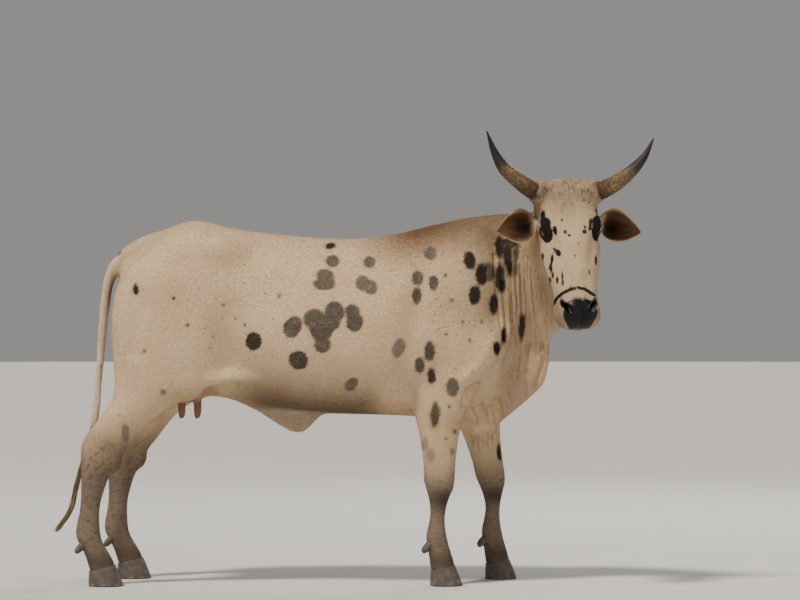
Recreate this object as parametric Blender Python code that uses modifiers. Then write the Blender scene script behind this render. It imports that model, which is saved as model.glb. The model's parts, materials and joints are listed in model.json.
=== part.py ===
"""A cow of a small, long-horned southern African breed, life size, standing with its head to its right.

Everything is in metres. +X runs from the tail to the chest, +Y to the cow's left and +Z up. The body is made
whole from lofted masses, fused into one skin, and then parted by thin cuts into the parts that a person would
name.
"""

import math
import random

import bpy
import bmesh
import numpy as np
from mathutils import Matrix, Vector

# Driving sizes
GAP = 0.0003  # left between pieces that touch
BODY_VOXEL = 0.0070  # fineness of the fused skin, before it is thinned
BODY_TRIANGLES, HEAD_TRIANGLES = 4600, 2000
RIGHT, LEFT = -1, 1  # signs of Y on the cow's two sides
SIDES = ((RIGHT, "right"), (LEFT, "left"))

# The trunk, read against X: its back, its belly, its half width and the level of its greatest width
TOPLINE = [(-0.962, 1.06), (-0.945, 1.105), (-0.91, 1.145), (-0.85, 1.190), (-0.79, 1.224), (-0.714, 1.248),
           (-0.62, 1.232), (-0.54, 1.213), (-0.40, 1.198), (-0.25, 1.186), (-0.15, 1.184), (0.0, 1.204),
           (0.14, 1.240), (0.24, 1.256), (0.36, 1.262), (0.44, 1.25)]
BELLY = [(-0.962, 0.86), (-0.93, 0.76), (-0.87, 0.70), (-0.78, 0.662), (-0.68, 0.642), (-0.58, 0.634),
         (-0.45, 0.606), (-0.30, 0.584), (-0.10, 0.578), (0.05, 0.572), (0.18, 0.566), (0.26, 0.585),
         (0.33, 0.64), (0.40, 0.72), (0.44, 0.80)]
TRUNK_HALF = [(-0.962, 0.080), (-0.93, 0.145), (-0.87, 0.190), (-0.78, 0.212), (-0.66, 0.222),
              (-0.56, 0.235), (-0.45, 0.262), (-0.32, 0.288), (-0.18, 0.294), (-0.05, 0.282), (0.08, 0.250),
              (0.18, 0.218), (0.28, 0.182), (0.36, 0.148), (0.44, 0.105)]
TRUNK_WIDEST = [(-0.962, 0.97), (-0.80, 0.98), (-0.60, 0.95), (-0.40, 0.86), (-0.20, 0.82), (0.0, 0.82),
                (0.20, 0.85), (0.44, 0.95)]
TRUNK_TOP_POWER = [(-0.962, 2.1), (-0.65, 2.5), (-0.35, 2.15), (0.0, 1.95), (0.20, 1.65), (0.44, 1.6)]
TRUNK_ENDS = (-0.962, 0.44)

# The legs, read against Z. X of the hind and front edges is that of the right leg; the left leg steps forward
FORE_BACK = [(0.045, 0.102), (0.09, 0.098), (0.125, 0.092), (0.165, 0.084), (0.20, 0.092), (0.25, 0.101),
             (0.31, 0.092), (0.355, 0.080), (0.41, 0.078), (0.50, 0.066), (0.58, 0.050), (0.66, 0.030),
             (0.74, 0.034), (0.84, 0.085), (0.94, 0.145), (1.00, 0.175)]
FORE_FRONT = [(0.045, 0.192), (0.09, 0.184), (0.125, 0.172), (0.165, 0.162), (0.20, 0.156), (0.25, 0.157),
              (0.31, 0.174), (0.355, 0.188), (0.41, 0.191), (0.50, 0.201), (0.58, 0.222), (0.66, 0.262),
              (0.74, 0.305), (0.84, 0.325), (0.94, 0.325), (1.00, 0.315)]
FORE_HALF = [(0.045, 0.050), (0.09, 0.046), (0.125, 0.038), (0.165, 0.040), (0.20, 0.031), (0.25, 0.0285),
             (0.30, 0.034), (0.345, 0.047), (0.40, 0.042), (0.48, 0.048), (0.58, 0.062), (0.66, 0.070),
             (0.74, 0.074), (0.84, 0.072), (0.94, 0.060), (1.00, 0.045)]
FORE_OUT = [(0.045, 0.150), (0.20, 0.150), (0.40, 0.150), (0.58, 0.152), (0.70, 0.150), (0.84, 0.128),
            (1.00, 0.105)]
FORE_STEP = [(0.045, 0.195), (0.25, 0.195), (0.50, 0.152), (0.66, 0.110), (0.84, 0.050), (1.00, 0.0)]
HIND_BACK = [(0.045, -1.055), (0.09, -1.066), (0.13, -1.084), (0.165, -1.104), (0.195, -1.104),
             (0.25, -1.092), (0.33, -1.086), (0.42, -1.087), (0.472, -1.088), (0.50, -1.078),
             (0.544, -1.046), (0.60, -1.003), (0.66, -0.975), (0.75, -0.978), (0.86, -0.985),
             (0.98, -0.980), (1.06, -0.95)]
HIND_FRONT = [(0.045, -0.958), (0.09, -0.972), (0.13, -0.996), (0.165, -1.014), (0.195, -1.016),
              (0.25, -1.018), (0.33, -1.000), (0.39, -0.976), (0.446, -0.942), (0.493, -0.900),
              (0.544, -0.855), (0.59, -0.805), (0.64, -0.715), (0.70, -0.62), (0.80, -0.565), (0.92, -0.58),
              (1.06, -0.66)]
HIND_HALF = [(0.045, 0.048), (0.09, 0.044), (0.13, 0.036), (0.165, 0.040), (0.20, 0.033), (0.27, 0.0285),
             (0.35, 0.034), (0.42, 0.043), (0.48, 0.038), (0.54, 0.042), (0.62, 0.058), (0.70, 0.072),
             (0.80, 0.085), (0.95, 0.09), (1.06, 0.07)]
HIND_OUT = [(0.045, 0.168), (0.20, 0.166), (0.45, 0.160), (0.62, 0.160), (0.80, 0.150), (1.06, 0.125)]
HIND_STEP = [(0.045, 0.068), (0.40, 0.062), (0.60, 0.040), (0.80, 0.0)]
LEG_FOOT = 0.046  # where the flesh of a foot ends inside its claws
FORE_TOP, HIND_TOP = 1.00, 1.06  # where the legs end inside the trunk

# The neck, read against its length from 0 inside the chest to 1 inside the head
NECK_X = [(0.0, 0.20), (0.3, 0.335), (0.55, 0.45), (0.8, 0.528), (1.0, 0.556)]
NECK_Y = [(0.0, 0.0), (0.3, -0.012), (0.55, -0.062), (0.8, -0.135), (1.0, -0.205)]
NECK_TOP = [(0.0, 1.255), (0.3, 1.270), (0.55, 1.276), (0.8, 1.300), (1.0, 1.342)]
NECK_LOW = [(0.0, 0.64), (0.3, 0.70), (0.55, 0.80), (0.8, 0.93), (1.0, 1.03)]
NECK_HALF = [(0.0, 0.20), (0.3, 0.158), (0.55, 0.122), (0.8, 0.104), (1.0, 0.100)]

# The dewlap, read against its length from 0 under the throat to 1 behind the brisket
DEWLAP_EDGE = {
    "x": [(0.0, 0.575), (0.12, 0.552), (0.2, 0.507), (0.32, 0.514), (0.45, 0.506), (0.58, 0.45),
          (0.7, 0.383), (0.82, 0.315), (0.91, 0.255), (1.0, 0.185)],
    "y": [(0.0, -0.205), (0.2, -0.135), (0.45, -0.075), (0.7, -0.025), (1.0, 0.0)],
    "z": [(0.0, 0.905), (0.12, 0.862), (0.2, 0.822), (0.32, 0.755), (0.45, 0.686), (0.58, 0.628),
          (0.7, 0.574), (0.82, 0.520), (0.91, 0.500), (1.0, 0.548)],
}
DEWLAP_ROOT = {
    "x": [(0.0, 0.56), (0.2, 0.48), (0.45, 0.40), (0.7, 0.28), (1.0, 0.15)],
    "y": [(0.0, -0.17), (0.2, -0.11), (0.45, -0.06), (0.7, -0.02), (1.0, 0.0)],
    "z": [(0.0, 1.06), (0.2, 0.97), (0.45, 0.85), (0.7, 0.72), (1.0, 0.63)],
}
DEWLAP_HALF = [(0.0, 0.034), (0.2, 0.030), (0.45, 0.036), (0.7, 0.056), (0.9, 0.062), (1.0, 0.045)]

# The flap of skin at the navel, read against X
FLAP_EDGE = [(-0.60, 0.632), (-0.50, 0.588), (-0.42, 0.537), (-0.375, 0.512), (-0.345, 0.508),
             (-0.315, 0.518), (-0.285, 0.556), (-0.24, 0.590)]
FLAP_HALF = [(-0.60, 0.020), (-0.42, 0.026), (-0.24, 0.024)]

# The udder and its teats
UDDER = dict(centre=(-0.735, 0.0, 0.695), radii=(0.105, 0.098, 0.078))
TEATS = [(-0.698, 0.048), (-0.752, 0.042)]  # X and distance from the middle, front pair and hind pair
TEAT_TOP, TEAT_TIP, TEAT_RADIUS = 0.67, 0.558, 0.0135

# The tail's middle line and its radius, read against its length from 0 inside the rump to 1 at the end
TAIL_X = [(0.0, -0.800), (0.06, -0.868), (0.12, -0.930), (0.17, -0.972), (0.22, -0.998), (0.32, -1.018),
          (0.45, -1.030), (0.6, -1.044), (0.72, -1.060), (0.80, -1.088), (0.88, -1.116), (0.94, -1.134),
          (1.0, -1.182)]
TAIL_Z = [(0.0, 1.180), (0.06, 1.166), (0.12, 1.136), (0.17, 1.098), (0.22, 1.048), (0.32, 0.945),
          (0.45, 0.805), (0.6, 0.640), (0.72, 0.520), (0.80, 0.430), (0.88, 0.330), (0.94, 0.255),
          (1.0, 0.180)]
TAIL_RADIUS = [(0.0, 0.040), (0.08, 0.036), (0.15, 0.030), (0.22, 0.0235), (0.32, 0.0185), (0.45, 0.0155),
               (0.6, 0.0130), (0.72, 0.0120), (0.8, 0.0105), (0.95, 0.006)]
DOCK_END, SHAFT_END = 0.24, 0.70  # the two places where the tail is parted
SWITCH_LOCKS, CORE_END = 14, 0.92  # locks of hair at the tail's end, and where their core ends

# The head's own frame: its origin is the poll, U runs down the face, V to the cow's left and W out of it
POLL = Vector((0.560, -0.330, 1.3615))
FACE_PITCH, HEAD_TURN, HEAD_TILT = 67.0, 7.5, -2.4  # degrees: below level, to the side, and rolled
HEAD_ENDS = (-0.030, 0.497)  # U of the crown and of the muzzle
FACE_LINE = [(-0.045, -0.045), (-0.015, -0.010), (0.02, 0.006), (0.07, 0.012), (0.13, 0.010), (0.19, 0.002),
             (0.27, -0.010), (0.36, -0.021), (0.42, -0.027), (0.452, -0.034), (0.475, -0.050),
             (0.490, -0.074), (0.497, -0.092)]
JAW_LINE = [(-0.045, -0.15), (0.0, -0.195), (0.05, -0.225), (0.10, -0.232), (0.16, -0.220), (0.24, -0.197),
            (0.32, -0.176), (0.39, -0.163), (0.44, -0.155), (0.470, -0.143), (0.490, -0.120),
            (0.497, -0.106)]
HEAD_HALF = [(-0.045, 0.072), (0.0, 0.098), (0.05, 0.108), (0.10, 0.105), (0.16, 0.101), (0.22, 0.097),
             (0.261, 0.092), (0.313, 0.083), (0.363, 0.076), (0.40, 0.0745), (0.442, 0.0775),
             (0.470, 0.070), (0.490, 0.056), (0.497, 0.044)]
HEAD_WIDEST = [(-0.045, -0.085), (0.05, -0.075), (0.16, -0.085), (0.26, -0.098), (0.36, -0.100),
               (0.44, -0.096), (0.497, -0.099)]
FACE_POWER = [(-0.045, 2.2), (0.05, 2.8), (0.14, 2.7), (0.22, 2.1), (0.32, 1.9), (0.40, 2.2), (0.45, 2.6),
              (0.497, 2.4)]
JAW_POWER = [(-0.045, 2.0), (0.10, 1.9), (0.25, 1.8), (0.38, 2.2), (0.497, 2.3)]

EYE = Vector((0.153, 0.0810, -0.055))  # the left eye's middle in the head's frame
EYE_RADIUS = 0.0205
LID_RADIUS = 0.0250
LID_OPENING = (0.0225, 0.020, 0.0125)  # half length, depth and height of the opening between the lids
EYE_LOOK = Vector((0.22, 0.88, 0.32))  # the way the left eye looks
FISSURE_TILT = 25.0  # degrees that the front corner of the eye stands out from the line of the face

# The mouth, in the head's frame: U and W of the line between the lips at its front and at its corners
MOUTH_FRONT, MOUTH_CORNER, MOUTH_HALF = (0.490, -0.113), (0.386, -0.129), 0.070
MOUTH_DEPTH, MOUTH_SLOT = 0.010, 0.0016
NOSTRIL = Vector((0.432, 0.0425, -0.037))  # the left nostril's middle
NOSTRIL_RADII, NOSTRIL_TURN = (0.020, 0.009, 0.020), (0, 35, 38)

# Horns: middle lines in the body's frame, and radius, read against their length
HORN_RIGHT = {"x": [(0.0, 0.487), (0.2, 0.446), (0.4, 0.392), (0.6, 0.345), (0.8, 0.313), (1.0, 0.289)],
              "y": [(0.0, -0.318), (0.3, -0.345), (0.6, -0.372), (1.0, -0.365)],
              "z": [(0.0, 1.318), (0.2, 1.336), (0.4, 1.372), (0.6, 1.412), (0.8, 1.468), (1.0, 1.534)]}
HORN_LEFT = {"x": [(0.0, 0.634), (0.2, 0.672), (0.4, 0.723), (0.6, 0.772), (0.8, 0.815), (1.0, 0.847)],
             "y": [(0.0, -0.318), (0.3, -0.340), (0.6, -0.362), (1.0, -0.350)],
             "z": [(0.0, 1.322), (0.2, 1.336), (0.4, 1.362), (0.6, 1.400), (0.8, 1.448), (1.0, 1.510)]}
HORN_RADIUS = [(0.0, 0.0315), (0.2, 0.0310), (0.4, 0.0275), (0.6, 0.0215), (0.8, 0.0125), (0.95, 0.0045),
               (1.0, 0.002)]

# Ears: root and tip in the head's frame, as on the left; half width and depth of the cup against their length
EAR_ROOT = Vector((0.104, 0.084, -0.094))
EAR_TIPS = {RIGHT: Vector((0.122, 0.235, -0.100)), LEFT: Vector((0.146, 0.248, -0.100))}
EAR_HALF = [(0.0, 0.018), (0.14, 0.026), (0.28, 0.048), (0.42, 0.0605), (0.58, 0.0585), (0.74, 0.045),
            (0.88, 0.025), (0.96, 0.012), (1.0, 0.004)]
EAR_CUP = [(0.0, 1.0), (0.14, 1.0), (0.3, 0.80), (0.5, 0.52), (0.7, 0.34), (1.0, 0.22)]
EAR_THICK = 0.0042
EAR_FACE = Vector((0.10, 0.0, 1.0))  # the way the cup opens

# Forms under the skin of both sides: a path in X and Z, how wide the form is, and how far it stands out
TRUNK_ROUNDS = 26
BODY_FORMS = [
    ([(-0.49, 1.06), (-0.45, 0.98)], 0.085, -0.012),  # hollow in front of the hook bone
    ([(-0.70, 1.12), (-0.83, 1.09)], 0.055, -0.012),  # between hook and pin bone
    ([(-0.57, 0.92), (-0.60, 0.78)], 0.060, -0.012),  # in front of the thigh
    ([(-0.885, 0.98), (-0.90, 0.80)], 0.028, -0.008),  # between the two muscles of the thigh
    ([(0.205, 1.18), (0.275, 0.95)], 0.028, 0.006),  # spine of the shoulder blade
    ([(0.105, 1.12), (0.050, 0.88), (0.020, 0.68)], 0.050, -0.014),  # behind the shoulder
    ([(0.365, 1.18), (0.335, 0.95), (0.325, 0.86)], 0.030, -0.010),  # in front of the shoulder
    ([(0.17, 0.93), (0.26, 0.86)], 0.035, -0.006),  # between shoulder blade and upper arm
    ([(0.035, 0.66), (0.06, 0.60)], 0.022, -0.006),  # behind the elbow
    ([(-1.045, 0.56), (-1.02, 0.64)], 0.020, 0.006),  # tendon above the hock
    ([(-1.02, 0.57), (-0.985, 0.64)], 0.018, -0.006),
]
# The same on the head, in its own frame, for both sides
HEAD_FORMS = [
    ([(0.075, 0.100, -0.045), (0.108, 0.104, -0.058)], 0.022, -0.007),  # temple
    ([(0.116, 0.070, -0.012), (0.138, 0.096, -0.028)], 0.015, 0.006),  # brow
    ([(0.192, 0.076, -0.026), (0.262, 0.060, -0.026)], 0.022, -0.007),  # hollow before the eye
    ([(0.205, 0.098, -0.082), (0.270, 0.082, -0.088), (0.305, 0.074, -0.090)], 0.014, 0.006),  # cheek bone
    ([(0.250, 0.085, -0.118), (0.340, 0.068, -0.116)], 0.022, -0.008),  # hollow of the cheek
    ([(0.060, 0.094, -0.190), (0.130, 0.082, -0.205), (0.200, 0.062, -0.185)], 0.016, 0.005),  # jaw
    ([(0.085, 0.0, 0.012), (0.165, 0.0, 0.004)], 0.034, -0.006),  # dish of the forehead
    ([(0.335, 0.032, -0.024), (0.405, 0.042, -0.030)], 0.018, -0.005),  # beside the bridge of the nose
    ([(0.392, 0.078, -0.126), (0.45, 0.074, -0.120), (0.488, 0.040, -0.114), (0.494, 0.0, -0.112)], 0.009,
     -0.005),  # between the lips
    ([(0.405, 0.074, -0.108), (0.455, 0.072, -0.104)], 0.014, 0.004),  # pad of the upper lip
    ([(0.462, 0.0, -0.046), (0.490, 0.0, -0.080)], 0.010, -0.003),  # furrow between the nostrils
]
HEAD_CUT = (0.763, 0.646, -0.059)  # the plane behind the head: shares of U and W, and their sum on it

# Feet
CORONET, CORONET_TILT = 0.062, 0.22  # level of the claws' upper edge at mid foot, and its rise to the front
CLAW_TOE, CLAW_HEEL = 0.024, 0.002  # how far the sole reaches ahead of the coronet, and stops short behind
CLAW_ROWS = [(0.0, 0.965), (0.05, 1.0), (0.4, 0.985), (0.75, 0.955), (1.0, 0.925)]  # height and fullness
CLAW_SIDES = 10
CLEFT = 0.0035  # between the two claws of a foot
DEWCLAW_LEVEL = 0.135

LOCK_HALF = 0.0075  # half width of a lock of the tail's switch

# Where the body is parted: X and Z of each region's outline, and U and W for the head
HEAD_REGION = [(-0.266, 0.223), (0.13, -0.245), (0.60, -0.151), (0.60, 0.30), (-0.20, 0.30)]
UDDER_REGION = [(-0.87, 0.50), (-0.60, 0.50), (-0.60, 0.662), (-0.87, 0.662)]
HIND_REGION = [(-1.25, -0.05), (-0.68, -0.05), (-0.68, 0.6585), (-1.25, 0.5575)]
FORE_REGIONS = {
    RIGHT: [(-0.05, -0.05), (0.30, -0.05), (0.30, 0.575), (-0.05, 0.575)],
    LEFT: [(0.08, -0.05), (0.55, -0.05), (0.55, 0.560), (0.08, 0.560)],
}
HOCK_CUT, KNEE_CUT, FETLOCK_CUT = 0.500, 0.400, 0.215
FLAP_REGION = [(-0.60, 0.45), (-0.24, 0.45), (-0.24, 0.578), (-0.60, 0.578)]
DOCK_REGION = [(-1.10, 1.029), (-0.967, 1.029), (-0.967, 1.30), (-1.10, 1.30)]
NECK_REGION = [(0.19, 0.45), (1.0, 0.45), (1.0, 1.45), (0.457, 1.45)]
NECK_SLANT, NECK_SLANT_START = 0.5, 0.10  # how far the neck's cut runs forward to the left, and from where
DEWLAP_REGION = [(0.05, 0.35), (0.90, 0.35), (0.90, 1.327), (0.05, 0.458)]
CHEST_REGION = [(0.02, 0.30), (1.20, 0.30), (1.20, 1.60), (0.02, 1.60)]
RUMP_REGION = [(-1.30, 0.30), (-0.50, 0.30), (-0.50, 1.60), (-1.30, 1.60)]

# Plain colours and roughness, by the first word of a part's name
COLOURS = [
    ("horn", ((0.16, 0.12, 0.08), 0.4)), ("eye", ((0.02, 0.012, 0.01), 0.15)),
    ("ear", ((0.42, 0.27, 0.17), 0.9)), ("udder", ((0.45, 0.25, 0.18), 0.8)),
    ("tail_switch", ((0.16, 0.10, 0.06), 0.9)),
    ("fore_right_", ((0.09, 0.07, 0.06), 0.6)), ("fore_left_", ((0.09, 0.07, 0.06), 0.6)),
    ("hind_right_", ((0.09, 0.07, 0.06), 0.6)), ("hind_left_", ((0.09, 0.07, 0.06), 0.6)),
    ("", ((0.62, 0.55, 0.45), 0.9)),
]


def along(keys, place):
    """Reads the smooth line through (place, value) keys."""
    at, value = np.array(keys, float).T
    slope = np.diff(value) / np.diff(at)
    both = slope[1:] + slope[:-1]
    same_way = slope[1:] * slope[:-1] > 0
    inner = 0.25 * both + np.where(same_way, slope[1:] * slope[:-1] / (both + 1e-12), 0.0)
    tangent = np.concatenate([slope[:1], inner, slope[-1:]])
    k = int(np.clip(np.searchsorted(at, place) - 1, 0, len(at) - 2))
    span = at[k + 1] - at[k]
    t = min(max((place - at[k]) / span, 0.0), 1.0)
    return float(
        value[k] * (1 + 2 * t) * (1 - t) ** 2
        + value[k + 1] * t * t * (3 - 2 * t)
        + tangent[k] * span * t * (1 - t) ** 2
        - tangent[k + 1] * span * t * t * (1 - t)
    )


def spot(lines, place):
    """The point that three lines, named x, y and z, give at a place."""
    return Vector([along(lines[axis], place) for axis in "xyz"])


def steps(low, high, count):
    """Count values from low to high, both included."""
    return [low + (high - low) * i / (count - 1) for i in range(count)]


def oval(centre, side, up, half, above, below, top_power=2.0, low_power=2.0, count=36):
    """A closed section, half wide to each side, above and below its centre; higher powers make it fuller."""
    points = []
    for i in range(count):
        angle = 2 * math.pi * i / count
        across, rise = math.cos(angle), math.sin(angle)
        power = 2.0 / (top_power if rise >= 0 else low_power)
        reach = above if rise >= 0 else below
        points.append(
            centre
            + side * (half * math.copysign(abs(across) ** power, across))
            + up * (reach * math.copysign(abs(rise) ** power, rise))
        )
    return points


def add_loft(bm, rings):
    """One closed skin through a row of sections, with flat ends."""
    rows = [[bm.verts.new(p) for p in ring] for ring in rings]
    count = len(rows[0])
    faces = [bm.faces.new(rows[0][::-1]), bm.faces.new(rows[-1])]
    for low, high in zip(rows, rows[1:]):
        for i in range(count):
            j = (i + 1) % count
            faces.append(bm.faces.new((low[i], low[j], high[j], high[i])))
    bmesh.ops.recalc_face_normals(bm, faces=faces)


def add_tube(bm, points, radii, count=16):
    """A closed round tube along points, whose sections turn with it and never twist."""
    rings, side = [], None
    for i, point in enumerate(points):
        ahead = (points[min(i + 1, len(points) - 1)] - points[max(i - 1, 0)]).normalized()
        if side is None:
            side = ahead.orthogonal()
        side = (side - ahead * side.dot(ahead)).normalized()
        rings.append(oval(point, side, side.cross(ahead), radii[i], radii[i], radii[i], count=count))
    add_loft(bm, rings)


def add_ball(bm, centre, radii, turn=(0, 0, 0), frame=None, count=24):
    """An ellipsoid; turn is in degrees about X, Y and Z, and frame places it in another frame."""
    place = Matrix.Translation(centre)
    for angle, axis in zip(turn, "XYZ"):
        place = place @ Matrix.Rotation(math.radians(angle), 4, axis)
    place = (frame or Matrix.Identity(4)) @ place @ Matrix.Diagonal((*radii, 1.0))
    bmesh.ops.create_uvsphere(bm, u_segments=count, v_segments=count * 2 // 3, radius=1.0, matrix=place)


def head_frame():
    """The matrix that carries the head's frame into the body's."""
    pitch = math.radians(FACE_PITCH)
    cos, sin = math.cos(pitch), math.sin(pitch)
    level = Matrix(((0, 1, 0), (-cos, 0, -sin), (-sin, 0, cos)))
    turn = Matrix.Rotation(math.radians(HEAD_TURN), 3, "Z") @ Matrix.Rotation(math.radians(HEAD_TILT), 3, "Y")
    return Matrix.Translation(POLL) @ (turn @ level).to_4x4()


HEAD = head_frame()


def add_trunk(bm):
    """The barrel from the pin bones to the front of the chest, with its bony points and the shoulders."""
    across, up = Vector((0, 1, 0)), Vector((0, 0, 1))
    rings = []
    for x in steps(*TRUNK_ENDS, 34):
        middle = along(TRUNK_WIDEST, x)
        rings.append(
            oval(Vector((x, 0, middle)), across, up, along(TRUNK_HALF, x), along(TOPLINE, x) - middle,
                 middle - along(BELLY, x), along(TRUNK_TOP_POWER, x), 2.1, 48)
        )
    add_loft(bm, rings)
    for side in (RIGHT, LEFT):
        step = along(FORE_STEP, 0.66) if side == LEFT else 0.0
        add_ball(bm, (-0.575, side * 0.163, 1.110), (0.125, 0.052, 0.080), (0, 20, -side * 12))  # hook bone
        add_ball(bm, (-0.915, side * 0.086, 1.075), (0.052, 0.045, 0.055))  # pin bone
        add_ball(bm, (-0.80, side * 0.150, 0.985), (0.16, 0.075, 0.16))  # rump muscle
        add_ball(bm, (0.235, side * 0.090, 1.050), (0.115, 0.080, 0.19), (0, 16, 0))  # shoulder blade
        add_ball(bm, (0.155 + step * 0.6, side * 0.150, 0.80), (0.15, 0.075, 0.19), (0, -12, 0))  # upper arm
        add_ball(bm, (0.275 + step * 0.4, side * 0.135, 0.815), (0.09, 0.072, 0.12), (0, 20, 0))  # its point


def add_leg(bm, side, back, front, half, out, step, top, count):
    """One leg from inside its claws up into the body; step carries the left leg forward."""
    rings = []
    for z in steps(LEG_FOOT, top, count):
        shift = along(step, z) if side == LEFT else 0.0
        low, high = along(back, z) + shift, along(front, z) + shift
        centre = Vector(((low + high) / 2, side * along(out, z), z))
        wide = along(half, z)
        ahead, outward = Vector((1, 0, 0)), Vector((0, side, 0))
        rings.append(oval(centre, ahead, outward, (high - low) / 2, wide, wide, 2.2, 2.2, 28))
    add_loft(bm, rings)


def add_joints(bm):
    """The knees, hocks and fetlocks, which stand out from the legs."""
    for side in (RIGHT, LEFT):
        fore = along(FORE_STEP, 0.35) if side == LEFT else 0.0
        hind = along(HIND_STEP, 0.45) if side == LEFT else 0.0
        add_ball(bm, (0.148 + fore, side * 0.150, 0.345), (0.040, 0.046, 0.045))  # knee
        add_ball(bm, (0.098 + fore, side * 0.150, 0.365), (0.022, 0.026, 0.028))  # bone behind the knee
        add_ball(bm, (-1.060 + hind, side * 0.160, 0.478), (0.026, 0.024, 0.040), (0, 14, 0))  # point of hock
        add_ball(bm, (-0.985 + hind, side * 0.160, 0.425), (0.044, 0.044, 0.048))  # hock
        add_ball(bm, (-0.74 + hind * 0.4, side * 0.178, 0.705), (0.085, 0.052, 0.080), (0, 35, 0))  # stifle


def add_flank_fold(bm):
    """The web of skin from each stifle to the belly."""
    for side in (RIGHT, LEFT):
        points = [Vector((x, side * y, z)) for x, y, z in
                  ((-0.78, 0.180, 0.658), (-0.70, 0.190, 0.690), (-0.60, 0.188, 0.708), (-0.50, 0.180, 0.705),
                   (-0.40, 0.165, 0.680), (-0.30, 0.145, 0.65))]
        add_tube(bm, points, (0.020, 0.024, 0.026, 0.026, 0.024, 0.02), 14)


def add_neck(bm):
    """The neck, bent to the cow's right, from inside the chest to inside the head."""
    rings = []
    up, reach = Vector((0, 0, 1)), 0.02
    for s in steps(0.0, 1.0, 18):
        ahead_x, ahead_y = (along(line, s + reach) - along(line, s - reach) for line in (NECK_X, NECK_Y))
        side = Vector((-ahead_y, ahead_x, 0)).normalized()
        top, low = along(NECK_TOP, s), along(NECK_LOW, s)
        middle = low + (top - low) * 0.52
        centre = Vector((along(NECK_X, s), along(NECK_Y, s), middle))
        rings.append(oval(centre, side, up, along(NECK_HALF, s), top - middle, middle - low, 1.75, 1.9, 40))
    add_loft(bm, rings)


def add_dewlap(bm):
    """The hanging sheet of skin from the throat to the brisket."""
    rings = []
    for s in steps(0.0, 1.0, 26):
        edge, root = spot(DEWLAP_EDGE, s), spot(DEWLAP_ROOT, s)
        up = (root - edge).normalized()
        ahead = spot(DEWLAP_EDGE, min(s + 0.04, 1.0)) - spot(DEWLAP_EDGE, max(s - 0.04, 0.0))
        ahead.z = 0
        side = ahead.cross(Vector((0, 0, 1))).normalized()
        middle = edge.lerp(root, 0.62)
        above, below = (root - middle).length, (middle - edge).length
        rings.append(oval(middle, side, up, along(DEWLAP_HALF, s), above, below, 2.0, 1.35, 28))
    add_loft(bm, rings)


def add_navel_flap(bm):
    """The thin flap of skin that hangs under the navel."""
    rings = []
    across, up, rise = Vector((0, 1, 0)), Vector((0, 0, 1)), 0.03
    for x in steps(FLAP_EDGE[0][0], FLAP_EDGE[-1][0], 18):
        centre = Vector((x, 0, along(BELLY, x) + rise / 2))
        below = centre.z - along(FLAP_EDGE, x)
        rings.append(oval(centre, across, up, along(FLAP_HALF, x), rise, below, 2.0, 1.3, 24))
    add_loft(bm, rings)


def add_udder(bm):
    """The small udder with its four teats."""
    add_ball(bm, UDDER["centre"], UDDER["radii"], (0, -8, 0))
    for x, out in TEATS:
        for side in (RIGHT, LEFT):
            top, tip = Vector((x, side * out, TEAT_TOP)), Vector((x, side * out * 1.1, TEAT_TIP))
            points = [top.lerp(tip, t) for t in steps(0, 1, 9)]
            radii = [TEAT_RADIUS * r for r in (1.5, 1.4, 1.25, 1.1, 1.0, 1.0, 0.98, 0.9, 0.55)]
            add_tube(bm, points, radii, 14)


def tail_point(s):
    return Vector((along(TAIL_X, s), 0.0, along(TAIL_Z, s)))


def add_tail_head(bm):
    """The thick root of the tail, fused into the rump, and the vulva below it."""
    places = steps(0.0, DOCK_END + 0.03, 14)
    add_tube(bm, [tail_point(s) for s in places], [along(TAIL_RADIUS, s) for s in places], 20)
    add_ball(bm, (-0.955, 0, 0.985), (0.020, 0.028, 0.062), (0, 4, 0))


def head_ring(u, count=48):
    """The skull's section at a place along the face, in the head's own frame."""
    middle = along(HEAD_WIDEST, u)
    above, below = along(FACE_LINE, u) - middle, middle - along(JAW_LINE, u)
    centre, across, up = Vector((u, 0, middle)), Vector((0, 1, 0)), Vector((0, 0, 1))
    powers = along(FACE_POWER, u), along(JAW_POWER, u)
    return oval(centre, across, up, along(HEAD_HALF, u), above, below, *powers, count)


def add_head(bm):
    """The skull and jaw in the head's own frame, with brows, cheeks, muzzle and chin."""
    add_loft(bm, [[HEAD @ p for p in head_ring(u)] for u in steps(*HEAD_ENDS, 40)])
    level = (0, 0, 0)
    add_ball(bm, (0.020, 0, -0.024), (0.045, 0.088, 0.034), level, HEAD)  # crest of the poll
    add_ball(bm, (0.436, 0, -0.138), (0.044, 0.046, 0.024), level, HEAD)  # lower lip and chin
    for sign in (RIGHT, LEFT):
        add_ball(bm, (0.034, sign * 0.082, -0.034), (0.034,) * 3, level, HEAD)  # seat of the horn
        add_ball(bm, (0.098, sign * 0.084, -0.094), (0.032, 0.022, 0.030), level, HEAD)  # seat of the ear
        add_ball(bm, (EYE.x - 0.020, sign * 0.078, -0.034), (0.042, 0.026, 0.022), (0, 10, sign * 8), HEAD)
        add_ball(bm, (EYE.x, sign * 0.070, -0.058), (0.040, 0.032, 0.032), level, HEAD)  # orbit
        add_ball(bm, (0.115, sign * 0.062, -0.150), (0.085, 0.036, 0.070), (0, -18, 0), HEAD)  # cheek muscle
        add_ball(bm, (0.250, sign * 0.064, -0.084), (0.085, 0.024, 0.020), (0, 2, sign * -10), HEAD)  # bone
        add_ball(bm, (0.442, sign * 0.042, -0.064), (0.034, 0.030, 0.032), level, HEAD)  # nostril's wing
        add_ball(bm, (0.420, sign * 0.044, -0.104), (0.060, 0.034, 0.030), level, HEAD)  # upper lip


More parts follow.
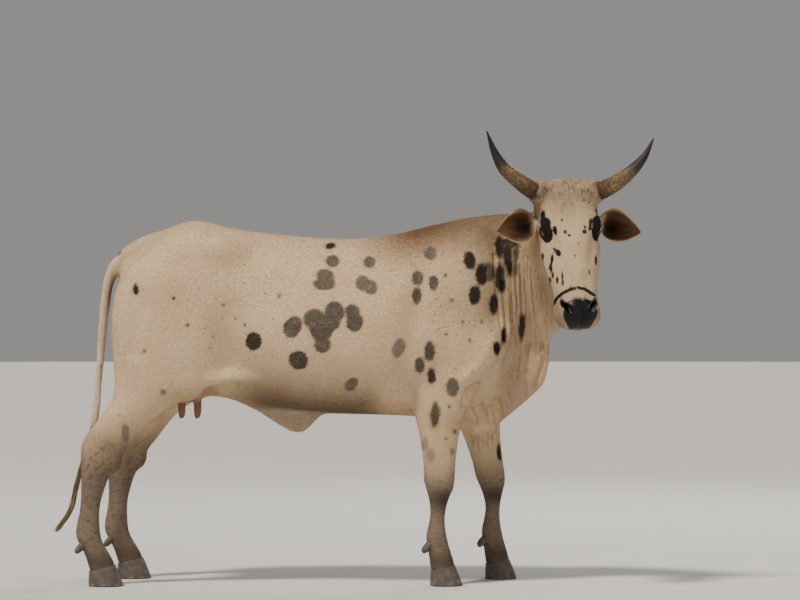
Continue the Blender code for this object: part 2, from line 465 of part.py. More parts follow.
def build_masses(bm):
    """Every mass of the body that is covered by one skin."""
    add_trunk(bm)
    for side in (RIGHT, LEFT):
        add_leg(bm, side, FORE_BACK, FORE_FRONT, FORE_HALF, FORE_OUT, FORE_STEP, FORE_TOP, 44)
        add_leg(bm, side, HIND_BACK, HIND_FRONT, HIND_HALF, HIND_OUT, HIND_STEP, HIND_TOP, 44)
    add_joints(bm)
    add_flank_fold(bm)
    add_neck(bm)
    add_dewlap(bm)
    add_navel_flap(bm)
    add_udder(bm)
    add_tail_head(bm)
    add_head(bm)


def read_points(mesh):
    """The corners of a mesh as rows of X, Y and Z."""
    points = np.empty(len(mesh.vertices) * 3)
    mesh.vertices.foreach_get("co", points)
    return points.reshape(-1, 3)


def write_points(mesh, points):
    mesh.vertices.foreach_set("co", points.ravel())
    mesh.update()


def read_normals(mesh):
    normals = np.empty(len(mesh.vertices) * 3)
    mesh.vertices.foreach_get("normal", normals)
    return normals.reshape(-1, 3)


def ramp(values, low, high):
    """0 at low and 1 at high, with soft ends."""
    t = np.clip((values - low) / (high - low), 0, 1)
    return t * t * (3 - 2 * t)


def in_head(points):
    """Points carried from the body's frame into the head's."""
    inverse = np.array(HEAD.inverted())
    return points @ inverse[:3, :3].T + inverse[:3, 3]


def head_share(points):
    """1 on the head, falling to 0 a little behind the poll and the jaw."""
    u, v, w = in_head(points).T
    behind = ramp(u * HEAD_CUT[0] + w * HEAD_CUT[1] - HEAD_CUT[2], -0.05, 0.02)
    below = ramp(w + 0.245 - 0.2 * (u - 0.13), -0.03, 0.01)
    return behind * below * ramp(-abs(v), -0.20, -0.16) * ramp(u, -0.12, -0.06)


def relax(mesh, weight, rounds):
    """Draws each corner towards the mean of its neighbours, by its weight."""
    points = read_points(mesh)
    ends = np.empty(len(mesh.edges) * 2, int)
    mesh.edges.foreach_get("vertices", ends)
    a, b = ends.reshape(-1, 2).T
    count = len(points)
    degree = np.bincount(a, minlength=count) + np.bincount(b, minlength=count)
    for _ in range(rounds):
        for axis in range(3):
            line = points[:, axis]
            total = np.bincount(a, line[b], count) + np.bincount(b, line[a], count)
            points[:, axis] += weight * (total / degree - line)
    write_points(mesh, points)


def nearness(points, path, radius):
    """1 on a path of points, fading by a bell curve as wide as the radius."""
    best = np.full(len(points), np.inf)
    path = np.array(path, float)
    for start, end in zip(path, path[1:]):
        run = end - start
        t = np.clip((points - start) @ run / max(run @ run, 1e-12), 0, 1)
        best = np.minimum(best, ((points - start - t[:, None] * run) ** 2).sum(axis=1))
    return np.exp(-best / radius ** 2)


def sculpt(obj):
    """Smooths the joins between the masses, then presses in the hollows and raises the bones."""
    mesh = obj.data
    points = read_points(mesh)
    head = head_share(points)
    trunk = ramp(points[:, 2], 0.56, 0.74)
    relax(mesh, (0.25 + 0.4 * trunk) * (1 - 0.75 * head), TRUNK_ROUNDS)
    relax(mesh, np.full(len(points), 0.5), 3)
    points, normals = read_points(mesh), read_normals(mesh)
    move = np.zeros(len(points))
    side_view = points[:, [0, 2]]
    on_side = ramp(abs(normals[:, 1]), 0.15, 0.5) * (1 - head)
    for path, radius, height in BODY_FORMS:
        move += height * nearness(side_view, path, radius) * on_side
    local = in_head(points)
    local[:, 1] = abs(local[:, 1])
    for path, radius, height in HEAD_FORMS:
        move += height * nearness(local, path, radius) * head
    write_points(mesh, points + normals * move[:, None])
    relax(mesh, np.full(len(points), 0.3), 2)


def new_object(name, bm, collection):
    mesh = bpy.data.meshes.new(name)
    bm.to_mesh(mesh)
    bm.free()
    obj = bpy.data.objects.new(name, mesh)
    collection.objects.link(obj)
    return obj


def baked(obj):
    """Replaces an object's mesh by what its modifiers make of it."""
    bpy.context.view_layer.update()
    mesh = bpy.data.meshes.new_from_object(obj.evaluated_get(bpy.context.evaluated_depsgraph_get()))
    obj.modifiers.clear()
    obj.data = mesh
    return obj


def fused(obj, voxel):
    """One closed skin over all the masses of an object."""
    remesh = obj.modifiers.new("fuse", "REMESH")
    remesh.mode = "VOXEL"
    remesh.voxel_size = voxel
    return baked(obj)


def thinned(obj, where, count):
    """Merges faces, only at the corners where that is allowed, down to a count of triangles in all."""
    group = obj.vertex_groups.new(name="thin")
    group.add(np.nonzero(where)[0].tolist(), 1.0, "REPLACE")
    thin = obj.modifiers.new("thin", "DECIMATE")
    thin.ratio = min(count / sum(p.loop_total - 2 for p in obj.data.polygons), 1.0)
    thin.vertex_group = group.name
    thin.use_collapse_triangulate = True
    baked(obj)
    obj.vertex_groups.clear()
    return obj


def largest_body(obj):
    """Keeps only the largest closed surface of an object, in triangles."""
    bm = bmesh.new()
    bm.from_mesh(obj.data)
    bmesh.ops.triangulate(bm, faces=bm.faces)
    bmesh.ops.dissolve_degenerate(bm, dist=0.00002, edges=bm.edges)
    bm.verts.index_update()
    left, bodies = set(bm.verts), []
    while left:
        body, edge = set(), [left.pop()]
        while edge:
            corner = edge.pop()
            body.add(corner)
            for near in (e.other_vert(corner) for e in corner.link_edges):
                if near in left:
                    left.discard(near)
                    edge.append(near)
        bodies.append(body)
    keep = max(bodies, key=len)
    bmesh.ops.delete(bm, geom=[v for v in bm.verts if v not in keep], context="VERTS")
    bm.to_mesh(obj.data)
    bm.free()
    return obj


def cut(obj, cutter, operation):
    """Applies one Boolean to an object and removes the cutter."""
    step = obj.modifiers.new("cut", "BOOLEAN")
    step.operation = operation
    step.object = cutter
    step.solver = "EXACT"
    baked(obj)
    bpy.data.objects.remove(cutter)
    return obj


def inset(outline, distance):
    """A convex outline with each edge drawn in by a distance."""
    lines = []
    for (ax, ay), (bx, by) in zip(outline, outline[1:] + outline[:1]):
        length = math.hypot(bx - ax, by - ay)
        nx, ny = -(by - ay) / length, (bx - ax) / length
        lines.append((nx, ny, nx * ax + ny * ay + distance))
    points = []
    for (a, b, c), (d, e, f) in zip(lines[-1:] + lines[:-1], lines):
        under = a * e - b * d
        points.append(((c * e - b * f) / under, (a * f - c * d) / under))
    return points


def prism(name, outline, reach, place, collection, distance=0.0):
    """A cutter: a convex outline, counter-clockwise, drawn out along r; place carries (p, q, r) to XYZ."""
    low, high = reach[0] + distance, reach[1] - distance
    bm = bmesh.new()
    rings = [[place(p, q, r) for p, q in inset(outline, distance)] for r in (low, high)]
    add_loft(bm, rings)
    obj = new_object(name, bm, collection)
    obj.hide_render = True
    obj.display_type = "WIRE"
    return obj


def side_place(p, q, r):
    """X and Z in the outline, Y along the reach."""
    return Vector((p, r, q))


def head_place(p, q, r):
    """U and W in the outline, V along the reach."""
    return HEAD @ Vector((p, r, q))


def peel(body, name, outline, reach, place, parts, cutters):
    """Parts a named piece from the body with a thin cut, and gives the piece."""
    piece = bpy.data.objects.new(name, body.data.copy())
    parts.objects.link(piece)
    cut(piece, prism("region", outline, reach, place, cutters, GAP), "INTERSECT")
    cut(body, prism("region", outline, reach, place, cutters), "DIFFERENCE")
    return largest_body(piece)


def add_head_openings(head, parts, cutters):
    """Lids over the eye sockets, nostrils and the line of the mouth."""
    for sign in (RIGHT, LEFT):
        eye = Vector((EYE.x, sign * EYE.y, EYE.z))
        look = Vector((EYE_LOOK.x, sign * EYE_LOOK.y, EYE_LOOK.z)).normalized()
        bm = bmesh.new()
        add_ball(bm, eye, (LID_RADIUS,) * 3, frame=HEAD, count=15)
        cut(head, new_object("lids", bm, cutters), "UNION")
        cut(head, eyeball("socket", sign, GAP, cutters), "DIFFERENCE")
        bm = bmesh.new()
        add_ball(bm, eye + look * EYE_RADIUS, LID_OPENING, lid_turn(sign), HEAD, 12)
        cut(head, new_object("opening", bm, cutters), "DIFFERENCE")
        bm = bmesh.new()
        middle, (roll, pitch, yaw) = Vector((NOSTRIL.x, sign * NOSTRIL.y, NOSTRIL.z)), NOSTRIL_TURN
        add_ball(bm, middle, NOSTRIL_RADII, (roll, pitch, sign * yaw), HEAD, 9)
        cut(head, new_object("nostril", bm, cutters), "DIFFERENCE")
    cut(head, mouth_line(cutters), "DIFFERENCE")
    return largest_body(head)


def lid_turn(sign):
    """Turns an ellipsoid so that its long axis runs from the front corner of the eye to the back one."""
    return (sign * -18, -FISSURE_TILT, sign * -12)


def eyeball(name, sign, grow, collection):
    bm = bmesh.new()
    place = HEAD @ Matrix.Translation(Vector((EYE.x, sign * EYE.y, EYE.z)))
    bmesh.ops.create_uvsphere(bm, u_segments=12, v_segments=8, radius=EYE_RADIUS + grow, matrix=place)
    return new_object(name, bm, collection)


def lip_point(t):
    """The line between the lips, from the right corner at -1 round the front at 0 to the left corner at 1."""
    u = MOUTH_FRONT[0] - (MOUTH_FRONT[0] - MOUTH_CORNER[0]) * abs(t) ** 2.2
    w = MOUTH_FRONT[1] + (MOUTH_CORNER[1] - MOUTH_FRONT[1]) * abs(t) ** 1.5
    v = MOUTH_HALF * math.sin(t * math.pi / 2)
    return Vector((u, v, w))


def mouth_line(cutters):
    """A thin curved slot between the lips, for a cut."""
    rings = []
    for t in steps(-1.0, 1.0, 17):
        point = lip_point(t)
        ahead = (lip_point(min(t + 0.05, 1.0)) - lip_point(max(t - 0.05, -1.0))).normalized()
        out = ahead.cross(Vector((0, 0, 1))).normalized()
        up = out.cross(ahead).normalized()
        deep = MOUTH_DEPTH * (1 - 0.75 * abs(t) ** 4)
        rings.append([HEAD @ p for p in oval(point, out, up, deep, MOUTH_SLOT, MOUTH_SLOT, count=8)])
    bm = bmesh.new()
    add_loft(bm, rings)
    return new_object("mouth", bm, cutters)


def horn(name, lines, grow, collection):
    """A horn along its line; grow widens it and its root, for the seat in the head."""
    places = steps(0, 1, 11)
    points = [spot(lines, s) for s in places]
    points[0] -= (points[1] - points[0]).normalized() * grow
    bm = bmesh.new()
    add_tube(bm, points, [along(HORN_RADIUS, s) + grow for s in places], 12)
    return new_object(name, bm, collection)


def ear(name, sign, grow, collection):
    """A leaf-shaped ear with a true cup, solid at its root; grow thickens it for the seat in the head."""
    root, tip = (Vector((p.x, sign * p.y, p.z)) for p in (EAR_ROOT, EAR_TIPS[sign]))
    run = tip - root
    ahead = run.normalized()
    face = (EAR_FACE - ahead * EAR_FACE.dot(ahead)).normalized()
    side = ahead.cross(face)
    rings = []
    for s in steps(0.0, 1.0, 11):
        half = along(EAR_HALF, s) + grow
        cup = along(EAR_CUP, s)
        hollow = float(ramp(np.array([s]), 0.10, 0.34)[0])
        thick = EAR_THICK * (1 - 0.6 * s) + grow * 2
        back, front = [], []
        for t in steps(-1.0, 1.0, 7):
            bow = half * cup * (1 - t * t)
            outer = -bow - thick / 2
            inner = hollow * (-bow + thick / 2) + (1 - hollow) * (half * 0.75 * (1 - t * t) + thick / 2)
            middle = root + run * s + side * (half * t) + face * (half * cup * 0.5)
            back.append(HEAD @ (middle + face * outer))
            front.append(HEAD @ (middle + face * inner))
        rings.append(back + front[::-1])
    rings[0] = [p - (HEAD.to_3x3() @ ahead) * grow for p in rings[0]]
    bm = bmesh.new()
    add_loft(bm, rings)
    bmesh.ops.triangulate(bm, faces=bm.faces, quad_method="FIXED")  # alike on both faces, and in the seat
    return new_object(name, bm, collection)


def foot_middle(fore, side):
    """X and Y of the middle of a foot at the coronet, its half length and its half width."""
    back, front, half, out, step = ((FORE_BACK, FORE_FRONT, FORE_HALF, FORE_OUT, FORE_STEP) if fore else
                                    (HIND_BACK, HIND_FRONT, HIND_HALF, HIND_OUT, HIND_STEP))
    shift = along(step, CORONET) if side == LEFT else 0.0
    low, high = along(back, CORONET) + shift, along(front, CORONET) + shift
    return (low + high) / 2, side * along(out, CORONET), (high - low) / 2, along(half, CORONET)


def claw(name, fore, side, which, collection):
    """One claw: flat under the sole and along the cleft, round outside, its toe ahead of the coronet."""
    x, y, length, width = foot_middle(fore, side)
    rings = []
    for t, spread in CLAW_ROWS:
        toe = length + CLAW_TOE * (1 - t)
        heel = length - CLAW_HEEL * (1 - t)
        middle, reach = (toe - heel) / 2, (toe + heel) / 2
        ring = []
        for i in range(CLAW_SIDES):
            angle = math.pi * i / (CLAW_SIDES - 1)
            p = middle + reach * spread * math.copysign(abs(math.cos(angle)) ** 0.85, math.cos(angle))
            q = CLEFT / 2 + (width + 0.005 * (1 - t)) * spread * math.sin(angle) ** 0.75
            ring.append((p, q))
        ring += [(middle - reach * spread * 0.4, CLEFT / 2), (middle + reach * spread * 0.4, CLEFT / 2)]
        rings.append([Vector((x + p, y + which * q, t * (CORONET + CORONET_TILT * p))) for p, q in ring])
    bm = bmesh.new()
    add_loft(bm, rings)
    return new_object(name, bm, collection)


def dewclaw(name, fore, side, which, grow, collection):
    """A small blunt claw behind the fetlock, its root sunk in the flesh."""
    back, out, step = (FORE_BACK, FORE_OUT, FORE_STEP) if fore else (HIND_BACK, HIND_OUT, HIND_STEP)
    shift = along(step, DEWCLAW_LEVEL) if side == LEFT else 0.0
    behind, middle = along(back, DEWCLAW_LEVEL) + shift, side * along(out, DEWCLAW_LEVEL)
    root = Vector((behind + 0.014, middle + which * 0.019, DEWCLAW_LEVEL + 0.008))
    tip = root + Vector((-0.028, which * 0.006, -0.030))
    places = (0.0, 0.55, 0.85, 1.0)
    points = [root.lerp(tip, s) for s in places]
    points[0] -= (tip - root).normalized() * grow
    bm = bmesh.new()
    add_tube(bm, points, [r + grow for r in (0.0125, 0.0120, 0.0085, 0.003)], 7)
    return new_object(name, bm, collection)


def level_tube(bm, places, radii, count):
    """A tube down the tail whose sections are all level."""
    across, ahead = Vector((0, 1, 0)), Vector((1, 0, 0))
    add_loft(bm, [oval(tail_point(s), across, ahead, r, r, r, count=count) for s, r in zip(places, radii)])


def tail_shaft(collection):
    bm = bmesh.new()
    places = steps(DOCK_END, SHAFT_END, 11)
    level_tube(bm, places, [along(TAIL_RADIUS, s) for s in places], 12)
    obj = new_object("tail_shaft", bm, collection)
    top, low = (along(TAIL_Z, s) for s in (DOCK_END, SHAFT_END))
    for corner in obj.data.vertices:
        if corner.co.z > top - 1e-5:
            corner.co.z -= GAP
    return obj


def tail_switch(collection):
    """The long hair at the tail's end: a slim core, and tapered locks rooted in it that hang down."""
    draw = random.Random(7)
    bm = bmesh.new()
    places = steps(SHAFT_END, CORE_END, 7)
    level_tube(bm, places, [along(TAIL_RADIUS, s) for s in places], 10)
    obj = new_object("tail_switch", bm, collection)
    for corner in obj.data.vertices:
        if corner.co.z > along(TAIL_Z, SHAFT_END) - 1e-5:
            corner.co.z -= GAP
    locks = bpy.data.collections.new("locks")
    bpy.context.scene.collection.children.link(locks)
    for i in range(SWITCH_LOCKS):
        start = SHAFT_END + 0.03 + 0.17 * (i + draw.random()) / SWITCH_LOCKS
        end = min(start + draw.uniform(0.15, 0.24), 1.0)
        angle = i * 2.4 + draw.uniform(-0.3, 0.3)
        away = Vector((math.cos(angle), math.sin(angle), 0))
        rings = []
        for t in steps(0.0, 1.0, 5):
            s = start + (end - start) * t
            spread = along(TAIL_RADIUS, start) * 0.45 + draw.uniform(0.010, 0.016) * t ** 0.8
            wide = LOCK_HALF * (0.35 + 2.6 * t * (1 - t)) * (1 - 0.3 * t) + 0.0006
            side, thick = Vector((-away.y, away.x, 0)), wide * 0.6
            rings.append(oval(tail_point(s) + away * spread, side, away, wide, thick, thick, count=4))
        lock = bmesh.new()
        add_loft(lock, rings)
        new_object("lock", lock, locks)
    join = obj.modifiers.new("locks", "BOOLEAN")
    join.operation = "UNION"
    join.operand_type = "COLLECTION"
    join.collection = locks
    baked(obj)
    for lock in list(locks.objects):
        bpy.data.objects.remove(lock)
    bpy.data.collections.remove(locks)
    return largest_body(obj)


def seat(host, piece):
    """Cuts the seat of a piece, given a hair larger, in the part that carries it."""
    cut(host, piece, "DIFFERENCE")
    return largest_body(host)


def body_parts(parts, cutters):
    """The body's flesh, made whole and parted by name."""
    bm = bmesh.new()
    build_masses(bm)
    body = fused(new_object("barrel", bm, parts), BODY_VOXEL)
    sculpt(body)
    head_part = head_share(read_points(body.data)) > 0.05
    head_faces = 2 * int(head_part.sum())
    thinned(body, ~head_part, BODY_TRIANGLES + head_faces)
    head_part = head_share(read_points(body.data)) > 0.05
    thinned(body, head_part, BODY_TRIANGLES + HEAD_TRIANGLES)
    largest_body(body)
    print("whole body:", len(body.data.polygons), "triangles")

    made = {"barrel": body}
    made["head"] = peel(body, "head", HEAD_REGION, (-0.22, 0.22), head_place, parts, cutters)
    made["udder"] = peel(body, "udder", UDDER_REGION, (-0.085, 0.085), side_place, parts, cutters)
    for side, word in SIDES:
        near, far = (0.0, 0.5) if side == LEFT else (-0.5, 0.0)
        leg = peel(body, f"hind_upper_{word}", HIND_REGION, (near, far), side_place, parts, cutters)
        made[leg.name] = leg
        split_leg(leg, False, side, word, HOCK_CUT, made, parts, cutters)
        near, far = (0.065, 0.5) if side == LEFT else (-0.5, -0.065)
        leg = peel(body, f"fore_upper_{word}", FORE_REGIONS[side], (near, far), side_place, parts, cutters)
        made[leg.name] = leg
        split_leg(leg, True, side, word, KNEE_CUT, made, parts, cutters)
    made["navel_flap"] = peel(body, "navel_flap", FLAP_REGION, (-0.07, 0.07), side_place, parts, cutters)
    made["tail_dock"] = peel(body, "tail_dock", DOCK_REGION, (-0.07, 0.07), side_place, parts, cutters)
    largest_body(body)
    made["neck"] = peel(body, "neck", NECK_REGION, (-0.6, 0.5), slanted_place, parts, cutters)
    made["dewlap"] = peel(made["neck"], "dewlap", DEWLAP_REGION, (-0.6, 0.5), side_place, parts, cutters)
    made["chest"] = peel(body, "chest", CHEST_REGION, (-0.5, 0.5), side_place, parts, cutters)
    made["rump"] = peel(body, "rump", RUMP_REGION, (-0.5, 0.5), side_place, parts, cutters)
    for part in made.values():
        largest_body(part)
    return made


def split_leg(leg, fore, side, word, joint_level, made, parts, cutters):
    """Parts a leg at its knee or hock and at its fetlock, and cuts the foot to its coronet and cleft."""
    kind = "fore" if fore else "hind"
    below = [(-2.0, -0.1), (2.0, -0.1), (2.0, joint_level), (-2.0, joint_level)]
    cannon = peel(leg, f"{kind}_cannon_{word}", below, (-0.6, 0.6), side_place, parts, cutters)
    below = [(-2.0, -0.1), (2.0, -0.1), (2.0, FETLOCK_CUT), (-2.0, FETLOCK_CUT)]
    pastern = peel(cannon, f"{kind}_pastern_{word}", below, (-0.6, 0.6), side_place, parts, cutters)
    x, y, length, width = foot_middle(fore, side)
    ends = [(p, CORONET + GAP + CORONET_TILT * p) for p in (0.2, -0.2)]
    sole = [(x - 0.2, -0.3), (x + 0.2, -0.3)] + [(x + p, z) for p, z in ends]
    cut(pastern, prism("sole", sole, (-0.6, 0.6), side_place, cutters), "DIFFERENCE")
    made[cannon.name], made[pastern.name] = cannon, pastern
    largest_body(leg)


def slanted_place(p, q, r):
    """X and Z in the outline, Y along the reach, and further forward towards the left leg, which leads."""
    return Vector((p + NECK_SLANT * (r + NECK_SLANT_START), r, q))


def paint(objects):
    """Gives every part its own plain material."""
    for obj in objects:
        colour, rough = next(look for word, look in COLOURS if obj.name.startswith(word))
        material = bpy.data.materials.new(obj.name)
        material.use_nodes = True
        shader = material.node_tree.nodes["Principled BSDF"]
        shader.inputs["Base Color"].default_value = (*colour, 1.0)
        shader.inputs["Roughness"].default_value = rough
        obj.data.materials.clear()
        obj.data.materials.append(material)


def centre_on_floor(objects):
    """Moves the whole animal so that the middle of its box stands over the origin."""
    low, high = (np.array([f([read_points(o.data).min(axis=0), read_points(o.data).max(axis=0)], axis=0)
                           for o in objects]) for f in (np.min, np.max))
    shift = -(low.min(axis=0) + high.max(axis=0)) / 2
    for obj in objects:
        obj.location = (shift[0], shift[1], 0.0)
    print("moved by", shift[:2])


def main():
    for obj in list(bpy.data.objects):
        bpy.data.objects.remove(obj)
    parts = bpy.data.collections.new("cow")
    cutters = bpy.data.collections.new("cutters")
    for collection in (parts, cutters):
        bpy.context.scene.collection.children.link(collection)

    made = body_parts(parts, cutters)
    head = add_head_openings(made["head"], parts, cutters)
    for side, word in SIDES:
        eyeball(f"eye_{word}", side, 0.0, parts)
        lines = HORN_LEFT if side == LEFT else HORN_RIGHT
        horn(f"horn_{word}", lines, 0.0, parts)
        seat(head, horn("seat", lines, GAP, cutters))
        ear(f"ear_{word}", side, 0.0, parts)
        seat(head, ear("seat", side, GAP, cutters))
        for kind in ("fore", "hind"):
            fore, pastern = kind == "fore", made[f"{kind}_pastern_{word}"]
            for which, place in SIDES:
                claw(f"{kind}_{word}_claw_{place}", fore, side, which, parts)
                dewclaw(f"{kind}_{word}_dewclaw_{place}", fore, side, which, 0.0, parts)
                seat(pastern, dewclaw("seat", fore, side, which, GAP, cutters))
    tail_shaft(parts)
    tail_switch(parts)
    paint(parts.objects)
    centre_on_floor(parts.objects)
    total = 0
    for obj in parts.objects:
        total += sum(p.loop_total - 2 for p in obj.data.polygons)
        print(obj.name, sum(p.loop_total - 2 for p in obj.data.polygons))
    print("triangles in all:", total)


main()
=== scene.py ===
# %% [markdown]
# # A nguni cow, standing with her head turned
#
# Nguni cattle are small, long-horned cattle of southern Africa, known for their spotted hides. This lesson
# dresses a life-size model of one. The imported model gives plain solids, one for each part of the body. Here a
# single skin is drawn over all the flesh, and gets its folds, its lids and its markings. Then come the eyes,
# horns and claws, and last the hair. Everything is in metres, with +X towards the head end, +Y to the cow's
# left and +Z up.

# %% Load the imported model
import json
import math
import random

import bmesh
import bpy
import numpy as np
from mathutils import Matrix, Vector
from mathutils.bvhtree import BVHTree

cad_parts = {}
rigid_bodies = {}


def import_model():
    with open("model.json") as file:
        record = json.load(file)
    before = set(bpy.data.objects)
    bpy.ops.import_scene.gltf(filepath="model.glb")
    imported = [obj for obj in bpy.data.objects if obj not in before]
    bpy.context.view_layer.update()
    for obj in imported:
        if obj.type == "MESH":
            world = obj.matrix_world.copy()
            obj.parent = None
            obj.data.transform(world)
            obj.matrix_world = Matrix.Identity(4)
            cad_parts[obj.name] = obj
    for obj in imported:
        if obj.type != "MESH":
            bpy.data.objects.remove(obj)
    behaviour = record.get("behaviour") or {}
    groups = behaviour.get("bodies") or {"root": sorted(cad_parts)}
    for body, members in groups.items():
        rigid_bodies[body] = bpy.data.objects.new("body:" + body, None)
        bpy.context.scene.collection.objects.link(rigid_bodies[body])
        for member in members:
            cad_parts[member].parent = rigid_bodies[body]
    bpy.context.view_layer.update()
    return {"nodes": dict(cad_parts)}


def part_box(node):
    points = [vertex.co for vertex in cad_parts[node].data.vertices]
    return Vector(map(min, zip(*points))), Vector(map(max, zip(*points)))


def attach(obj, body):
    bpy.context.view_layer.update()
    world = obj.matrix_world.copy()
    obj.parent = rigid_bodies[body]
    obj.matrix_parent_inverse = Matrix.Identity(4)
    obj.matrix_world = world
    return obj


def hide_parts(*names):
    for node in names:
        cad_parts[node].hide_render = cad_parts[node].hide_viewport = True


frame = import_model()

RIGHT, LEFT = -1, 1  # signs of Y on the cow's two sides
SIDES = ((RIGHT, "right"), (LEFT, "left"))
print("nodes in the model:", len(frame["nodes"]))

# %% [markdown]
# ## Smooth lines
#
# An animal has no straight edges. Each of its lines, such as the back or the front of a leg, is kept as a few
# keys, a place and a value, and a smooth curve is read between them. Keys are easy to move one at a time, and
# a line with few keys can't ripple.

# %% Read a smooth line between keys
def along(keys, place):
    """The value of the smooth line through (place, value) keys."""
    at, value = np.array(keys, float).T
    slope = np.diff(value) / np.diff(at)
    both = slope[1:] + slope[:-1]
    same_way = slope[1:] * slope[:-1] > 0
    inner = 0.25 * both + np.where(same_way, slope[1:] * slope[:-1] / (both + 1e-12), 0.0)
    tangent = np.concatenate([slope[:1], inner, slope[-1:]])
    k = np.clip(np.searchsorted(at, place) - 1, 0, len(at) - 2)
    span = at[k + 1] - at[k]
    t = np.clip((place - at[k]) / span, 0.0, 1.0)
    read = (value[k] * (1 + 2 * t) * (1 - t) ** 2 + value[k + 1] * t * t * (3 - 2 * t)
            + tangent[k] * span * t * (1 - t) ** 2 - tangent[k + 1] * span * t * t * (1 - t))
    return read if np.ndim(place) else float(read)


def spot(lines, place):
    """The point that three lines, named x, y and z, give at a place."""
    return Vector([along(lines[axis], place) for axis in "xyz"])


def steps(low, high, count):
    """Count values from low to high, both included."""
    return [low + (high - low) * i / (count - 1) for i in range(count)]


def ramp(values, low, high):
    """0 at low and 1 at high, with soft ends."""
    t = np.clip((np.asarray(values, float) - low) / (high - low), 0, 1)
    return t * t * (3 - 2 * t)

# %% [markdown]
# ## The lines of the body
#
# These are the lines that the solids were drawn with. The skin is drawn with them too, so that it lies where
# the solids lie. The trunk is read against X, a leg against its height, the neck, dewlap and tail against
# their length from 0 to 1, and the head against U, which runs down the face from the poll. V runs to the
# cow's left and W out of the face.

# %% Lines of the trunk
TOPLINE = [(-0.962, 1.06), (-0.945, 1.105), (-0.91, 1.145), (-0.85, 1.190), (-0.79, 1.224), (-0.714, 1.248),
           (-0.62, 1.232), (-0.54, 1.213), (-0.40, 1.198), (-0.25, 1.186), (-0.15, 1.184), (0.0, 1.204),
           (0.14, 1.240), (0.24, 1.256), (0.36, 1.262), (0.44, 1.25)]
BELLY = [(-0.962, 0.86), (-0.93, 0.76), (-0.87, 0.70), (-0.78, 0.662), (-0.68, 0.642), (-0.58, 0.634),
         (-0.45, 0.606), (-0.30, 0.584), (-0.10, 0.578), (0.05, 0.572), (0.18, 0.566), (0.26, 0.585),
         (0.33, 0.64), (0.40, 0.72), (0.44, 0.80)]
TRUNK_HALF = [(-0.962, 0.080), (-0.93, 0.145), (-0.87, 0.190), (-0.78, 0.212), (-0.66, 0.222),
              (-0.56, 0.235), (-0.45, 0.262), (-0.32, 0.288), (-0.18, 0.294), (-0.05, 0.282), (0.08, 0.250),
              (0.18, 0.218), (0.28, 0.182), (0.36, 0.148), (0.44, 0.105)]
TRUNK_WIDEST = [(-0.962, 0.97), (-0.80, 0.98), (-0.60, 0.95), (-0.40, 0.86), (-0.20, 0.82), (0.0, 0.82),
                (0.20, 0.85), (0.44, 0.95)]
TRUNK_TOP_POWER = [(-0.962, 2.1), (-0.65, 2.5), (-0.35, 2.15), (0.0, 1.95), (0.20, 1.65), (0.44, 1.6)]
TRUNK_ENDS = (-0.962, 0.44)

# %% Lines of the legs; the left leg of each pair steps forward
FORE = {
    "back": [(0.045, 0.102), (0.09, 0.098), (0.125, 0.092), (0.165, 0.084), (0.20, 0.092), (0.25, 0.101),
             (0.31, 0.092), (0.355, 0.080), (0.41, 0.078), (0.50, 0.066), (0.58, 0.050), (0.66, 0.030),
             (0.74, 0.034), (0.84, 0.085), (0.94, 0.145), (1.00, 0.175)],
    "front": [(0.045, 0.192), (0.09, 0.184), (0.125, 0.172), (0.165, 0.162), (0.20, 0.156), (0.25, 0.157),
              (0.31, 0.174), (0.355, 0.188), (0.41, 0.191), (0.50, 0.201), (0.58, 0.222), (0.66, 0.262),
              (0.74, 0.305), (0.84, 0.325), (0.94, 0.325), (1.00, 0.315)],
    "half": [(0.045, 0.050), (0.09, 0.046), (0.125, 0.038), (0.165, 0.040), (0.20, 0.031), (0.25, 0.0285),
             (0.30, 0.034), (0.345, 0.047), (0.40, 0.042), (0.48, 0.048), (0.58, 0.062), (0.66, 0.070),
             (0.74, 0.074), (0.84, 0.072), (0.94, 0.060), (1.00, 0.045)],
    "out": [(0.045, 0.150), (0.20, 0.150), (0.40, 0.150), (0.58, 0.152), (0.70, 0.150), (0.84, 0.128),
            (1.00, 0.105)],
    "step": [(0.045, 0.195), (0.25, 0.195), (0.50, 0.152), (0.66, 0.110), (0.84, 0.050), (1.00, 0.0)],
}
HIND = {
    "back": [(0.045, -1.055), (0.09, -1.066), (0.13, -1.084), (0.165, -1.104), (0.195, -1.104),
             (0.25, -1.092), (0.33, -1.086), (0.42, -1.087), (0.472, -1.088), (0.50, -1.078),
             (0.544, -1.046), (0.60, -1.003), (0.66, -0.975), (0.75, -0.978), (0.86, -0.985),
             (0.98, -0.980), (1.06, -0.95)],
    "front": [(0.045, -0.958), (0.09, -0.972), (0.13, -0.996), (0.165, -1.014), (0.195, -1.016),
              (0.25, -1.018), (0.33, -1.000), (0.39, -0.976), (0.446, -0.942), (0.493, -0.900),
              (0.544, -0.855), (0.59, -0.805), (0.64, -0.715), (0.70, -0.62), (0.80, -0.565),
              (0.92, -0.58), (1.06, -0.66)],
    "half": [(0.045, 0.048), (0.09, 0.044), (0.13, 0.036), (0.165, 0.040), (0.20, 0.033), (0.27, 0.0285),
             (0.35, 0.034), (0.42, 0.043), (0.48, 0.038), (0.54, 0.042), (0.62, 0.058), (0.70, 0.072),
             (0.80, 0.085), (0.95, 0.09), (1.06, 0.07)],
    "out": [(0.045, 0.168), (0.20, 0.166), (0.45, 0.160), (0.62, 0.160), (0.80, 0.150), (1.06, 0.125)],
    "step": [(0.045, 0.068), (0.40, 0.062), (0.60, 0.040), (0.80, 0.0)],
}
LEG_FOOT, FORE_TOP, HIND_TOP, LEG_ROWS = 0.046, 1.00, 1.06, 44

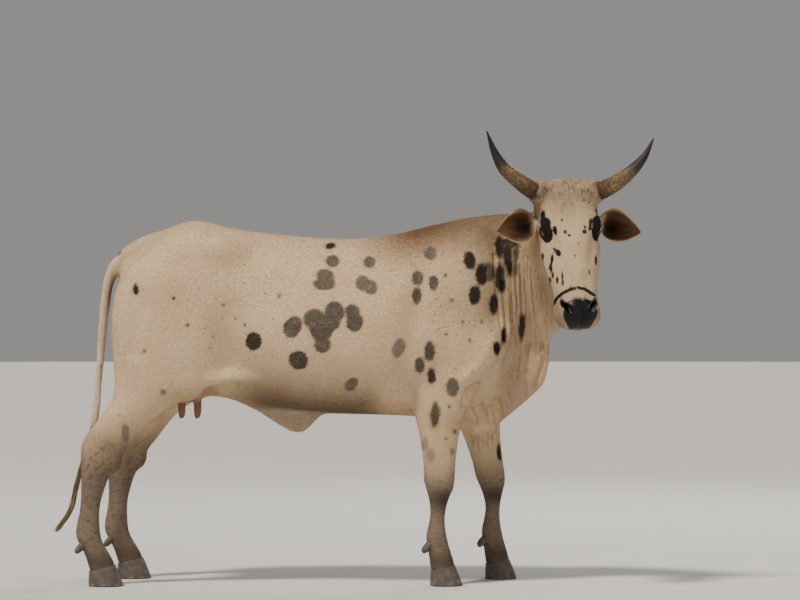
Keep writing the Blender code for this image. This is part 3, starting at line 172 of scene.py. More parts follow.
# %% Lines of the neck, the dewlap, the flap at the navel, the udder and the tail
NECK_X = [(0.0, 0.20), (0.3, 0.335), (0.55, 0.45), (0.8, 0.528), (1.0, 0.556)]
NECK_Y = [(0.0, 0.0), (0.3, -0.012), (0.55, -0.062), (0.8, -0.135), (1.0, -0.205)]
NECK_TOP = [(0.0, 1.255), (0.3, 1.270), (0.55, 1.276), (0.8, 1.300), (1.0, 1.342)]
NECK_LOW = [(0.0, 0.64), (0.3, 0.70), (0.55, 0.80), (0.8, 0.93), (1.0, 1.03)]
NECK_HALF = [(0.0, 0.20), (0.3, 0.158), (0.55, 0.122), (0.8, 0.104), (1.0, 0.100)]
DEWLAP_EDGE = {
    "x": [(0.0, 0.575), (0.12, 0.552), (0.2, 0.507), (0.32, 0.514), (0.45, 0.506), (0.58, 0.45),
          (0.7, 0.383), (0.82, 0.315), (0.91, 0.255), (1.0, 0.185)],
    "y": [(0.0, -0.205), (0.2, -0.135), (0.45, -0.075), (0.7, -0.025), (1.0, 0.0)],
    "z": [(0.0, 0.905), (0.12, 0.862), (0.2, 0.822), (0.32, 0.755), (0.45, 0.686), (0.58, 0.628),
          (0.7, 0.574), (0.82, 0.520), (0.91, 0.500), (1.0, 0.548)],
}
DEWLAP_ROOT = {
    "x": [(0.0, 0.56), (0.2, 0.48), (0.45, 0.40), (0.7, 0.28), (1.0, 0.15)],
    "y": [(0.0, -0.17), (0.2, -0.11), (0.45, -0.06), (0.7, -0.02), (1.0, 0.0)],
    "z": [(0.0, 1.06), (0.2, 0.97), (0.45, 0.85), (0.7, 0.72), (1.0, 0.63)],
}
DEWLAP_HALF = [(0.0, 0.034), (0.2, 0.030), (0.45, 0.036), (0.7, 0.056), (0.9, 0.062), (1.0, 0.045)]
FLAP_EDGE = [(-0.60, 0.632), (-0.50, 0.588), (-0.42, 0.537), (-0.375, 0.512), (-0.345, 0.508),
             (-0.315, 0.518), (-0.285, 0.556), (-0.24, 0.590)]
FLAP_HALF = [(-0.60, 0.020), (-0.42, 0.026), (-0.24, 0.024)]
TEATS = [(-0.698, 0.048), (-0.752, 0.042)]  # X and distance from the middle, front pair and hind pair
TEAT_TOP, TEAT_TIP, TEAT_RADIUS = 0.67, 0.558, 0.0135
TAIL_X = [(0.0, -0.800), (0.06, -0.868), (0.12, -0.930), (0.17, -0.972), (0.22, -0.998), (0.32, -1.018),
          (0.45, -1.030), (0.6, -1.044), (0.72, -1.060), (0.80, -1.088), (0.88, -1.116), (0.94, -1.134),
          (1.0, -1.182)]
TAIL_Z = [(0.0, 1.180), (0.06, 1.166), (0.12, 1.136), (0.17, 1.098), (0.22, 1.048), (0.32, 0.945),
          (0.45, 0.805), (0.6, 0.640), (0.72, 0.520), (0.80, 0.430), (0.88, 0.330), (0.94, 0.255),
          (1.0, 0.180)]
TAIL_RADIUS = [(0.0, 0.040), (0.08, 0.036), (0.15, 0.030), (0.22, 0.0235), (0.32, 0.0185), (0.45, 0.0155),
               (0.6, 0.0130), (0.72, 0.0120), (0.8, 0.0105), (0.95, 0.006)]
FLESH_END = 0.90  # where the tail's flesh ends inside the switch

# %% The head's own frame and its lines
POLL = Vector((0.560, -0.330, 1.3615))
FACE_PITCH, HEAD_TURN, HEAD_TILT = 67.0, 7.5, -2.4  # degrees: below level, to the side, and rolled
HEAD_ENDS = (-0.018, 0.491)
FACE_LINE = [(-0.045, -0.045), (-0.015, -0.010), (0.02, 0.006), (0.07, 0.012), (0.13, 0.010), (0.19, 0.002),
             (0.27, -0.010), (0.36, -0.021), (0.42, -0.027), (0.452, -0.034), (0.475, -0.050),
             (0.490, -0.074), (0.497, -0.092)]
JAW_LINE = [(-0.045, -0.15), (0.0, -0.195), (0.05, -0.225), (0.10, -0.232), (0.16, -0.220), (0.24, -0.197),
            (0.32, -0.176), (0.39, -0.163), (0.44, -0.155), (0.470, -0.143), (0.490, -0.120),
            (0.497, -0.106)]
HEAD_HALF = [(-0.045, 0.090), (0.0, 0.100), (0.05, 0.108), (0.10, 0.105), (0.16, 0.101), (0.22, 0.097),
             (0.261, 0.092), (0.313, 0.083), (0.363, 0.076), (0.40, 0.0745), (0.442, 0.0775),
             (0.466, 0.070), (0.484, 0.056), (0.491, 0.036)]
HEAD_WIDEST = [(-0.045, -0.085), (0.05, -0.075), (0.16, -0.085), (0.26, -0.098), (0.36, -0.100),
               (0.44, -0.096), (0.497, -0.099)]
FACE_POWER = [(-0.045, 3.2), (0.05, 2.9), (0.14, 2.7), (0.22, 2.1), (0.32, 1.9), (0.40, 2.2), (0.45, 2.6),
              (0.497, 2.4)]
JAW_POWER = [(-0.045, 2.0), (0.10, 1.9), (0.25, 1.8), (0.38, 2.2), (0.497, 2.3)]
HEAD_CUT = (0.763, 0.646, -0.059)  # the plane behind the head: shares of U and W, and their sum on it


def head_frame():
    """The matrix that carries the head's frame into the body's."""
    pitch = math.radians(FACE_PITCH)
    cos, sin = math.cos(pitch), math.sin(pitch)
    level = Matrix(((0, 1, 0), (-cos, 0, -sin), (-sin, 0, cos)))
    turn = Matrix.Rotation(math.radians(HEAD_TURN), 3, "Z") @ Matrix.Rotation(math.radians(HEAD_TILT), 3, "Y")
    return Matrix.Translation(POLL) @ (turn @ level).to_4x4()


HEAD = head_frame()
EYE, EYE_RADIUS = Vector((0.153, 0.0810, -0.055)), 0.0205
EYE_LOOK = Vector((0.22, 0.88, 0.32)).normalized()  # the way the left eye looks

# %% [markdown]
# ## Where the model stands
#
# The lines above have their own origin, below the withers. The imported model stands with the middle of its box
# over the origin. The difference is found, not typed: the right eyeball of the model is a ball, and the
# middle of its box is the place that the lines give for that eye.

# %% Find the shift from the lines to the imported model
eye_low, eye_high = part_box("eye_right")
SHIFT = (eye_low + eye_high) / 2 - HEAD @ Vector((EYE.x, RIGHT * EYE.y, EYE.z))
print("shift from the lines to the model:", [round(value, 4) for value in SHIFT])

# %% [markdown]
# ## The camera
#
# The photograph was taken from the cow's right, from far enough away that the near legs are hardly larger
# than the far ones. A long lens 11 metres away and level with the belly gives the same view. That level isn't
# in the middle of the picture, so the lens is shifted a little instead of tipped, which keeps the legs
# upright. The same numbers tell where a point of the model falls in the photograph, and the markings use
# that later.

# %% Set up the camera
PICTURE_WIDTH, PICTURE_HEIGHT = 800, 600
CAMERA_DISTANCE, CAMERA_LEVEL, LEVEL_ROW, PIXELS_PER_METRE = 11.0, 0.9, 321.0, 290.0
SENSOR = 36.0


def seen(points):
    """Column and row of the photograph where points of the model's own lines fall."""
    scale = PIXELS_PER_METRE * CAMERA_DISTANCE / (CAMERA_DISTANCE + points[:, 1])
    return PICTURE_WIDTH / 2 + points[:, 0] * scale, LEVEL_ROW - (points[:, 2] - CAMERA_LEVEL) * scale


def new_object(name, data):
    """A new object in the scene, with its data."""
    obj = bpy.data.objects.new(name, data)
    bpy.context.scene.collection.objects.link(obj)
    return obj


camera = new_object("camera", bpy.data.cameras.new("camera"))
bpy.context.scene.camera = camera
camera.location = SHIFT + Vector((0.0, -CAMERA_DISTANCE, CAMERA_LEVEL))
camera.rotation_euler = (math.radians(90), 0.0, 0.0)
camera.data.sensor_width = SENSOR
camera.data.lens = SENSOR * PIXELS_PER_METRE * CAMERA_DISTANCE / PICTURE_WIDTH
camera.data.shift_y = (LEVEL_ROW - PICTURE_HEIGHT / 2) / PICTURE_WIDTH
print("lens in mm:", round(camera.data.lens, 1))

# %% [markdown]
# ## Lofts, tubes and balls
#
# The body is first built as overlapping masses: lofts through rows of rounded sections, tubes along a line,
# and balls for bones and muscles that stand out. A section is a superellipse. Its power makes it fuller or
# more pointed, which is how one function gives a round barrel, a keeled brisket and a boxy muzzle.

# %% Make the masses' shapes
def oval(centre, side, up, half, above, below, top_power=2.0, low_power=2.0, count=36):
    """A closed section, half wide to each side, above and below its centre; higher powers make it fuller."""
    points = []
    for i in range(count):
        angle = 2 * math.pi * i / count
        across, rise = math.cos(angle), math.sin(angle)
        power = 2.0 / (top_power if rise >= 0 else low_power)
        reach = above if rise >= 0 else below
        points.append(centre + side * (half * math.copysign(abs(across) ** power, across))
                      + up * (reach * math.copysign(abs(rise) ** power, rise)))
    return points


def add_loft(bm, rings):
    """One closed skin through a row of sections, with flat ends."""
    rows = [[bm.verts.new(p) for p in ring] for ring in rings]
    count = len(rows[0])
    faces = [bm.faces.new(rows[0][::-1]), bm.faces.new(rows[-1])]
    for low, high in zip(rows, rows[1:]):
        for i in range(count):
            j = (i + 1) % count
            faces.append(bm.faces.new((low[i], low[j], high[j], high[i])))
    bmesh.ops.recalc_face_normals(bm, faces=faces)


def add_tube(bm, points, radii, count=16):
    """A closed round tube along points, whose sections turn with it and never twist."""
    rings, side = [], None
    for i, point in enumerate(points):
        ahead = (points[min(i + 1, len(points) - 1)] - points[max(i - 1, 0)]).normalized()
        if side is None:
            side = ahead.orthogonal()
        side = (side - ahead * side.dot(ahead)).normalized()
        rings.append(oval(point, side, side.cross(ahead), radii[i], radii[i], radii[i], count=count))
    add_loft(bm, rings)


def add_ball(bm, centre, radii, turn=(0, 0, 0), frame_of=None, count=24):
    """An ellipsoid; turn is in degrees about X, Y and Z, and frame_of places it in another frame."""
    place = Matrix.Translation(centre)
    for angle, axis in zip(turn, "XYZ"):
        place = place @ Matrix.Rotation(math.radians(angle), 4, axis)
    place = (frame_of or Matrix.Identity(4)) @ place @ Matrix.Diagonal((*radii, 1.0))
    bmesh.ops.create_uvsphere(bm, u_segments=count, v_segments=count * 2 // 3, radius=1.0, matrix=place)

# %% [markdown]
# ## Masses of the body
#
# Each function below makes the masses of one part. They run into each other on purpose, because the next
# step fuses them.

# %% Trunk, legs and joints
def add_trunk(bm):
    """The barrel from the pin bones to the front of the chest, with its bony points and the shoulders."""
    across, up = Vector((0, 1, 0)), Vector((0, 0, 1))
    rings = []
    for x in steps(*TRUNK_ENDS, 34):
        middle = along(TRUNK_WIDEST, x)
        above, below = along(TOPLINE, x) - middle, middle - along(BELLY, x)
        rings.append(oval(Vector((x, 0, middle)), across, up, along(TRUNK_HALF, x), above, below,
                          along(TRUNK_TOP_POWER, x), low_power=2.1, count=48))
    add_loft(bm, rings)
    for side in (RIGHT, LEFT):
        step = along(FORE["step"], 0.66) if side == LEFT else 0.0
        add_ball(bm, (-0.575, side * 0.163, 1.110), (0.125, 0.052, 0.080), (0, 20, -side * 12))  # hook bone
        add_ball(bm, (-0.915, side * 0.086, 1.075), (0.052, 0.045, 0.055))  # pin bone
        add_ball(bm, (-0.80, side * 0.150, 0.985), (0.16, 0.075, 0.16))  # rump muscle
        add_ball(bm, (0.235, side * 0.090, 1.050), (0.115, 0.080, 0.19), (0, 16, 0))  # shoulder blade
        add_ball(bm, (0.155 + step * 0.6, side * 0.150, 0.80), (0.15, 0.075, 0.19), (0, -12, 0))  # upper arm
        add_ball(bm, (0.275 + step * 0.4, side * 0.135, 0.815), (0.09, 0.072, 0.12), (0, 20, 0))  # its point


def add_leg(bm, side, leg, top):
    """One leg from inside its claws up into the body; its step carries the left leg forward."""
    ahead, outward = Vector((1, 0, 0)), Vector((0, side, 0))
    rings = []
    for z in steps(LEG_FOOT, top, LEG_ROWS):
        shift = along(leg["step"], z) if side == LEFT else 0.0
        low, high = along(leg["back"], z) + shift, along(leg["front"], z) + shift
        centre = Vector(((low + high) / 2, side * along(leg["out"], z), z))
        wide = along(leg["half"], z)
        rings.append(oval(centre, ahead, outward, (high - low) / 2, wide, wide, top_power=2.2, low_power=2.2,
                          count=28))
    add_loft(bm, rings)


def add_joints(bm):
    """The knees, hocks, stifles and the web of skin from each stifle to the belly."""
    for side in (RIGHT, LEFT):
        fore = along(FORE["step"], 0.35) if side == LEFT else 0.0
        hind = along(HIND["step"], 0.45) if side == LEFT else 0.0
        add_ball(bm, (0.148 + fore, side * 0.150, 0.345), (0.040, 0.046, 0.045))  # knee
        add_ball(bm, (0.098 + fore, side * 0.150, 0.365), (0.022, 0.026, 0.028))  # bone behind the knee
        add_ball(bm, (-1.060 + hind, side * 0.160, 0.478), (0.026, 0.024, 0.040), (0, 14, 0))  # point of hock
        add_ball(bm, (-0.985 + hind, side * 0.160, 0.425), (0.044, 0.044, 0.048))  # hock
        add_ball(bm, (-0.74 + hind * 0.4, side * 0.178, 0.705), (0.085, 0.052, 0.080), (0, 35, 0))  # stifle
        points = [Vector((x, side * y, z)) for x, y, z in
                  ((-0.78, 0.180, 0.658), (-0.70, 0.190, 0.690), (-0.60, 0.188, 0.708), (-0.50, 0.180, 0.705),
                   (-0.40, 0.165, 0.680), (-0.30, 0.145, 0.65))]
        add_tube(bm, points, (0.020, 0.024, 0.026, 0.026, 0.024, 0.02), count=14)

# %% Neck, dewlap, flap, udder and tail
def add_neck(bm):
    """The neck, bent to the cow's right, from inside the chest to inside the head."""
    rings = []
    up, reach = Vector((0, 0, 1)), 0.02
    for s in steps(0.0, 1.0, 18):
        ahead_x, ahead_y = (along(line, s + reach) - along(line, s - reach) for line in (NECK_X, NECK_Y))
        side = Vector((-ahead_y, ahead_x, 0)).normalized()
        top, low = along(NECK_TOP, s), along(NECK_LOW, s)
        middle = low + (top - low) * 0.52
        centre = Vector((along(NECK_X, s), along(NECK_Y, s), middle))
        rings.append(oval(centre, side, up, along(NECK_HALF, s), top - middle, middle - low,
                          top_power=1.75, low_power=1.9, count=40))
    add_loft(bm, rings)


def add_dewlap(bm):
    """The hanging sheet of skin from the throat to the brisket."""
    rings = []
    for s in steps(0.0, 1.0, 26):
        edge, root = spot(DEWLAP_EDGE, s), spot(DEWLAP_ROOT, s)
        up = (root - edge).normalized()
        ahead = spot(DEWLAP_EDGE, min(s + 0.04, 1.0)) - spot(DEWLAP_EDGE, max(s - 0.04, 0.0))
        ahead.z = 0
        side = ahead.cross(Vector((0, 0, 1))).normalized()
        middle = edge.lerp(root, 0.62)
        above, below = (root - middle).length, (middle - edge).length
        rings.append(oval(middle, side, up, along(DEWLAP_HALF, s), above, below, low_power=1.35, count=28))
    add_loft(bm, rings)


def add_navel_flap(bm):
    """The thin flap of skin that hangs under the navel."""
    rings = []
    across, up, rise = Vector((0, 1, 0)), Vector((0, 0, 1)), 0.03
    for x in steps(FLAP_EDGE[0][0], FLAP_EDGE[-1][0], 18):
        centre = Vector((x, 0, along(BELLY, x) + rise / 2))
        below = centre.z - along(FLAP_EDGE, x)
        rings.append(oval(centre, across, up, along(FLAP_HALF, x), rise, below, low_power=1.3, count=24))
    add_loft(bm, rings)


def add_udder(bm):
    """The small udder with its four teats."""
    add_ball(bm, (-0.735, 0.0, 0.695), (0.105, 0.098, 0.078), (0, -8, 0))
    for x, out in TEATS:
        for side in (RIGHT, LEFT):
            top, tip = Vector((x, side * out, TEAT_TOP)), Vector((x, side * out * 1.1, TEAT_TIP))
            points = [top.lerp(tip, t) for t in steps(0, 1, 9)]
            radii = [TEAT_RADIUS * r for r in (1.5, 1.4, 1.25, 1.1, 1.0, 1.0, 0.98, 0.9, 0.55)]
            add_tube(bm, points, radii, count=14)


def tail_point(s):
    """A point on the tail's middle line, from 0 at its root to 1 at its end."""
    return Vector((along(TAIL_X, s), 0.0, along(TAIL_Z, s)))


def add_tail(bm):
    """The tail's flesh down into its switch, and the vulva below its root."""
    places = steps(0.0, FLESH_END, 40)
    add_tube(bm, [tail_point(s) for s in places], [along(TAIL_RADIUS, s) for s in places], count=18)
    add_ball(bm, (-0.955, 0, 0.985), (0.020, 0.028, 0.062), (0, 4, 0))

# %% The horns' lines, and the head
HORN_LINES = {
    RIGHT: {"x": [(0.0, 0.487), (0.2, 0.446), (0.4, 0.392), (0.6, 0.345), (0.8, 0.313), (1.0, 0.289)],
            "y": [(0.0, -0.318), (0.3, -0.345), (0.6, -0.372), (1.0, -0.365)],
            "z": [(0.0, 1.318), (0.2, 1.336), (0.4, 1.372), (0.6, 1.412), (0.8, 1.468), (1.0, 1.534)]},
    LEFT: {"x": [(0.0, 0.634), (0.2, 0.672), (0.4, 0.723), (0.6, 0.772), (0.8, 0.815), (1.0, 0.847)],
           "y": [(0.0, -0.318), (0.3, -0.340), (0.6, -0.362), (1.0, -0.350)],
           "z": [(0.0, 1.322), (0.2, 1.336), (0.4, 1.362), (0.6, 1.400), (0.8, 1.448), (1.0, 1.510)]},
}
HORN_RADIUS = [(0.0, 0.0315), (0.2, 0.0310), (0.4, 0.0275), (0.6, 0.0215), (0.8, 0.0125), (0.95, 0.0045),
               (1.0, 0.002)]
LID_RADIUS = 0.0242


def add_head(bm):
    """The skull and jaw in the head's own frame, with brows, cheeks, lids, muzzle and chin."""
    across, up, level = Vector((0, 1, 0)), Vector((0, 0, 1)), (0, 0, 0)
    rings = []
    for u in steps(*HEAD_ENDS, 40):
        middle = along(HEAD_WIDEST, u)
        above, below = along(FACE_LINE, u) - middle, middle - along(JAW_LINE, u)
        ring = oval(Vector((u, 0, middle)), across, up, along(HEAD_HALF, u), above, below,
                    along(FACE_POWER, u), along(JAW_POWER, u), count=48)
        rings.append([HEAD @ p for p in ring])
    add_loft(bm, rings)
    add_ball(bm, (0.020, 0, -0.031), (0.045, 0.094, 0.034), level, HEAD)  # crest of the poll
    add_ball(bm, (0.436, 0, -0.138), (0.044, 0.046, 0.024), level, HEAD)  # lower lip and chin
    for sign in (RIGHT, LEFT):
        add_ball(bm, (0.034, sign * 0.082, -0.034), (0.034,) * 3, level, HEAD)  # seat of the horn
        root, out = (spot(HORN_LINES[sign], s) for s in (0.0, 0.19))
        core = [root.lerp(out, s) for s in (-1.0, 0.0, 0.5, 1.0)]
        add_tube(bm, core, (0.046, 0.043, 0.0405, 0.0360), count=24)
        add_ball(bm, (0.098, sign * 0.084, -0.094), (0.032, 0.022, 0.030), level, HEAD)  # seat of the ear
        add_ball(bm, (EYE.x - 0.020, sign * 0.078, -0.034), (0.042, 0.026, 0.022), (0, 10, sign * 8), HEAD)
        add_ball(bm, (EYE.x, sign * 0.070, -0.058), (0.040, 0.032, 0.032), level, HEAD)  # orbit
        add_ball(bm, (EYE.x, sign * EYE.y, EYE.z), (LID_RADIUS,) * 3, level, HEAD)  # lids, still closed
        add_ball(bm, (0.115, sign * 0.062, -0.150), (0.085, 0.036, 0.070), (0, -18, 0), HEAD)  # cheek muscle
        add_ball(bm, (0.250, sign * 0.064, -0.084), (0.085, 0.024, 0.020), (0, 2, sign * -10), HEAD)  # bone
        add_ball(bm, (0.442, sign * 0.042, -0.064), (0.034, 0.030, 0.032), level, HEAD)  # nostril's wing
        add_ball(bm, (0.420, sign * 0.044, -0.104), (0.060, 0.034, 0.030), level, HEAD)  # upper lip

# %% [markdown]
# ## One skin over all
#
# A voxel remesh turns the overlapping masses into a single closed surface, as skin covers muscle and bone.
# The alternative, joining the masses with Booleans, would leave a crease at every join and uneven faces.
# The remesh gives even quads of 4.6 mm, fine enough to carve folds in. The lids and the nostrils need finer
# ones, and get them in a later step.

# %% Fuse the masses
SKIN_VOXEL = 0.0046


def plain_mesh(obj):
    """The mesh that an object's modifiers make of it; the modifiers go."""
    bpy.context.view_layer.update()
    mesh = bpy.data.meshes.new_from_object(obj.evaluated_get(bpy.context.evaluated_depsgraph_get()))
    obj.modifiers.clear()
    return mesh


def new_piece(name, bm):
    """A new object from a bmesh, still in the frame of the lines."""
    mesh = bpy.data.meshes.new(name)
    bm.to_mesh(mesh)
    bm.free()
    return new_object(name, mesh)


masses = bmesh.new()
add_trunk(masses)
for side in (RIGHT, LEFT):
    add_leg(masses, side, FORE, FORE_TOP)
    add_leg(masses, side, HIND, HIND_TOP)
for add_mass in (add_joints, add_neck, add_dewlap, add_navel_flap, add_udder, add_tail, add_head):
    add_mass(masses)
skin = new_piece("skin", masses)
fuse = skin.modifiers.new("fuse", "REMESH")
fuse.mode = "VOXEL"
fuse.voxel_size = SKIN_VOXEL
skin.data = plain_mesh(skin)
print("faces of the fused skin:", len(skin.data.polygons))

# %% [markdown]
# ## Relaxing and carving
#
# The fused skin shows where each mass ended. Drawing every corner towards the mean of its neighbours melts
# those joins, more on the trunk than on the head. Then strokes carve the surface, as a thumb and a modelling
# tool would: each has a path, a width and a height, and moves the skin along its normals. This is done on
# arrays of all the corners at once, so hundreds of strokes take seconds.

# %% Tools that move the skin
def read_all(items, name, width=1, kind=float):
    """A number, or a row of width numbers, from every item of a mesh."""
    values = np.empty(len(items) * width, kind)
    items.foreach_get(name, values)
    return values.reshape(-1, width) if width > 1 else values


def read_points(mesh):
    """The place of every corner."""
    return read_all(mesh.vertices, "co", 3)


def read_normals(mesh):
    """The outward direction at every corner."""
    return read_all(mesh.vertices, "normal", 3)


def write_points(mesh, points):
    """Moves every corner to its new place."""
    mesh.vertices.foreach_set("co", points.ravel())
    mesh.update()


def in_head(points):
    """Points carried from the body's frame into the head's."""
    inverse = np.array(HEAD.inverted())
    return points @ inverse[:3, :3].T + inverse[:3, 3]


def head_share(points):
    """1 on the head, falling to 0 a little behind the poll and the jaw."""
    u, v, w = in_head(points).T
    behind = ramp(u * HEAD_CUT[0] + w * HEAD_CUT[1] - HEAD_CUT[2], -0.05, 0.02)
    below = ramp(w + 0.245 - 0.2 * (u - 0.13), -0.03, 0.01)
    return behind * below * ramp(-abs(v), -0.20, -0.16) * ramp(u, -0.12, -0.06)


def relax(mesh, weight, rounds):
    """Draws each corner towards the mean of its neighbours, by its weight."""
    points = read_points(mesh)
    a, b = read_all(mesh.edges, "vertices", 2, int).T
    count = len(points)
    degree = np.maximum(np.bincount(a, minlength=count) + np.bincount(b, minlength=count), 1)
    for _ in range(rounds):
        for axis in range(3):
            line = points[:, axis]
            total = np.bincount(a, line[b], count) + np.bincount(b, line[a], count)
            points[:, axis] += weight * (total / degree - line)
    write_points(mesh, points)


def distance(points, path):
    """How far each point is from a path, in as many dimensions as both have."""
    best = np.full(len(points), np.inf)
    path = np.array(path, float)
    for start, end in zip(path, path[1:]):
        run = end - start
        t = np.clip((points - start) @ run / max(run @ run, 1e-12), 0, 1)
        best = np.minimum(best, ((points - start - t[:, None] * run) ** 2).sum(axis=1))
    return np.sqrt(best)


def strokes(points, forms, weight):
    """How far a list of strokes moves each point: the sum of bell curves round their paths."""
    move = np.zeros(len(points))
    live = np.nonzero(weight > 0.01)[0]
    near = points[live]
    for path, radius, height in forms:
        move[live] += height * np.exp(-(distance(near, path) / radius) ** 2)
    return move * weight

# %% Melt the joins
BODY_ROUNDS, HEAD_ROUNDS = 60, 14  # fine faces need more rounds than the coarser solids
points = read_points(skin.data)
x, y, z = points.T
trunk = ramp(z, 0.56, 0.74)
udder_part = ramp(-z, -0.69, -0.66) * ramp(x, -0.90, -0.86) * ramp(-x, 0.60, 0.64)
tail_part = ramp(-x, 0.985, 1.0) * ramp(-abs(y), -0.06, -0.05) * ramp(z, 0.2, 0.25)
weight = (0.25 + 0.4 * trunk) * (1 - head_share(points)) * (1 - 0.9 * udder_part)
relax(skin.data, weight * (1 - 0.9 * tail_part), BODY_ROUNDS)
relax(skin.data, 0.5 * (1 - 0.8 * tail_part), HEAD_ROUNDS)
print("rounds of melting:", BODY_ROUNDS, "on the body and", HEAD_ROUNDS, "everywhere")

# %% Press in the hollows and raise the bones
# Each form is a path in X and Z, how wide it is, and how far it stands out
BODY_FORMS = [
    ([(-0.49, 1.06), (-0.45, 0.98)], 0.085, -0.012),  # hollow in front of the hook bone
    ([(-0.70, 1.12), (-0.83, 1.09)], 0.055, -0.012),  # between hook and pin bone
    ([(-0.57, 0.92), (-0.60, 0.78)], 0.060, -0.012),  # in front of the thigh
    ([(-0.885, 0.98), (-0.90, 0.80)], 0.028, -0.008),  # between the two muscles of the thigh
    ([(0.205, 1.18), (0.275, 0.95)], 0.028, 0.006),  # spine of the shoulder blade
    ([(0.105, 1.12), (0.050, 0.88), (0.020, 0.68)], 0.050, -0.014),  # behind the shoulder
    ([(0.365, 1.18), (0.335, 0.95), (0.325, 0.86)], 0.030, -0.010),  # in front of the shoulder
    ([(0.17, 0.93), (0.26, 0.86)], 0.035, -0.006),  # between shoulder blade and upper arm
    ([(0.035, 0.66), (0.06, 0.60)], 0.022, -0.006),  # behind the elbow
    ([(-1.045, 0.56), (-1.02, 0.64)], 0.020, 0.006),  # tendon above the hock
    ([(-1.02, 0.57), (-0.985, 0.64)], 0.018, -0.006),  # hollow in front of that tendon
]
VULVA_FORM = ([(-0.985, 0, 1.02), (-0.985, 0, 0.95)], 0.024, 0.013)


def push(mesh, move):
    """Moves each corner along its normal."""
    write_points(mesh, read_points(mesh) + read_normals(mesh) * move[:, None])


points, normals = read_points(skin.data), read_normals(skin.data)
on_side = ramp(abs(normals[:, 1]), 0.15, 0.5) * (1 - head_share(points))
push(skin.data, strokes(points[:, [0, 2]], BODY_FORMS, on_side))
points, normals = read_points(skin.data), read_normals(skin.data)
facing_back = ramp(-normals[:, 0], 0.2, 0.7)
push(skin.data, strokes(points, [VULVA_FORM], facing_back))
print("forms on the body:", len(BODY_FORMS))

# %% [markdown]
# ## The spots' places
#
# The spots are ellipses, some of them overlapping, given where they lie in the picture for the near side and
# in metres for the far side, which is made up to match. The black patch round the right eye serves the left
# one too, mirrored. The lists come before the skin is thinned, because the skin has to keep its fine faces
# where a spot has its edge.

# %% List the spots
PIXEL = 1.0 / PIXELS_PER_METRE


def in_picture(points):
    """Where points fall in the picture, measured in metres."""
    column, row = seen(points)
    return np.stack([column * PIXEL, row * PIXEL], axis=1)


NEAR_SPOTS = [  # column and row of the middle, width and height in pixels, lean in degrees, darkness
    (331, 246, 11, 7, -10, 0.90), (333, 261, 15, 12, 0, 0.66), (326, 276, 19, 14, 20, 0.64),
    (325, 284, 22, 13, 0, 0.64), (370, 262, 12, 12, 0, 0.64), (363, 283, 14, 16, 0, 0.62),
    (371, 287, 14, 15, 0, 0.60), (315, 319, 22, 21, 0, 0.67), (335, 312, 20, 22, 0, 0.68),
    (331, 322, 20, 18, 0, 0.68), (322, 331, 23, 20, 0, 0.70), (323, 345, 17, 16, 0, 0.68),
    (353, 312, 15, 16, 0, 0.68), (355, 322, 17, 20, 0, 0.70), (293, 327, 18, 23, 28, 0.68),
    (254, 341, 16, 19, 0, 0.81), (299, 360, 20, 19, 15, 0.74), (352, 384, 16, 11, -38, 0.60),
    (399, 348, 12, 20, 20, 0.50),
    (431, 253, 13, 14, 0, 0.58), (418, 278, 12, 15, 0, 0.64), (434, 283, 10, 16, 0, 0.70),
    (417, 296, 10, 17, 0, 0.70), (470, 260, 12, 19, -8, 0.86), (482, 274, 12, 23, 0, 0.88),
    (490, 272, 10, 19, 0, 0.66), (475, 295, 12, 20, 5, 0.86), (494, 304, 9, 21, 0, 0.84),
    (500.2, 277, 10, 26, 4, 0.84), (500, 247, 8, 24, 0, 0.84), (508.5, 243, 22, 9, 0, 0.80),
    (508.1, 256, 9, 29, 0, 0.88), (510, 268, 4.5, 16, 0, 0.95), (516.6, 250, 6, 14, 0, 0.72),
    (515.6, 267, 5, 20, 0, 0.66), (503, 285, 6, 14, 0, 0.86), (522, 326, 7, 29, 4, 0.80),
    (504, 335, 6, 17, 0, 0.97), (497, 348, 7, 14, 0, 0.97), (430, 351, 11, 20, 0, 0.70),
    (420, 365, 10, 17, 0, 0.68), (432, 376, 9, 16, 0, 0.82), (453, 387, 13, 19, 0, 0.64),
    (436, 414, 10, 25, 0, 0.68), (425, 444, 7, 12, 0, 0.35), (431, 455, 9, 13, 0, 0.35),
    (136, 289, 6, 12, 0, 0.88), (165, 391, 6, 6, 0, 0.55), (126, 432, 8, 18, 0, 0.50),
    (135, 236, 9, 7, -30, 0.86), (119, 250, 6, 11, 20, 0.86), (224, 305, 3, 3, 0, 0.6),
    (236, 318, 3, 3, 0, 0.6), (245, 325, 3, 4, 0, 0.8), (174, 298, 4, 4, 0, 0.7), (188, 325, 4, 5, 0, 0.7),
    (145, 351, 4, 5, 0, 0.6), (446, 275, 3, 4, 0, 0.6), (452, 300, 3, 3, 0, 0.6), (463, 322, 3, 4, 0, 0.6),
    (447, 334, 3, 3, 0, 0.6), (482, 322, 3, 5, 0, 0.6), (470, 340, 3, 4, 0, 0.6), (392, 270, 3, 3, 0, 0.5),
    (280, 296, 3, 3, 0, 0.6), (449.5, 407, 3.5, 5, 0, 0.62), (455, 431, 4, 5, 0, 0.62),
    (446, 438, 4, 3.5, 0, 0.55), (452, 451, 5, 7, 0, 0.45),
]
EYE_PATCH = [  # round the right eye, and mirrored round the left one
    (542.0, 217, 6, 14, 14, 1.0), (545.5, 225, 10, 15, -10, 1.0), (546.5, 234, 13, 18, 0, 1.0),
    (548.5, 222, 5, 8, -30, 1.0),
]
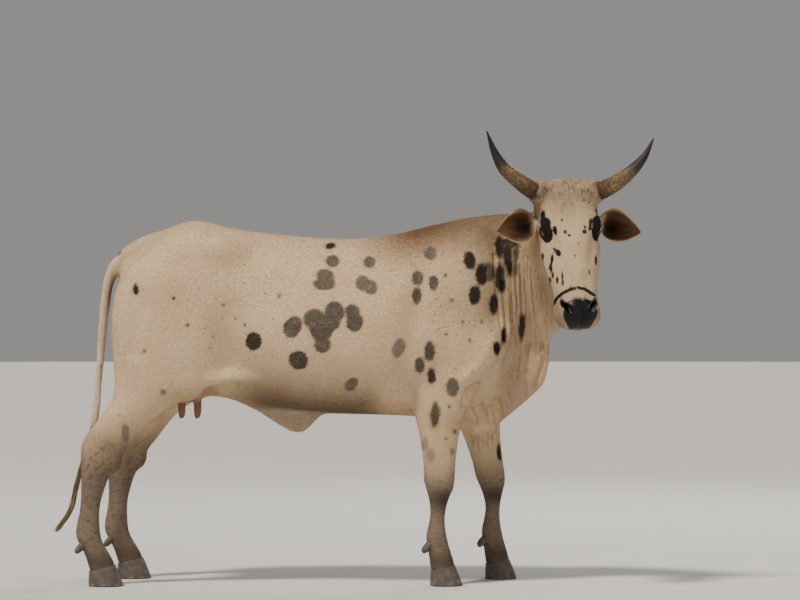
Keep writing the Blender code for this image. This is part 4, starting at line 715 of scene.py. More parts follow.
FACE_SPOTS = [
    (555, 230.5, 4.5, 10, -6, 1.0), (590.5, 222, 4, 8, 0, 0.9), (590, 228, 3.5, 6, 0, 0.9),
    (584.5, 231.5, 5, 5, 20, 0.85), (585, 226, 3, 3, 0, 0.8), (565, 231.5, 3.5, 4, 0, 0.9),
    (569.5, 235, 3.5, 3.5, -20, 0.95), (562, 220, 2.5, 3.5, 0, 0.8),
    (584, 201, 5, 3, 0, 0.55), (589, 203, 3, 3, 0, 0.55), (558, 252.5, 6, 8, -25, 0.95),
    (554, 249, 4, 4, 0, 0.8), (541.8, 258.5, 4, 12, 12, 0.97), (539.8, 267, 2.6, 8, 0, 0.85),
    (552.0, 259.5, 3.2, 11, 6, 1.0), (550.4, 268, 4.2, 9, -6, 1.0), (552.4, 275, 3.2, 7, 0, 0.95),
    (549.6, 280, 3, 7, 0, 0.9), (557.2, 280, 3, 8, 0, 0.9), (562.4, 277, 2.4, 13, -4, 0.85),
    (562.6, 283, 3, 5, 0, 0.8), (574.8, 255.5, 3, 3.5, 0, 0.75), (596, 260, 2.8, 11, 0, 0.9),
    (589.5, 272, 2.6, 5, 0, 0.7), (572, 280, 2.6, 3, 0, 0.6), (571, 285.5, 2.4, 2.4, 0, 0.7),
    (589, 281, 2.6, 2.6, 0, 0.6), (566, 264, 2.4, 3, 0, 0.5), (579, 243, 2.4, 3, 0, 0.5),
    (560, 242, 2.4, 3, 0, 0.5),
]
MUZZLE_ARC = [(553.6, 303.7), (557.5, 297.5), (562.5, 293), (571, 289), (578, 287.6), (585, 289), (594, 295)]
FAR_SPOTS = [  # X and Z of the middle, width and height in metres, lean in degrees, darkness
    (-0.06, 1.02, 0.075, 0.065, 10, 0.62), (-0.10, 0.96, 0.06, 0.07, 0, 0.62),
    (-0.02, 0.94, 0.05, 0.05, 0, 0.6), (-0.28, 1.05, 0.06, 0.045, -10, 0.85),
    (-0.30, 0.92, 0.08, 0.075, 20, 0.64), (-0.36, 0.88, 0.06, 0.07, 0, 0.6),
    (-0.24, 0.86, 0.055, 0.05, 0, 0.62), (-0.17, 0.76, 0.06, 0.055, 0, 0.84),
    (-0.42, 0.77, 0.07, 0.06, 25, 0.66), (-0.50, 0.95, 0.045, 0.06, 0, 0.9),
    (-0.05, 0.80, 0.05, 0.07, 0, 0.58), (0.06, 1.10, 0.045, 0.05, 0, 0.45),
    (-0.68, 1.02, 0.05, 0.06, 0, 0.6), (-0.83, 1.03, 0.022, 0.04, 0, 0.85),
    (-0.78, 0.88, 0.05, 0.045, 15, 0.7), (0.17, 1.08, 0.04, 0.055, 0, 0.6),
    (0.24, 1.00, 0.035, 0.06, 0, 0.84), (0.30, 1.08, 0.04, 0.06, 0, 0.8),
    (0.22, 0.88, 0.05, 0.06, -10, 0.66), (0.34, 0.95, 0.035, 0.07, 0, 0.82),
    (0.12, 0.90, 0.04, 0.05, 0, 0.6), (0.38, 1.10, 0.035, 0.075, 0, 0.84),
    (0.42, 1.00, 0.03, 0.07, 0, 0.86), (0.46, 1.12, 0.03, 0.08, 0, 0.8),
    (0.15, 0.72, 0.04, 0.05, 0, 0.6), (-0.60, 0.80, 0.05, 0.045, 0, 0.8),
    (0.40, 0.84, 0.04, 0.06, 0, 0.7), (-0.90, 0.62, 0.03, 0.05, 0, 0.55),
    (-0.98, 0.42, 0.022, 0.05, 0, 0.5),
]
print("spots listed:", sum(len(spots) for spots in (NEAR_SPOTS, EYE_PATCH, FACE_SPOTS, FAR_SPOTS)))

# %% Measure how deep inside a spot each place lies
SPOT_REACH = 0.03  # how far from a spot its distance is kept
BODY_BLEND, FACE_BLEND = 0.010, 0.002  # how softly spots merge
SPOT_MIDDLE, SPOT_DEEP = 0.007, 1.5  # how wide a spot's middle is, and its depth in shares of its size


def spot_depths(places, spots, unit, blend=BODY_BLEND, away=None):
    """How deep inside a spot each place lies, and how dark the nearest spot is.

    With the places' distances away from the picture, a spot also ends in depth, so that it doesn't run along
    skin that turns away.
    """
    depth, dark = np.full(len(places), -SPOT_REACH), np.zeros(len(places))
    best = np.full(len(places), -SPOT_REACH)
    for across, up, wide, high, lean, shade in spots:
        off = places - np.array((across, up)) * unit
        cos, sin = math.cos(math.radians(lean)), math.sin(math.radians(lean))
        half_wide, half_high = wide * unit / 2, high * unit / 2
        far = np.hypot((off[:, 0] * cos + off[:, 1] * sin) / half_wide,
                       (off[:, 1] * cos - off[:, 0] * sin) / half_high)
        if away is not None:
            at_middle = np.abs(off).max(axis=1) < SPOT_MIDDLE
            front = away[at_middle].min() if at_middle.any() else away.min()
            far = np.hypot(far, (away - front) / (SPOT_DEEP * max(half_wide, half_high)))
        inside = np.maximum((1 - far) * min(half_wide, half_high), -SPOT_REACH)
        dark = np.where(inside > best, shade, dark)
        best = np.maximum(best, inside)
        overlap = np.maximum(blend - abs(depth - inside), 0) / blend
        depth = np.maximum(depth, inside) + overlap ** 2 * blend / 4
    return np.clip(depth, -SPOT_REACH, SPOT_REACH), dark

# %% [markdown]
# ## Where fine faces are needed
#
# A smooth flank needs far fewer faces than an eyelid. The body is thinned by a Decimate modifier that may
# merge faces only where a vertex group allows it, while the head, the spots and the folded side of the neck
# keep theirs. Then the folded side and the muzzle are subdivided once, and the lids and nostrils twice.

# %% Thin the body and refine the face
BODY_FACES = 46000
NOSTRIL_MIDDLE = np.array((0.434, 0.043, -0.045))
# Windows of the picture, each as its first and last column and its first and last row
ALL_FOLDS, CLOSE_FOLDS, PLEATS = (486, PICTURE_WIDTH, 225, 395), (0, 556, 228, 372), (456, 512, 362, 446)
FOLDS_EDGE = (494, 235, 0.06)  # column and row of the folds' edge at the shoulder, and its lean


def thinned(obj, where, count):
    """Merges faces, only at the corners where that is allowed, down to a count of triangles in all."""
    group = obj.vertex_groups.new(name="thin")
    group.add(np.nonzero(where)[0].tolist(), 1.0, "REPLACE")
    thin = obj.modifiers.new("thin", "DECIMATE")
    thin.ratio = min(count / sum(p.loop_total - 2 for p in obj.data.polygons), 1.0)
    thin.vertex_group = group.name
    thin.use_collapse_triangulate = True
    obj.data = plain_mesh(obj)
    obj.vertex_groups.clear()


def refine(obj, where):
    """Splits every face whose corners all pass a test into four."""
    passed = where(read_points(obj.data))
    bm = bmesh.new()
    bm.from_mesh(obj.data)
    bm.verts.ensure_lookup_table()
    edges = [e for e in bm.edges if passed[e.verts[0].index] and passed[e.verts[1].index]]
    bmesh.ops.subdivide_edges(bm, edges=edges, cuts=1, use_grid_fill=True, smooth=0.0)
    bm.to_mesh(obj.data)
    bm.free()
    print("faces after refining:", len(obj.data.polygons))


def mirrored_head(points):
    """Points in the head's frame, the right half folded over the left."""
    local = in_head(points)
    local[:, 1] = abs(local[:, 1])
    return local


def near_eye(reach):
    """A test for corners within reach of an eye's middle."""
    return lambda points: np.linalg.norm(mirrored_head(points) - np.array(EYE), axis=1) < reach


def on_muzzle(points):
    """The nose pad, the nostrils and the lips."""
    u, v, w = in_head(points).T
    return (u > 0.365) & (u < 0.53) & (abs(v) < 0.11) & (w > -0.19) & (w < 0.02)


def near_nostril(points):
    """The wing and the opening of each nostril."""
    return np.linalg.norm(mirrored_head(points) - NOSTRIL_MIDDLE, axis=1) < 0.036


def in_window(points, window):
    """Whether points fall in a window of the picture."""
    column, row = seen(points)
    left, right, top, low = window
    return (column > left) & (column < right) & (row > top) & (row < low)


def in_folds(points):
    """The near side of the neck, where its folds are closest."""
    column, row = seen(points)
    edge_column, edge_row, lean = FOLDS_EDGE
    past_edge = column > edge_column - (row - edge_row) * lean
    on_neck = (head_share(points) < 0.6) & (points[:, 1] < -0.02)
    return in_window(points, CLOSE_FOLDS) & past_edge & on_neck


def at_spots(points):
    """The spots of the body, with a rim of a centimetre or less."""
    near = (points[:, 1] < 0.03) & (spot_depths(in_picture(points), NEAR_SPOTS, PIXEL)[0] > -0.010)
    far = (points[:, 1] > 0.0) & (spot_depths(points[:, [0, 2]], FAR_SPOTS, 1.0)[0] > -0.006)
    return (near | far) & (head_share(points) < 0.5)


points, normals = read_points(skin.data), read_normals(skin.data)
facing = normals[:, 1] < 0.1
keep = head_share(points) > 0.03
keep |= in_window(points, ALL_FOLDS) & facing & (points[:, 1] < 0.0)
keep |= in_window(points, PLEATS) & facing & (points[:, 1] < 0.03)
keep |= at_spots(points)
head_count = 2 * int(keep.sum())
print("corners kept fine:", int(keep.sum()))
thinned(skin, ~keep, BODY_FACES + head_count)
refine(skin, in_folds)
refine(skin, on_muzzle)
refine(skin, near_eye(0.046))
refine(skin, near_eye(0.038))
refine(skin, near_nostril)

# %% [markdown]
# ## Folds of the neck
#
# With the head turned to the right, the skin of that side is pushed together and stands in many upright folds
# between the jaw and the shoulder. They run like the bars of a fan from behind the ear down into the dewlap.
# Below, the shoulder ends in a clear sweep over the brisket, which is pleated where it meets the forelegs.
# They are drawn as strokes too: a groove for each valley, a softer ridge beside it. The other side is
# stretched, so it stays smooth. Their paths are given in columns and rows of the picture, because that is
# where folds can be seen, and `seen` carries the skin's corners there.

# %% Draw the folds
DEEP_FOLDS = [  # path in the picture, width and height in metres
    ([(494.6, 254), (495.5, 275), (498, 298), (500.5, 320), (502, 330)], 0.0055, -0.0070),
    ([(502, 282), (504, 303), (505.6, 326), (504.5, 342), (501, 354)], 0.0050, -0.0085),
    ([(510.5, 262), (512.2, 300), (513, 329), (510, 352), (504, 371)], 0.0050, -0.0080),
    ([(515.5, 254), (517.3, 303), (518, 326), (515, 352), (511, 376)], 0.0040, -0.0052),
    ([(520.0, 247), (521.5, 303), (520.8, 345), (517, 378)], 0.0040, -0.0056),
    ([(523.9, 252), (525.4, 288), (527.8, 318), (529, 345), (526, 372)], 0.0038, -0.0052),
    ([(528.3, 242), (526.9, 285), (529.5, 309), (535, 338), (537, 356)], 0.0040, -0.0056),
    ([(533.2, 240), (531.3, 263), (532.5, 297), (538, 331), (541, 352)], 0.0038, -0.0050),
    ([(537.6, 241), (536.1, 260), (539.3, 280), (543.5, 303), (545, 330)], 0.0038, -0.0048),
    ([(541.5, 276), (546.5, 297), (550, 318)], 0.0040, -0.0046),
    ([(497.6, 262), (499, 284), (502, 303), (503.6, 325)], 0.0060, 0.0060),
    ([(506.3, 262), (508.0, 303), (509.8, 324), (508.3, 342), (504, 356)], 0.0060, 0.0065),
    ([(514, 275), (515, 310), (514.5, 345)], 0.0040, 0.0030),
    ([(518.5, 262), (519.5, 303), (518.5, 345)], 0.0040, 0.0028),
    ([(524.7, 370), (525.4, 398)], 0.0070, -0.0080),  # down the dewlap
    ([(541.5, 345), (543, 362), (538.6, 376), (534, 391)], 0.0070, -0.0090),
    ([(508, 395), (513, 410), (519, 404)], 0.0070, -0.0080),
    ([(506, 341), (503.5, 356), (494.6, 370.5), (484.3, 382), (468.2, 391), (463.8, 404)], 0.0110, -0.0170),
    ([(495, 335), (487, 358), (470, 374), (452, 385)], 0.0260, 0.0120),  # the shoulder's swell above it
    ([(463.8, 438), (474, 442), (490, 437), (503.4, 429)], 0.0100, -0.0200),  # under the brisket
    ([(463.8, 417.4), (470, 421), (477, 423)], 0.0056, -0.0110),
    ([(462, 422.5), (466, 428), (471, 431)], 0.0056, -0.0105),
    ([(482.3, 404), (486, 412), (488.7, 424)], 0.0056, -0.0110),
    ([(490.7, 405), (494.6, 426)], 0.0056, -0.0110),
    ([(498.5, 398), (503, 418)], 0.0056, -0.0105),
    ([(472, 409), (477, 420)], 0.0056, -0.0100),
]
FINE_FOLD_COUNT, FIRST_COLUMN, COLUMN_GAP = 30, 508, 1.35  # fine folds stand in columns of the picture
HIGHEST_TOP, HIGHEST_LOW, ROW_SPREAD = 242, 318, 60  # first rows where they start and end, and their spread
JAW_COLUMN, JAW_SLOPE = 534, 2.4  # from this column on the jaw covers the neck, and folds start lower
UPRIGHT_COLUMN, FAN_LEAN = 516, 0.16  # the one fold that stands upright, and the lean of those beside it
fold_draw = random.Random(4)
fine_folds = []
for i in range(FINE_FOLD_COUNT):
    column = FIRST_COLUMN + COLUMN_GAP * i
    top = HIGHEST_TOP + fold_draw.uniform(0, ROW_SPREAD) + max(0, column - JAW_COLUMN) * JAW_SLOPE
    low = HIGHEST_LOW + fold_draw.uniform(0, ROW_SPREAD)
    lean = (column - UPRIGHT_COLUMN) * FAN_LEAN
    path = [(column + fold_draw.uniform(-1.5, 1.5) + lean * (t - 0.4), top + (low - top) * t)
            for t in (0.0, 0.35, 0.7, 1.0)]
    fine_folds.append((path, fold_draw.uniform(0.0026, 0.0038), fold_draw.uniform(-0.0028, -0.0014)))


def near_side(points, normals):
    """1 on skin that faces the picture and isn't on the head."""
    return ramp(-normals[:, 1], 0.0, 0.35) * (1 - ramp(head_share(points), 0.5, 0.95))


def to_metres(forms):
    """Strokes whose paths are given in the picture, with the paths in metres."""
    return [([(c * PIXEL, r * PIXEL) for c, r in path], radius, height) for path, radius, height in forms]


for folds in (DEEP_FOLDS, fine_folds):
    points, normals = read_points(skin.data), read_normals(skin.data)
    front = near_side(points, normals) * ramp(points[:, 0], 0.18, 0.24)
    push(skin.data, strokes(in_picture(points), to_metres(folds), front))
relax(skin.data, np.full(len(points), 0.2), 1)
print("folds on the neck:", len(DEEP_FOLDS) + len(fine_folds))

# %% [markdown]
# ## The face
#
# Forms on the head are strokes in its own frame, made on both sides at once by folding the right half over
# the left. The bony brow, the hollow before the eye and the cheek bone are broad ones. The lip line, the
# folds over the eye and the creases round the nostril are fine ones, and they come after the faces there have
# been made small enough to hold them.

# %% Model the face
HEAD_FORMS = [
    ([(0.075, 0.100, -0.045), (0.108, 0.104, -0.058)], 0.022, -0.007),  # temple
    ([(0.116, 0.070, -0.012), (0.138, 0.096, -0.028)], 0.015, 0.006),  # brow
    ([(0.192, 0.076, -0.026), (0.262, 0.060, -0.026)], 0.022, -0.007),  # hollow before the eye
    ([(0.205, 0.098, -0.082), (0.270, 0.082, -0.088), (0.305, 0.074, -0.090)], 0.014, 0.006),  # cheek bone
    ([(0.250, 0.085, -0.118), (0.340, 0.068, -0.116)], 0.022, -0.008),  # hollow of the cheek
    ([(0.060, 0.094, -0.190), (0.130, 0.082, -0.205), (0.200, 0.062, -0.185)], 0.016, 0.005),  # jaw
    ([(0.085, 0.0, 0.012), (0.165, 0.0, 0.004)], 0.034, -0.006),  # dish of the forehead
    ([(0.335, 0.032, -0.024), (0.405, 0.042, -0.030)], 0.018, -0.005),  # beside the bridge of the nose
    ([(0.405, 0.074, -0.108), (0.455, 0.072, -0.104)], 0.014, 0.003),  # pad of the upper lip
    ([(0.300, 0.066, -0.060), (0.360, 0.058, -0.062), (0.400, 0.060, -0.070)], 0.008, 0.0022),  # face vein
    ([(0.300, 0.074, -0.104), (0.262, 0.086, -0.130), (0.225, 0.092, -0.160)], 0.007, 0.0020),  # cheek vein
]
FINE_FORMS = [
    ([(0.440, 0.018, -0.028), (0.462, 0.020, -0.040), (0.478, 0.022, -0.060)], 0.010, 0.0016),  # pad's swell
    ([(0.455, 0.0, -0.036), (0.480, 0.0, -0.058), (0.497, 0.0, -0.095)], 0.0045, -0.0028),  # middle furrow
    ([(0.398, 0.030, -0.022), (0.412, 0.050, -0.030), (0.424, 0.066, -0.052)], 0.0055, -0.0022),  # over wing
    ([(0.385, 0.060, -0.052), (0.405, 0.070, -0.074), (0.432, 0.0755, -0.088)], 0.005, -0.0018),  # lip crease
    ([(0.372, 0.066, -0.090), (0.396, 0.074, -0.100), (0.420, 0.077, -0.112)], 0.0045, -0.0015),  # below it
]
LIP_FRONT, LIP_CORNER, LIP_HALF = (0.490, -0.113), (0.386, -0.129), 0.070


def lip_point(t):
    """The line between the lips, from the right corner at -1 round the front at 0 to the left corner at 1."""
    u = LIP_FRONT[0] - (LIP_FRONT[0] - LIP_CORNER[0]) * abs(t) ** 2.2
    w = LIP_FRONT[1] + (LIP_CORNER[1] - LIP_FRONT[1]) * abs(t) ** 1.5
    return Vector((u, LIP_HALF * math.sin(t * math.pi / 2), w))


points = read_points(skin.data)
push(skin.data, strokes(mirrored_head(points), HEAD_FORMS, head_share(points)))
relax(skin.data, 0.35 * head_share(points), 2)
points = read_points(skin.data)
lips = [lip_point(t) for t in steps(0.0, 1.0, 12)]
lips = [Vector((p.x + 0.004 * (1 - t), p.y + 0.006 * t, p.z)) for p, t in zip(lips, steps(0.0, 1.0, 12))]
LIP_FORMS = [(lips, 0.0040, -0.0060), (lips, 0.013, -0.0022)]
push(skin.data, strokes(mirrored_head(points), FINE_FORMS + LIP_FORMS, head_share(points)))
print("forms on the head:", len(HEAD_FORMS) + len(FINE_FORMS) + len(LIP_FORMS))

# %% [markdown]
# ## Nostrils
#
# A cow's nostril is a comma: round and wide at the front, with a tail that curls back and up over the wing.
# The skin along that path is pushed inwards, deepest in its middle, and stays one closed surface.

# %% Press in the nostrils
NOSTRIL_PATH = [(0.452, 0.030, -0.046), (0.445, 0.0385, -0.040), (0.434, 0.047, -0.038),
                (0.420, 0.055, -0.045)]
NOSTRIL_WIDTH = [(0.0, 0.0075), (0.45, 0.0095), (1.0, 0.0050)]
NOSTRIL_DEPTH, NOSTRIL_WAY = 0.022, np.array((-0.80, -0.12, -0.58))


def path_share(points, path):
    """How far along a path the nearest place to each point is, from 0 to 1, and how far away it is."""
    path = np.array(path, float)
    lengths = np.linalg.norm(np.diff(path, axis=0), axis=1)
    before = np.concatenate([[0], np.cumsum(lengths)])
    best, share = np.full(len(points), np.inf), np.zeros(len(points))
    for i, (start, end) in enumerate(zip(path, path[1:])):
        run = end - start
        t = np.clip((points - start) @ run / (run @ run), 0, 1)
        away = np.linalg.norm(points - start - t[:, None] * run, axis=1)
        closer = away < best
        best = np.where(closer, away, best)
        share = np.where(closer, (before[i] + t * lengths[i]) / before[-1], share)
    return share, best


def from_head(local, side_sign):
    """Points carried from the folded head frame back to the body's."""
    spread = local.copy()
    spread[:, 1] *= side_sign
    carry = np.array(HEAD)
    return spread @ carry[:3, :3].T + carry[:3, 3]


points = read_points(skin.data)
local = mirrored_head(points)
side_sign = np.sign(in_head(points)[:, 1])
share, away = path_share(local, NOSTRIL_PATH)
width = along(NOSTRIL_WIDTH, share)
hole = ramp(-away / width, -1.25, -0.45)
rim = np.exp(-((away / width - 1.45) / 0.35) ** 2) * 0.0022
on_head = head_share(points) > 0.9
hole, rim = hole * on_head, rim * on_head
moved = local + NOSTRIL_WAY * (hole * NOSTRIL_DEPTH)[:, None]
points = from_head(moved, side_sign) + read_normals(skin.data) * rim[:, None]
write_points(skin.data, points)
print("corners pushed into the nostrils:", int((hole > 0.5).sum()))

# %% [markdown]
# ## Eyelids
#
# Each eye is a ball, and the lids lie on it like a stretched cloth with an almond slit. So the skin near the
# eye is handled in directions from the ball's middle. Outside the almond it is kept a lid's thickness off the
# ball, inside it is pulled in behind the ball's surface, and the corners nearest to the almond's edge are
# slid onto it, so that the lid margin is a clean line. Above it, two grooves fold the upper lid.

# %% Open the lids
LOOK = np.array(EYE_LOOK)
SLIT = np.array((0.90, -0.15, 0.40))
SLIT = SLIT - LOOK * (SLIT @ LOOK)
SLIT /= np.linalg.norm(SLIT)
LID_UP = np.cross(SLIT, LOOK)
SLIT_LONG, SLIT_HIGH, SLIT_LOW = 0.90, 0.54, 0.40  # half angles of the opening: to the corners, up and down
LID_THICK, EYE_SINK = 0.0024, 0.0035
LID_FOLDS = [  # height, angle outside the opening, width, and 1 over the opening, -1 under it, 0 all round
    (0.0012, 0.07, 0.06, 0), (-0.0024, 0.30, 0.06, 1), (0.0016, 0.42, 0.07, 1), (-0.0022, 0.56, 0.07, 1),
    (-0.0016, 0.34, 0.07, -1), (-0.0014, 0.60, 0.09, -1),
]


def lid_angles(local):
    """Directions from the left eye's middle: along the slit, across it, and the distance."""
    out = local - np.array(EYE)
    far = np.linalg.norm(out, axis=1)
    out = out / far[:, None]
    ahead = np.arccos(np.clip(out @ LOOK, -1, 1))
    side, rise = out @ SLIT, out @ LID_UP
    length = np.hypot(side, rise) + 1e-9
    return ahead * side / length, ahead * rise / length, far


def slit_edge(a, b):
    """How far, as an angle, a direction lies outside the almond; below 0 is inside."""
    share = np.clip(abs(a) / SLIT_LONG, 0, 1)
    bow = (1 - share ** 2.2)
    height = np.where(b > 0, SLIT_HIGH, SLIT_LOW) * bow
    steep = np.hypot(1.0, np.where(b > 0, SLIT_HIGH, SLIT_LOW) * 2.2 * share ** 1.2 / SLIT_LONG)
    return np.maximum((abs(b) - height) / steep, abs(a) - SLIT_LONG)


points = read_points(skin.data)
local, side_sign = mirrored_head(points), np.sign(in_head(points)[:, 1])
a, b, far = lid_angles(local)
near = (far < 0.042) & (abs(a) < 1.6) & (abs(b) < 1.6) & (head_share(points) > 0.5)
edge = slit_edge(a, b)
slide = near & (abs(edge) < 0.024)
b_new = np.where(slide, b - np.sign(b) * edge * 0.8, b)
turn = np.hypot(a, b_new)
out = (np.cos(turn)[:, None] * LOOK + (np.sin(turn) / (turn + 1e-9))[:, None]
       * (a[:, None] * SLIT + b_new[:, None] * LID_UP))
edge = slit_edge(a, b_new)
closed_far = np.maximum(far, EYE_RADIUS + LID_THICK)
fold_move = np.zeros(len(points))
for height, middle, width, part in LID_FOLDS:
    fold_move += height * np.exp(-((edge - middle) / width) ** 2) * (part * b_new > 0 if part else 1.0)
covered = ramp(edge, -0.055, -0.005)
pulled = (closed_far + fold_move) * covered + (EYE_RADIUS - EYE_SINK) * (1 - covered)
blend = near * ramp(-far, -0.042, -0.036)
moved = np.array(EYE) + out * pulled[:, None]
local = local + (moved - local) * blend[:, None]
write_points(skin.data, from_head(local, np.where(side_sign == 0, 1, side_sign)))
print("corners at the lids:", int(near.sum()))

# %% [markdown]
# ## Ears
#
# An ear is a leaf rolled into a cup: round and closed at its root, open and wide in the middle, pointed at
# the tip. A loft with a curved section gives that, thick enough to be a real sheet. It is joined to the skin
# by a Boolean union with its root sunk in the head, and the join is relaxed so that the skin runs on into
# the ear.

# %% Add the ears
EAR_ROOT = Vector((0.104, 0.084, -0.094))
EAR_TIPS = {RIGHT: Vector((0.122, 0.235, -0.100)), LEFT: Vector((0.146, 0.248, -0.100))}
EAR_HALF = [(0.0, 0.018), (0.14, 0.026), (0.28, 0.048), (0.42, 0.0605), (0.58, 0.0585), (0.74, 0.045),
            (0.88, 0.025), (0.96, 0.012), (1.0, 0.004)]
EAR_CUP = [(0.0, 1.0), (0.14, 1.0), (0.3, 0.80), (0.5, 0.52), (0.7, 0.34), (1.0, 0.22)]
EAR_THICK, EAR_FACE = 0.0040, Vector((0.10, 0.0, 1.0))
EAR_ROWS, EAR_COLUMNS = 40, 21
SNUG = 0.985  # size of ears, horns and dewclaws as a share of their solids, so that ridges stay inside


def ear_axes(side):
    """An ear's root, its run to the tip, the way its cup opens and its width, in the head's frame."""
    root, tip = (Vector((p.x, side * p.y, p.z)) for p in (EAR_ROOT, EAR_TIPS[side]))
    ahead = (tip - root).normalized()
    face = (EAR_FACE - ahead * EAR_FACE.dot(ahead)).normalized()
    return root, tip - root, face, ahead.cross(face)


def along_ear(points, side):
    """An ear's axes as arrays, and how far points lie along it, off its face and across it."""
    root, run, face, across = (np.array(part) for part in ear_axes(side))
    local = in_head(points) - root
    return (run, face, across), (local @ run / (run @ run), local @ face, local @ across)


def add_ear(bm, side):
    """A leaf-shaped ear with a true cup, solid at its root."""
    root, run, face, across = ear_axes(side)
    rings = []
    for s in steps(0.0, 1.0, EAR_ROWS):
        half, cup = along(EAR_HALF, s) * SNUG, along(EAR_CUP, s)
        hollow = float(ramp(s, 0.10, 0.34))
        thick = EAR_THICK * (1 - 0.6 * s)
        back, front = [], []
        for t in steps(-1.0, 1.0, EAR_COLUMNS):
            bow = half * cup * (1 - t * t)
            thin = thick * (0.30 + 0.70 * math.sqrt(max(0.0, 1 - t ** 6)))
            ridge = 0.0011 * math.cos(t * 11.0) * hollow * (1 - s) * (1 - t ** 4)
            wave = 0.0022 * math.sin(s * 9.0 + t * 2.0) * t ** 4 * s
            inner = hollow * (-bow + thin / 2 + ridge) + (1 - hollow) * (half * 0.75 * (1 - t * t) + thin / 2)
            middle = root + run * s + across * (half * t) + face * (half * cup * 0.5 + wave)
            back.append(HEAD @ (middle + face * (-bow - thin / 2)))
            front.append(HEAD @ (middle + face * inner))
        rings.append(back + front[::-1])
    add_loft(bm, rings)
    bmesh.ops.triangulate(bm, faces=bm.faces)


for side in (RIGHT, LEFT):
    ear_mesh = bmesh.new()
    add_ear(ear_mesh, side)
    ear = new_piece("ear", ear_mesh)
    join = skin.modifiers.new("join", "BOOLEAN")
    join.operation = "UNION"
    join.solver = "MANIFOLD"
    join.object = ear
    skin.data = plain_mesh(skin)
    bpy.data.objects.remove(ear)
points = read_points(skin.data)
from_root = np.linalg.norm(mirrored_head(points) - np.array(EAR_ROOT + Vector((0.0, 0.012, 0.0))), axis=1)
relax(skin.data, 0.5 * ramp(-from_root, -0.036, -0.020), 6)
print("faces of the skin with its ears:", len(skin.data.polygons))

# %% [markdown]
# ## The last touches on the skin
#
# The folds and lids are now in the skin, and it can lose faces once more. The spots keep theirs, because a
# spot's edge is read from the corners. Then the skin is drawn in by the depth of the coat, so that the hair
# comes to lie where the solids end, and not outside them. The ears and lids stay, as they are thin.

# %% Thin the skin to its final count
SKIN_FACES = 192000
thinned(skin, ~at_spots(read_points(skin.data)), SKIN_FACES)
print("faces of the thinned skin:", len(skin.data.polygons))

# %% Draw the skin in by the coat's depth
SKIN_DEPTH = 0.0015
points = read_points(skin.data)
ear_part = np.zeros(len(points), bool)
for side in (RIGHT, LEFT):
    axes, (share, off, wide) = along_ear(points, side)
    ear_part |= (share > 0.16) & (share < 1.1) & (abs(off) < 0.045) & (abs(wide) < 0.070)
lid_gap = ramp(np.linalg.norm(mirrored_head(points) - np.array(EYE), axis=1), 0.024, 0.040)
push(skin.data, -SKIN_DEPTH * ~ear_part * lid_gap)
skin.data.shade_smooth()
SKIN_POINTS, SKIN_NORMALS = read_points(skin.data), read_normals(skin.data)
print("skin box:", SKIN_POINTS.min(axis=0).round(3), SKIN_POINTS.max(axis=0).round(3))

# %% [markdown]
# ## The hide's colours
#
# The cow is cream white. Over that lie broad changes of tone: the withers and crest are tan, the dewlap and
# the thin skin under the belly show pink, the lower legs are grey brown with dark knees, and the insides of
# the ears are rust brown. Some tones are painted shade: the underside of the belly is darker towards its
# lowest part, and the whole head is a darker cream than the body. The muzzle, most of all at its sides, is
# darker partly from its own hair and partly as painted shade. Each is mixed in by a mask worked out at every
# corner of the skin. They are kept in one colour attribute, because a painted image would need an unwrap and
# can't be changed so easily.

# %% Mix the broad tones
CREAM, TAN, PINK = (0.68, 0.510, 0.330), (0.150, 0.069, 0.028), (0.37, 0.245, 0.165)
# The face's tone is painted shade, a darker cream for the whole head
DUN, PAINTED_FACE_SHADE, TAIL_GREY = (0.36, 0.250, 0.155), (0.50, 0.370, 0.235), (0.72, 0.600, 0.440)
FLAP_TONE = (0.52, 0.400, 0.290)
LEG_BROWN, KNEE_BROWN, BLACK = (0.128, 0.100, 0.081), (0.030, 0.014, 0.007), (0.0030, 0.0024, 0.0020)
EAR_RUST, EAR_DARK, EAR_PALE = (0.140, 0.064, 0.031), (0.012, 0.006, 0.004), (0.46, 0.28, 0.145)
UDDER_SKIN, TEAT_SKIN, VULVA_SKIN = (0.40, 0.22, 0.13), (0.200, 0.105, 0.062), (0.050, 0.020, 0.012)
# The belly's tone is painted shade, and the muzzle's tone is partly painted shade
FOREHEAD, MUZZLE_TONE_AND_SHADE, PAINTED_BELLY_SHADE = (0.30, 0.225, 0.145), (0.46, 0.34, 0.22), (0.12, 0.078, 0.042)

X, Y, Z = SKIN_POINTS.T
U, V, W = in_head(SKIN_POINTS).T
FOLDED = mirrored_head(SKIN_POINTS)
OUT = FOLDED[:, 1]
ON_HEAD = np.maximum(head_share(SKIN_POINTS), ear_part)
SIDE = np.sign(V)
top = np.array(along(TOPLINE, np.clip(X, *TRUNK_ENDS)))
low = np.array(along(BELLY, np.clip(X, *TRUNK_ENDS)))
tint = np.tile(np.array(CREAM), (len(SKIN_POINTS), 1))


def mix_in(colour, mask):
    """Mixes a colour into the tint by a mask."""
    global tint
    mask = np.clip(mask, 0, 1)[:, None]
    tint = tint * (1 - mask) + np.array(colour) * mask


on_tail = ramp(-X, 0.955, 0.975) * ramp(-abs(Y), -0.060, -0.045)
body = (1 - ON_HEAD) * (1 - on_tail)
crest = ramp(Z - top, -0.15, -0.01) * ramp(X, -0.18, 0.08) * body
mix_in(TAN, 0.94 * crest)
mix_in(TAN, 0.12 * ramp(Z - top, -0.07, 0.0) * ramp(-X, -0.1, 0.1) * body)
mix_in(DUN, 0.62 * ramp(X, 0.02, 0.34) * ramp(Z, 0.72, 1.02) * body)
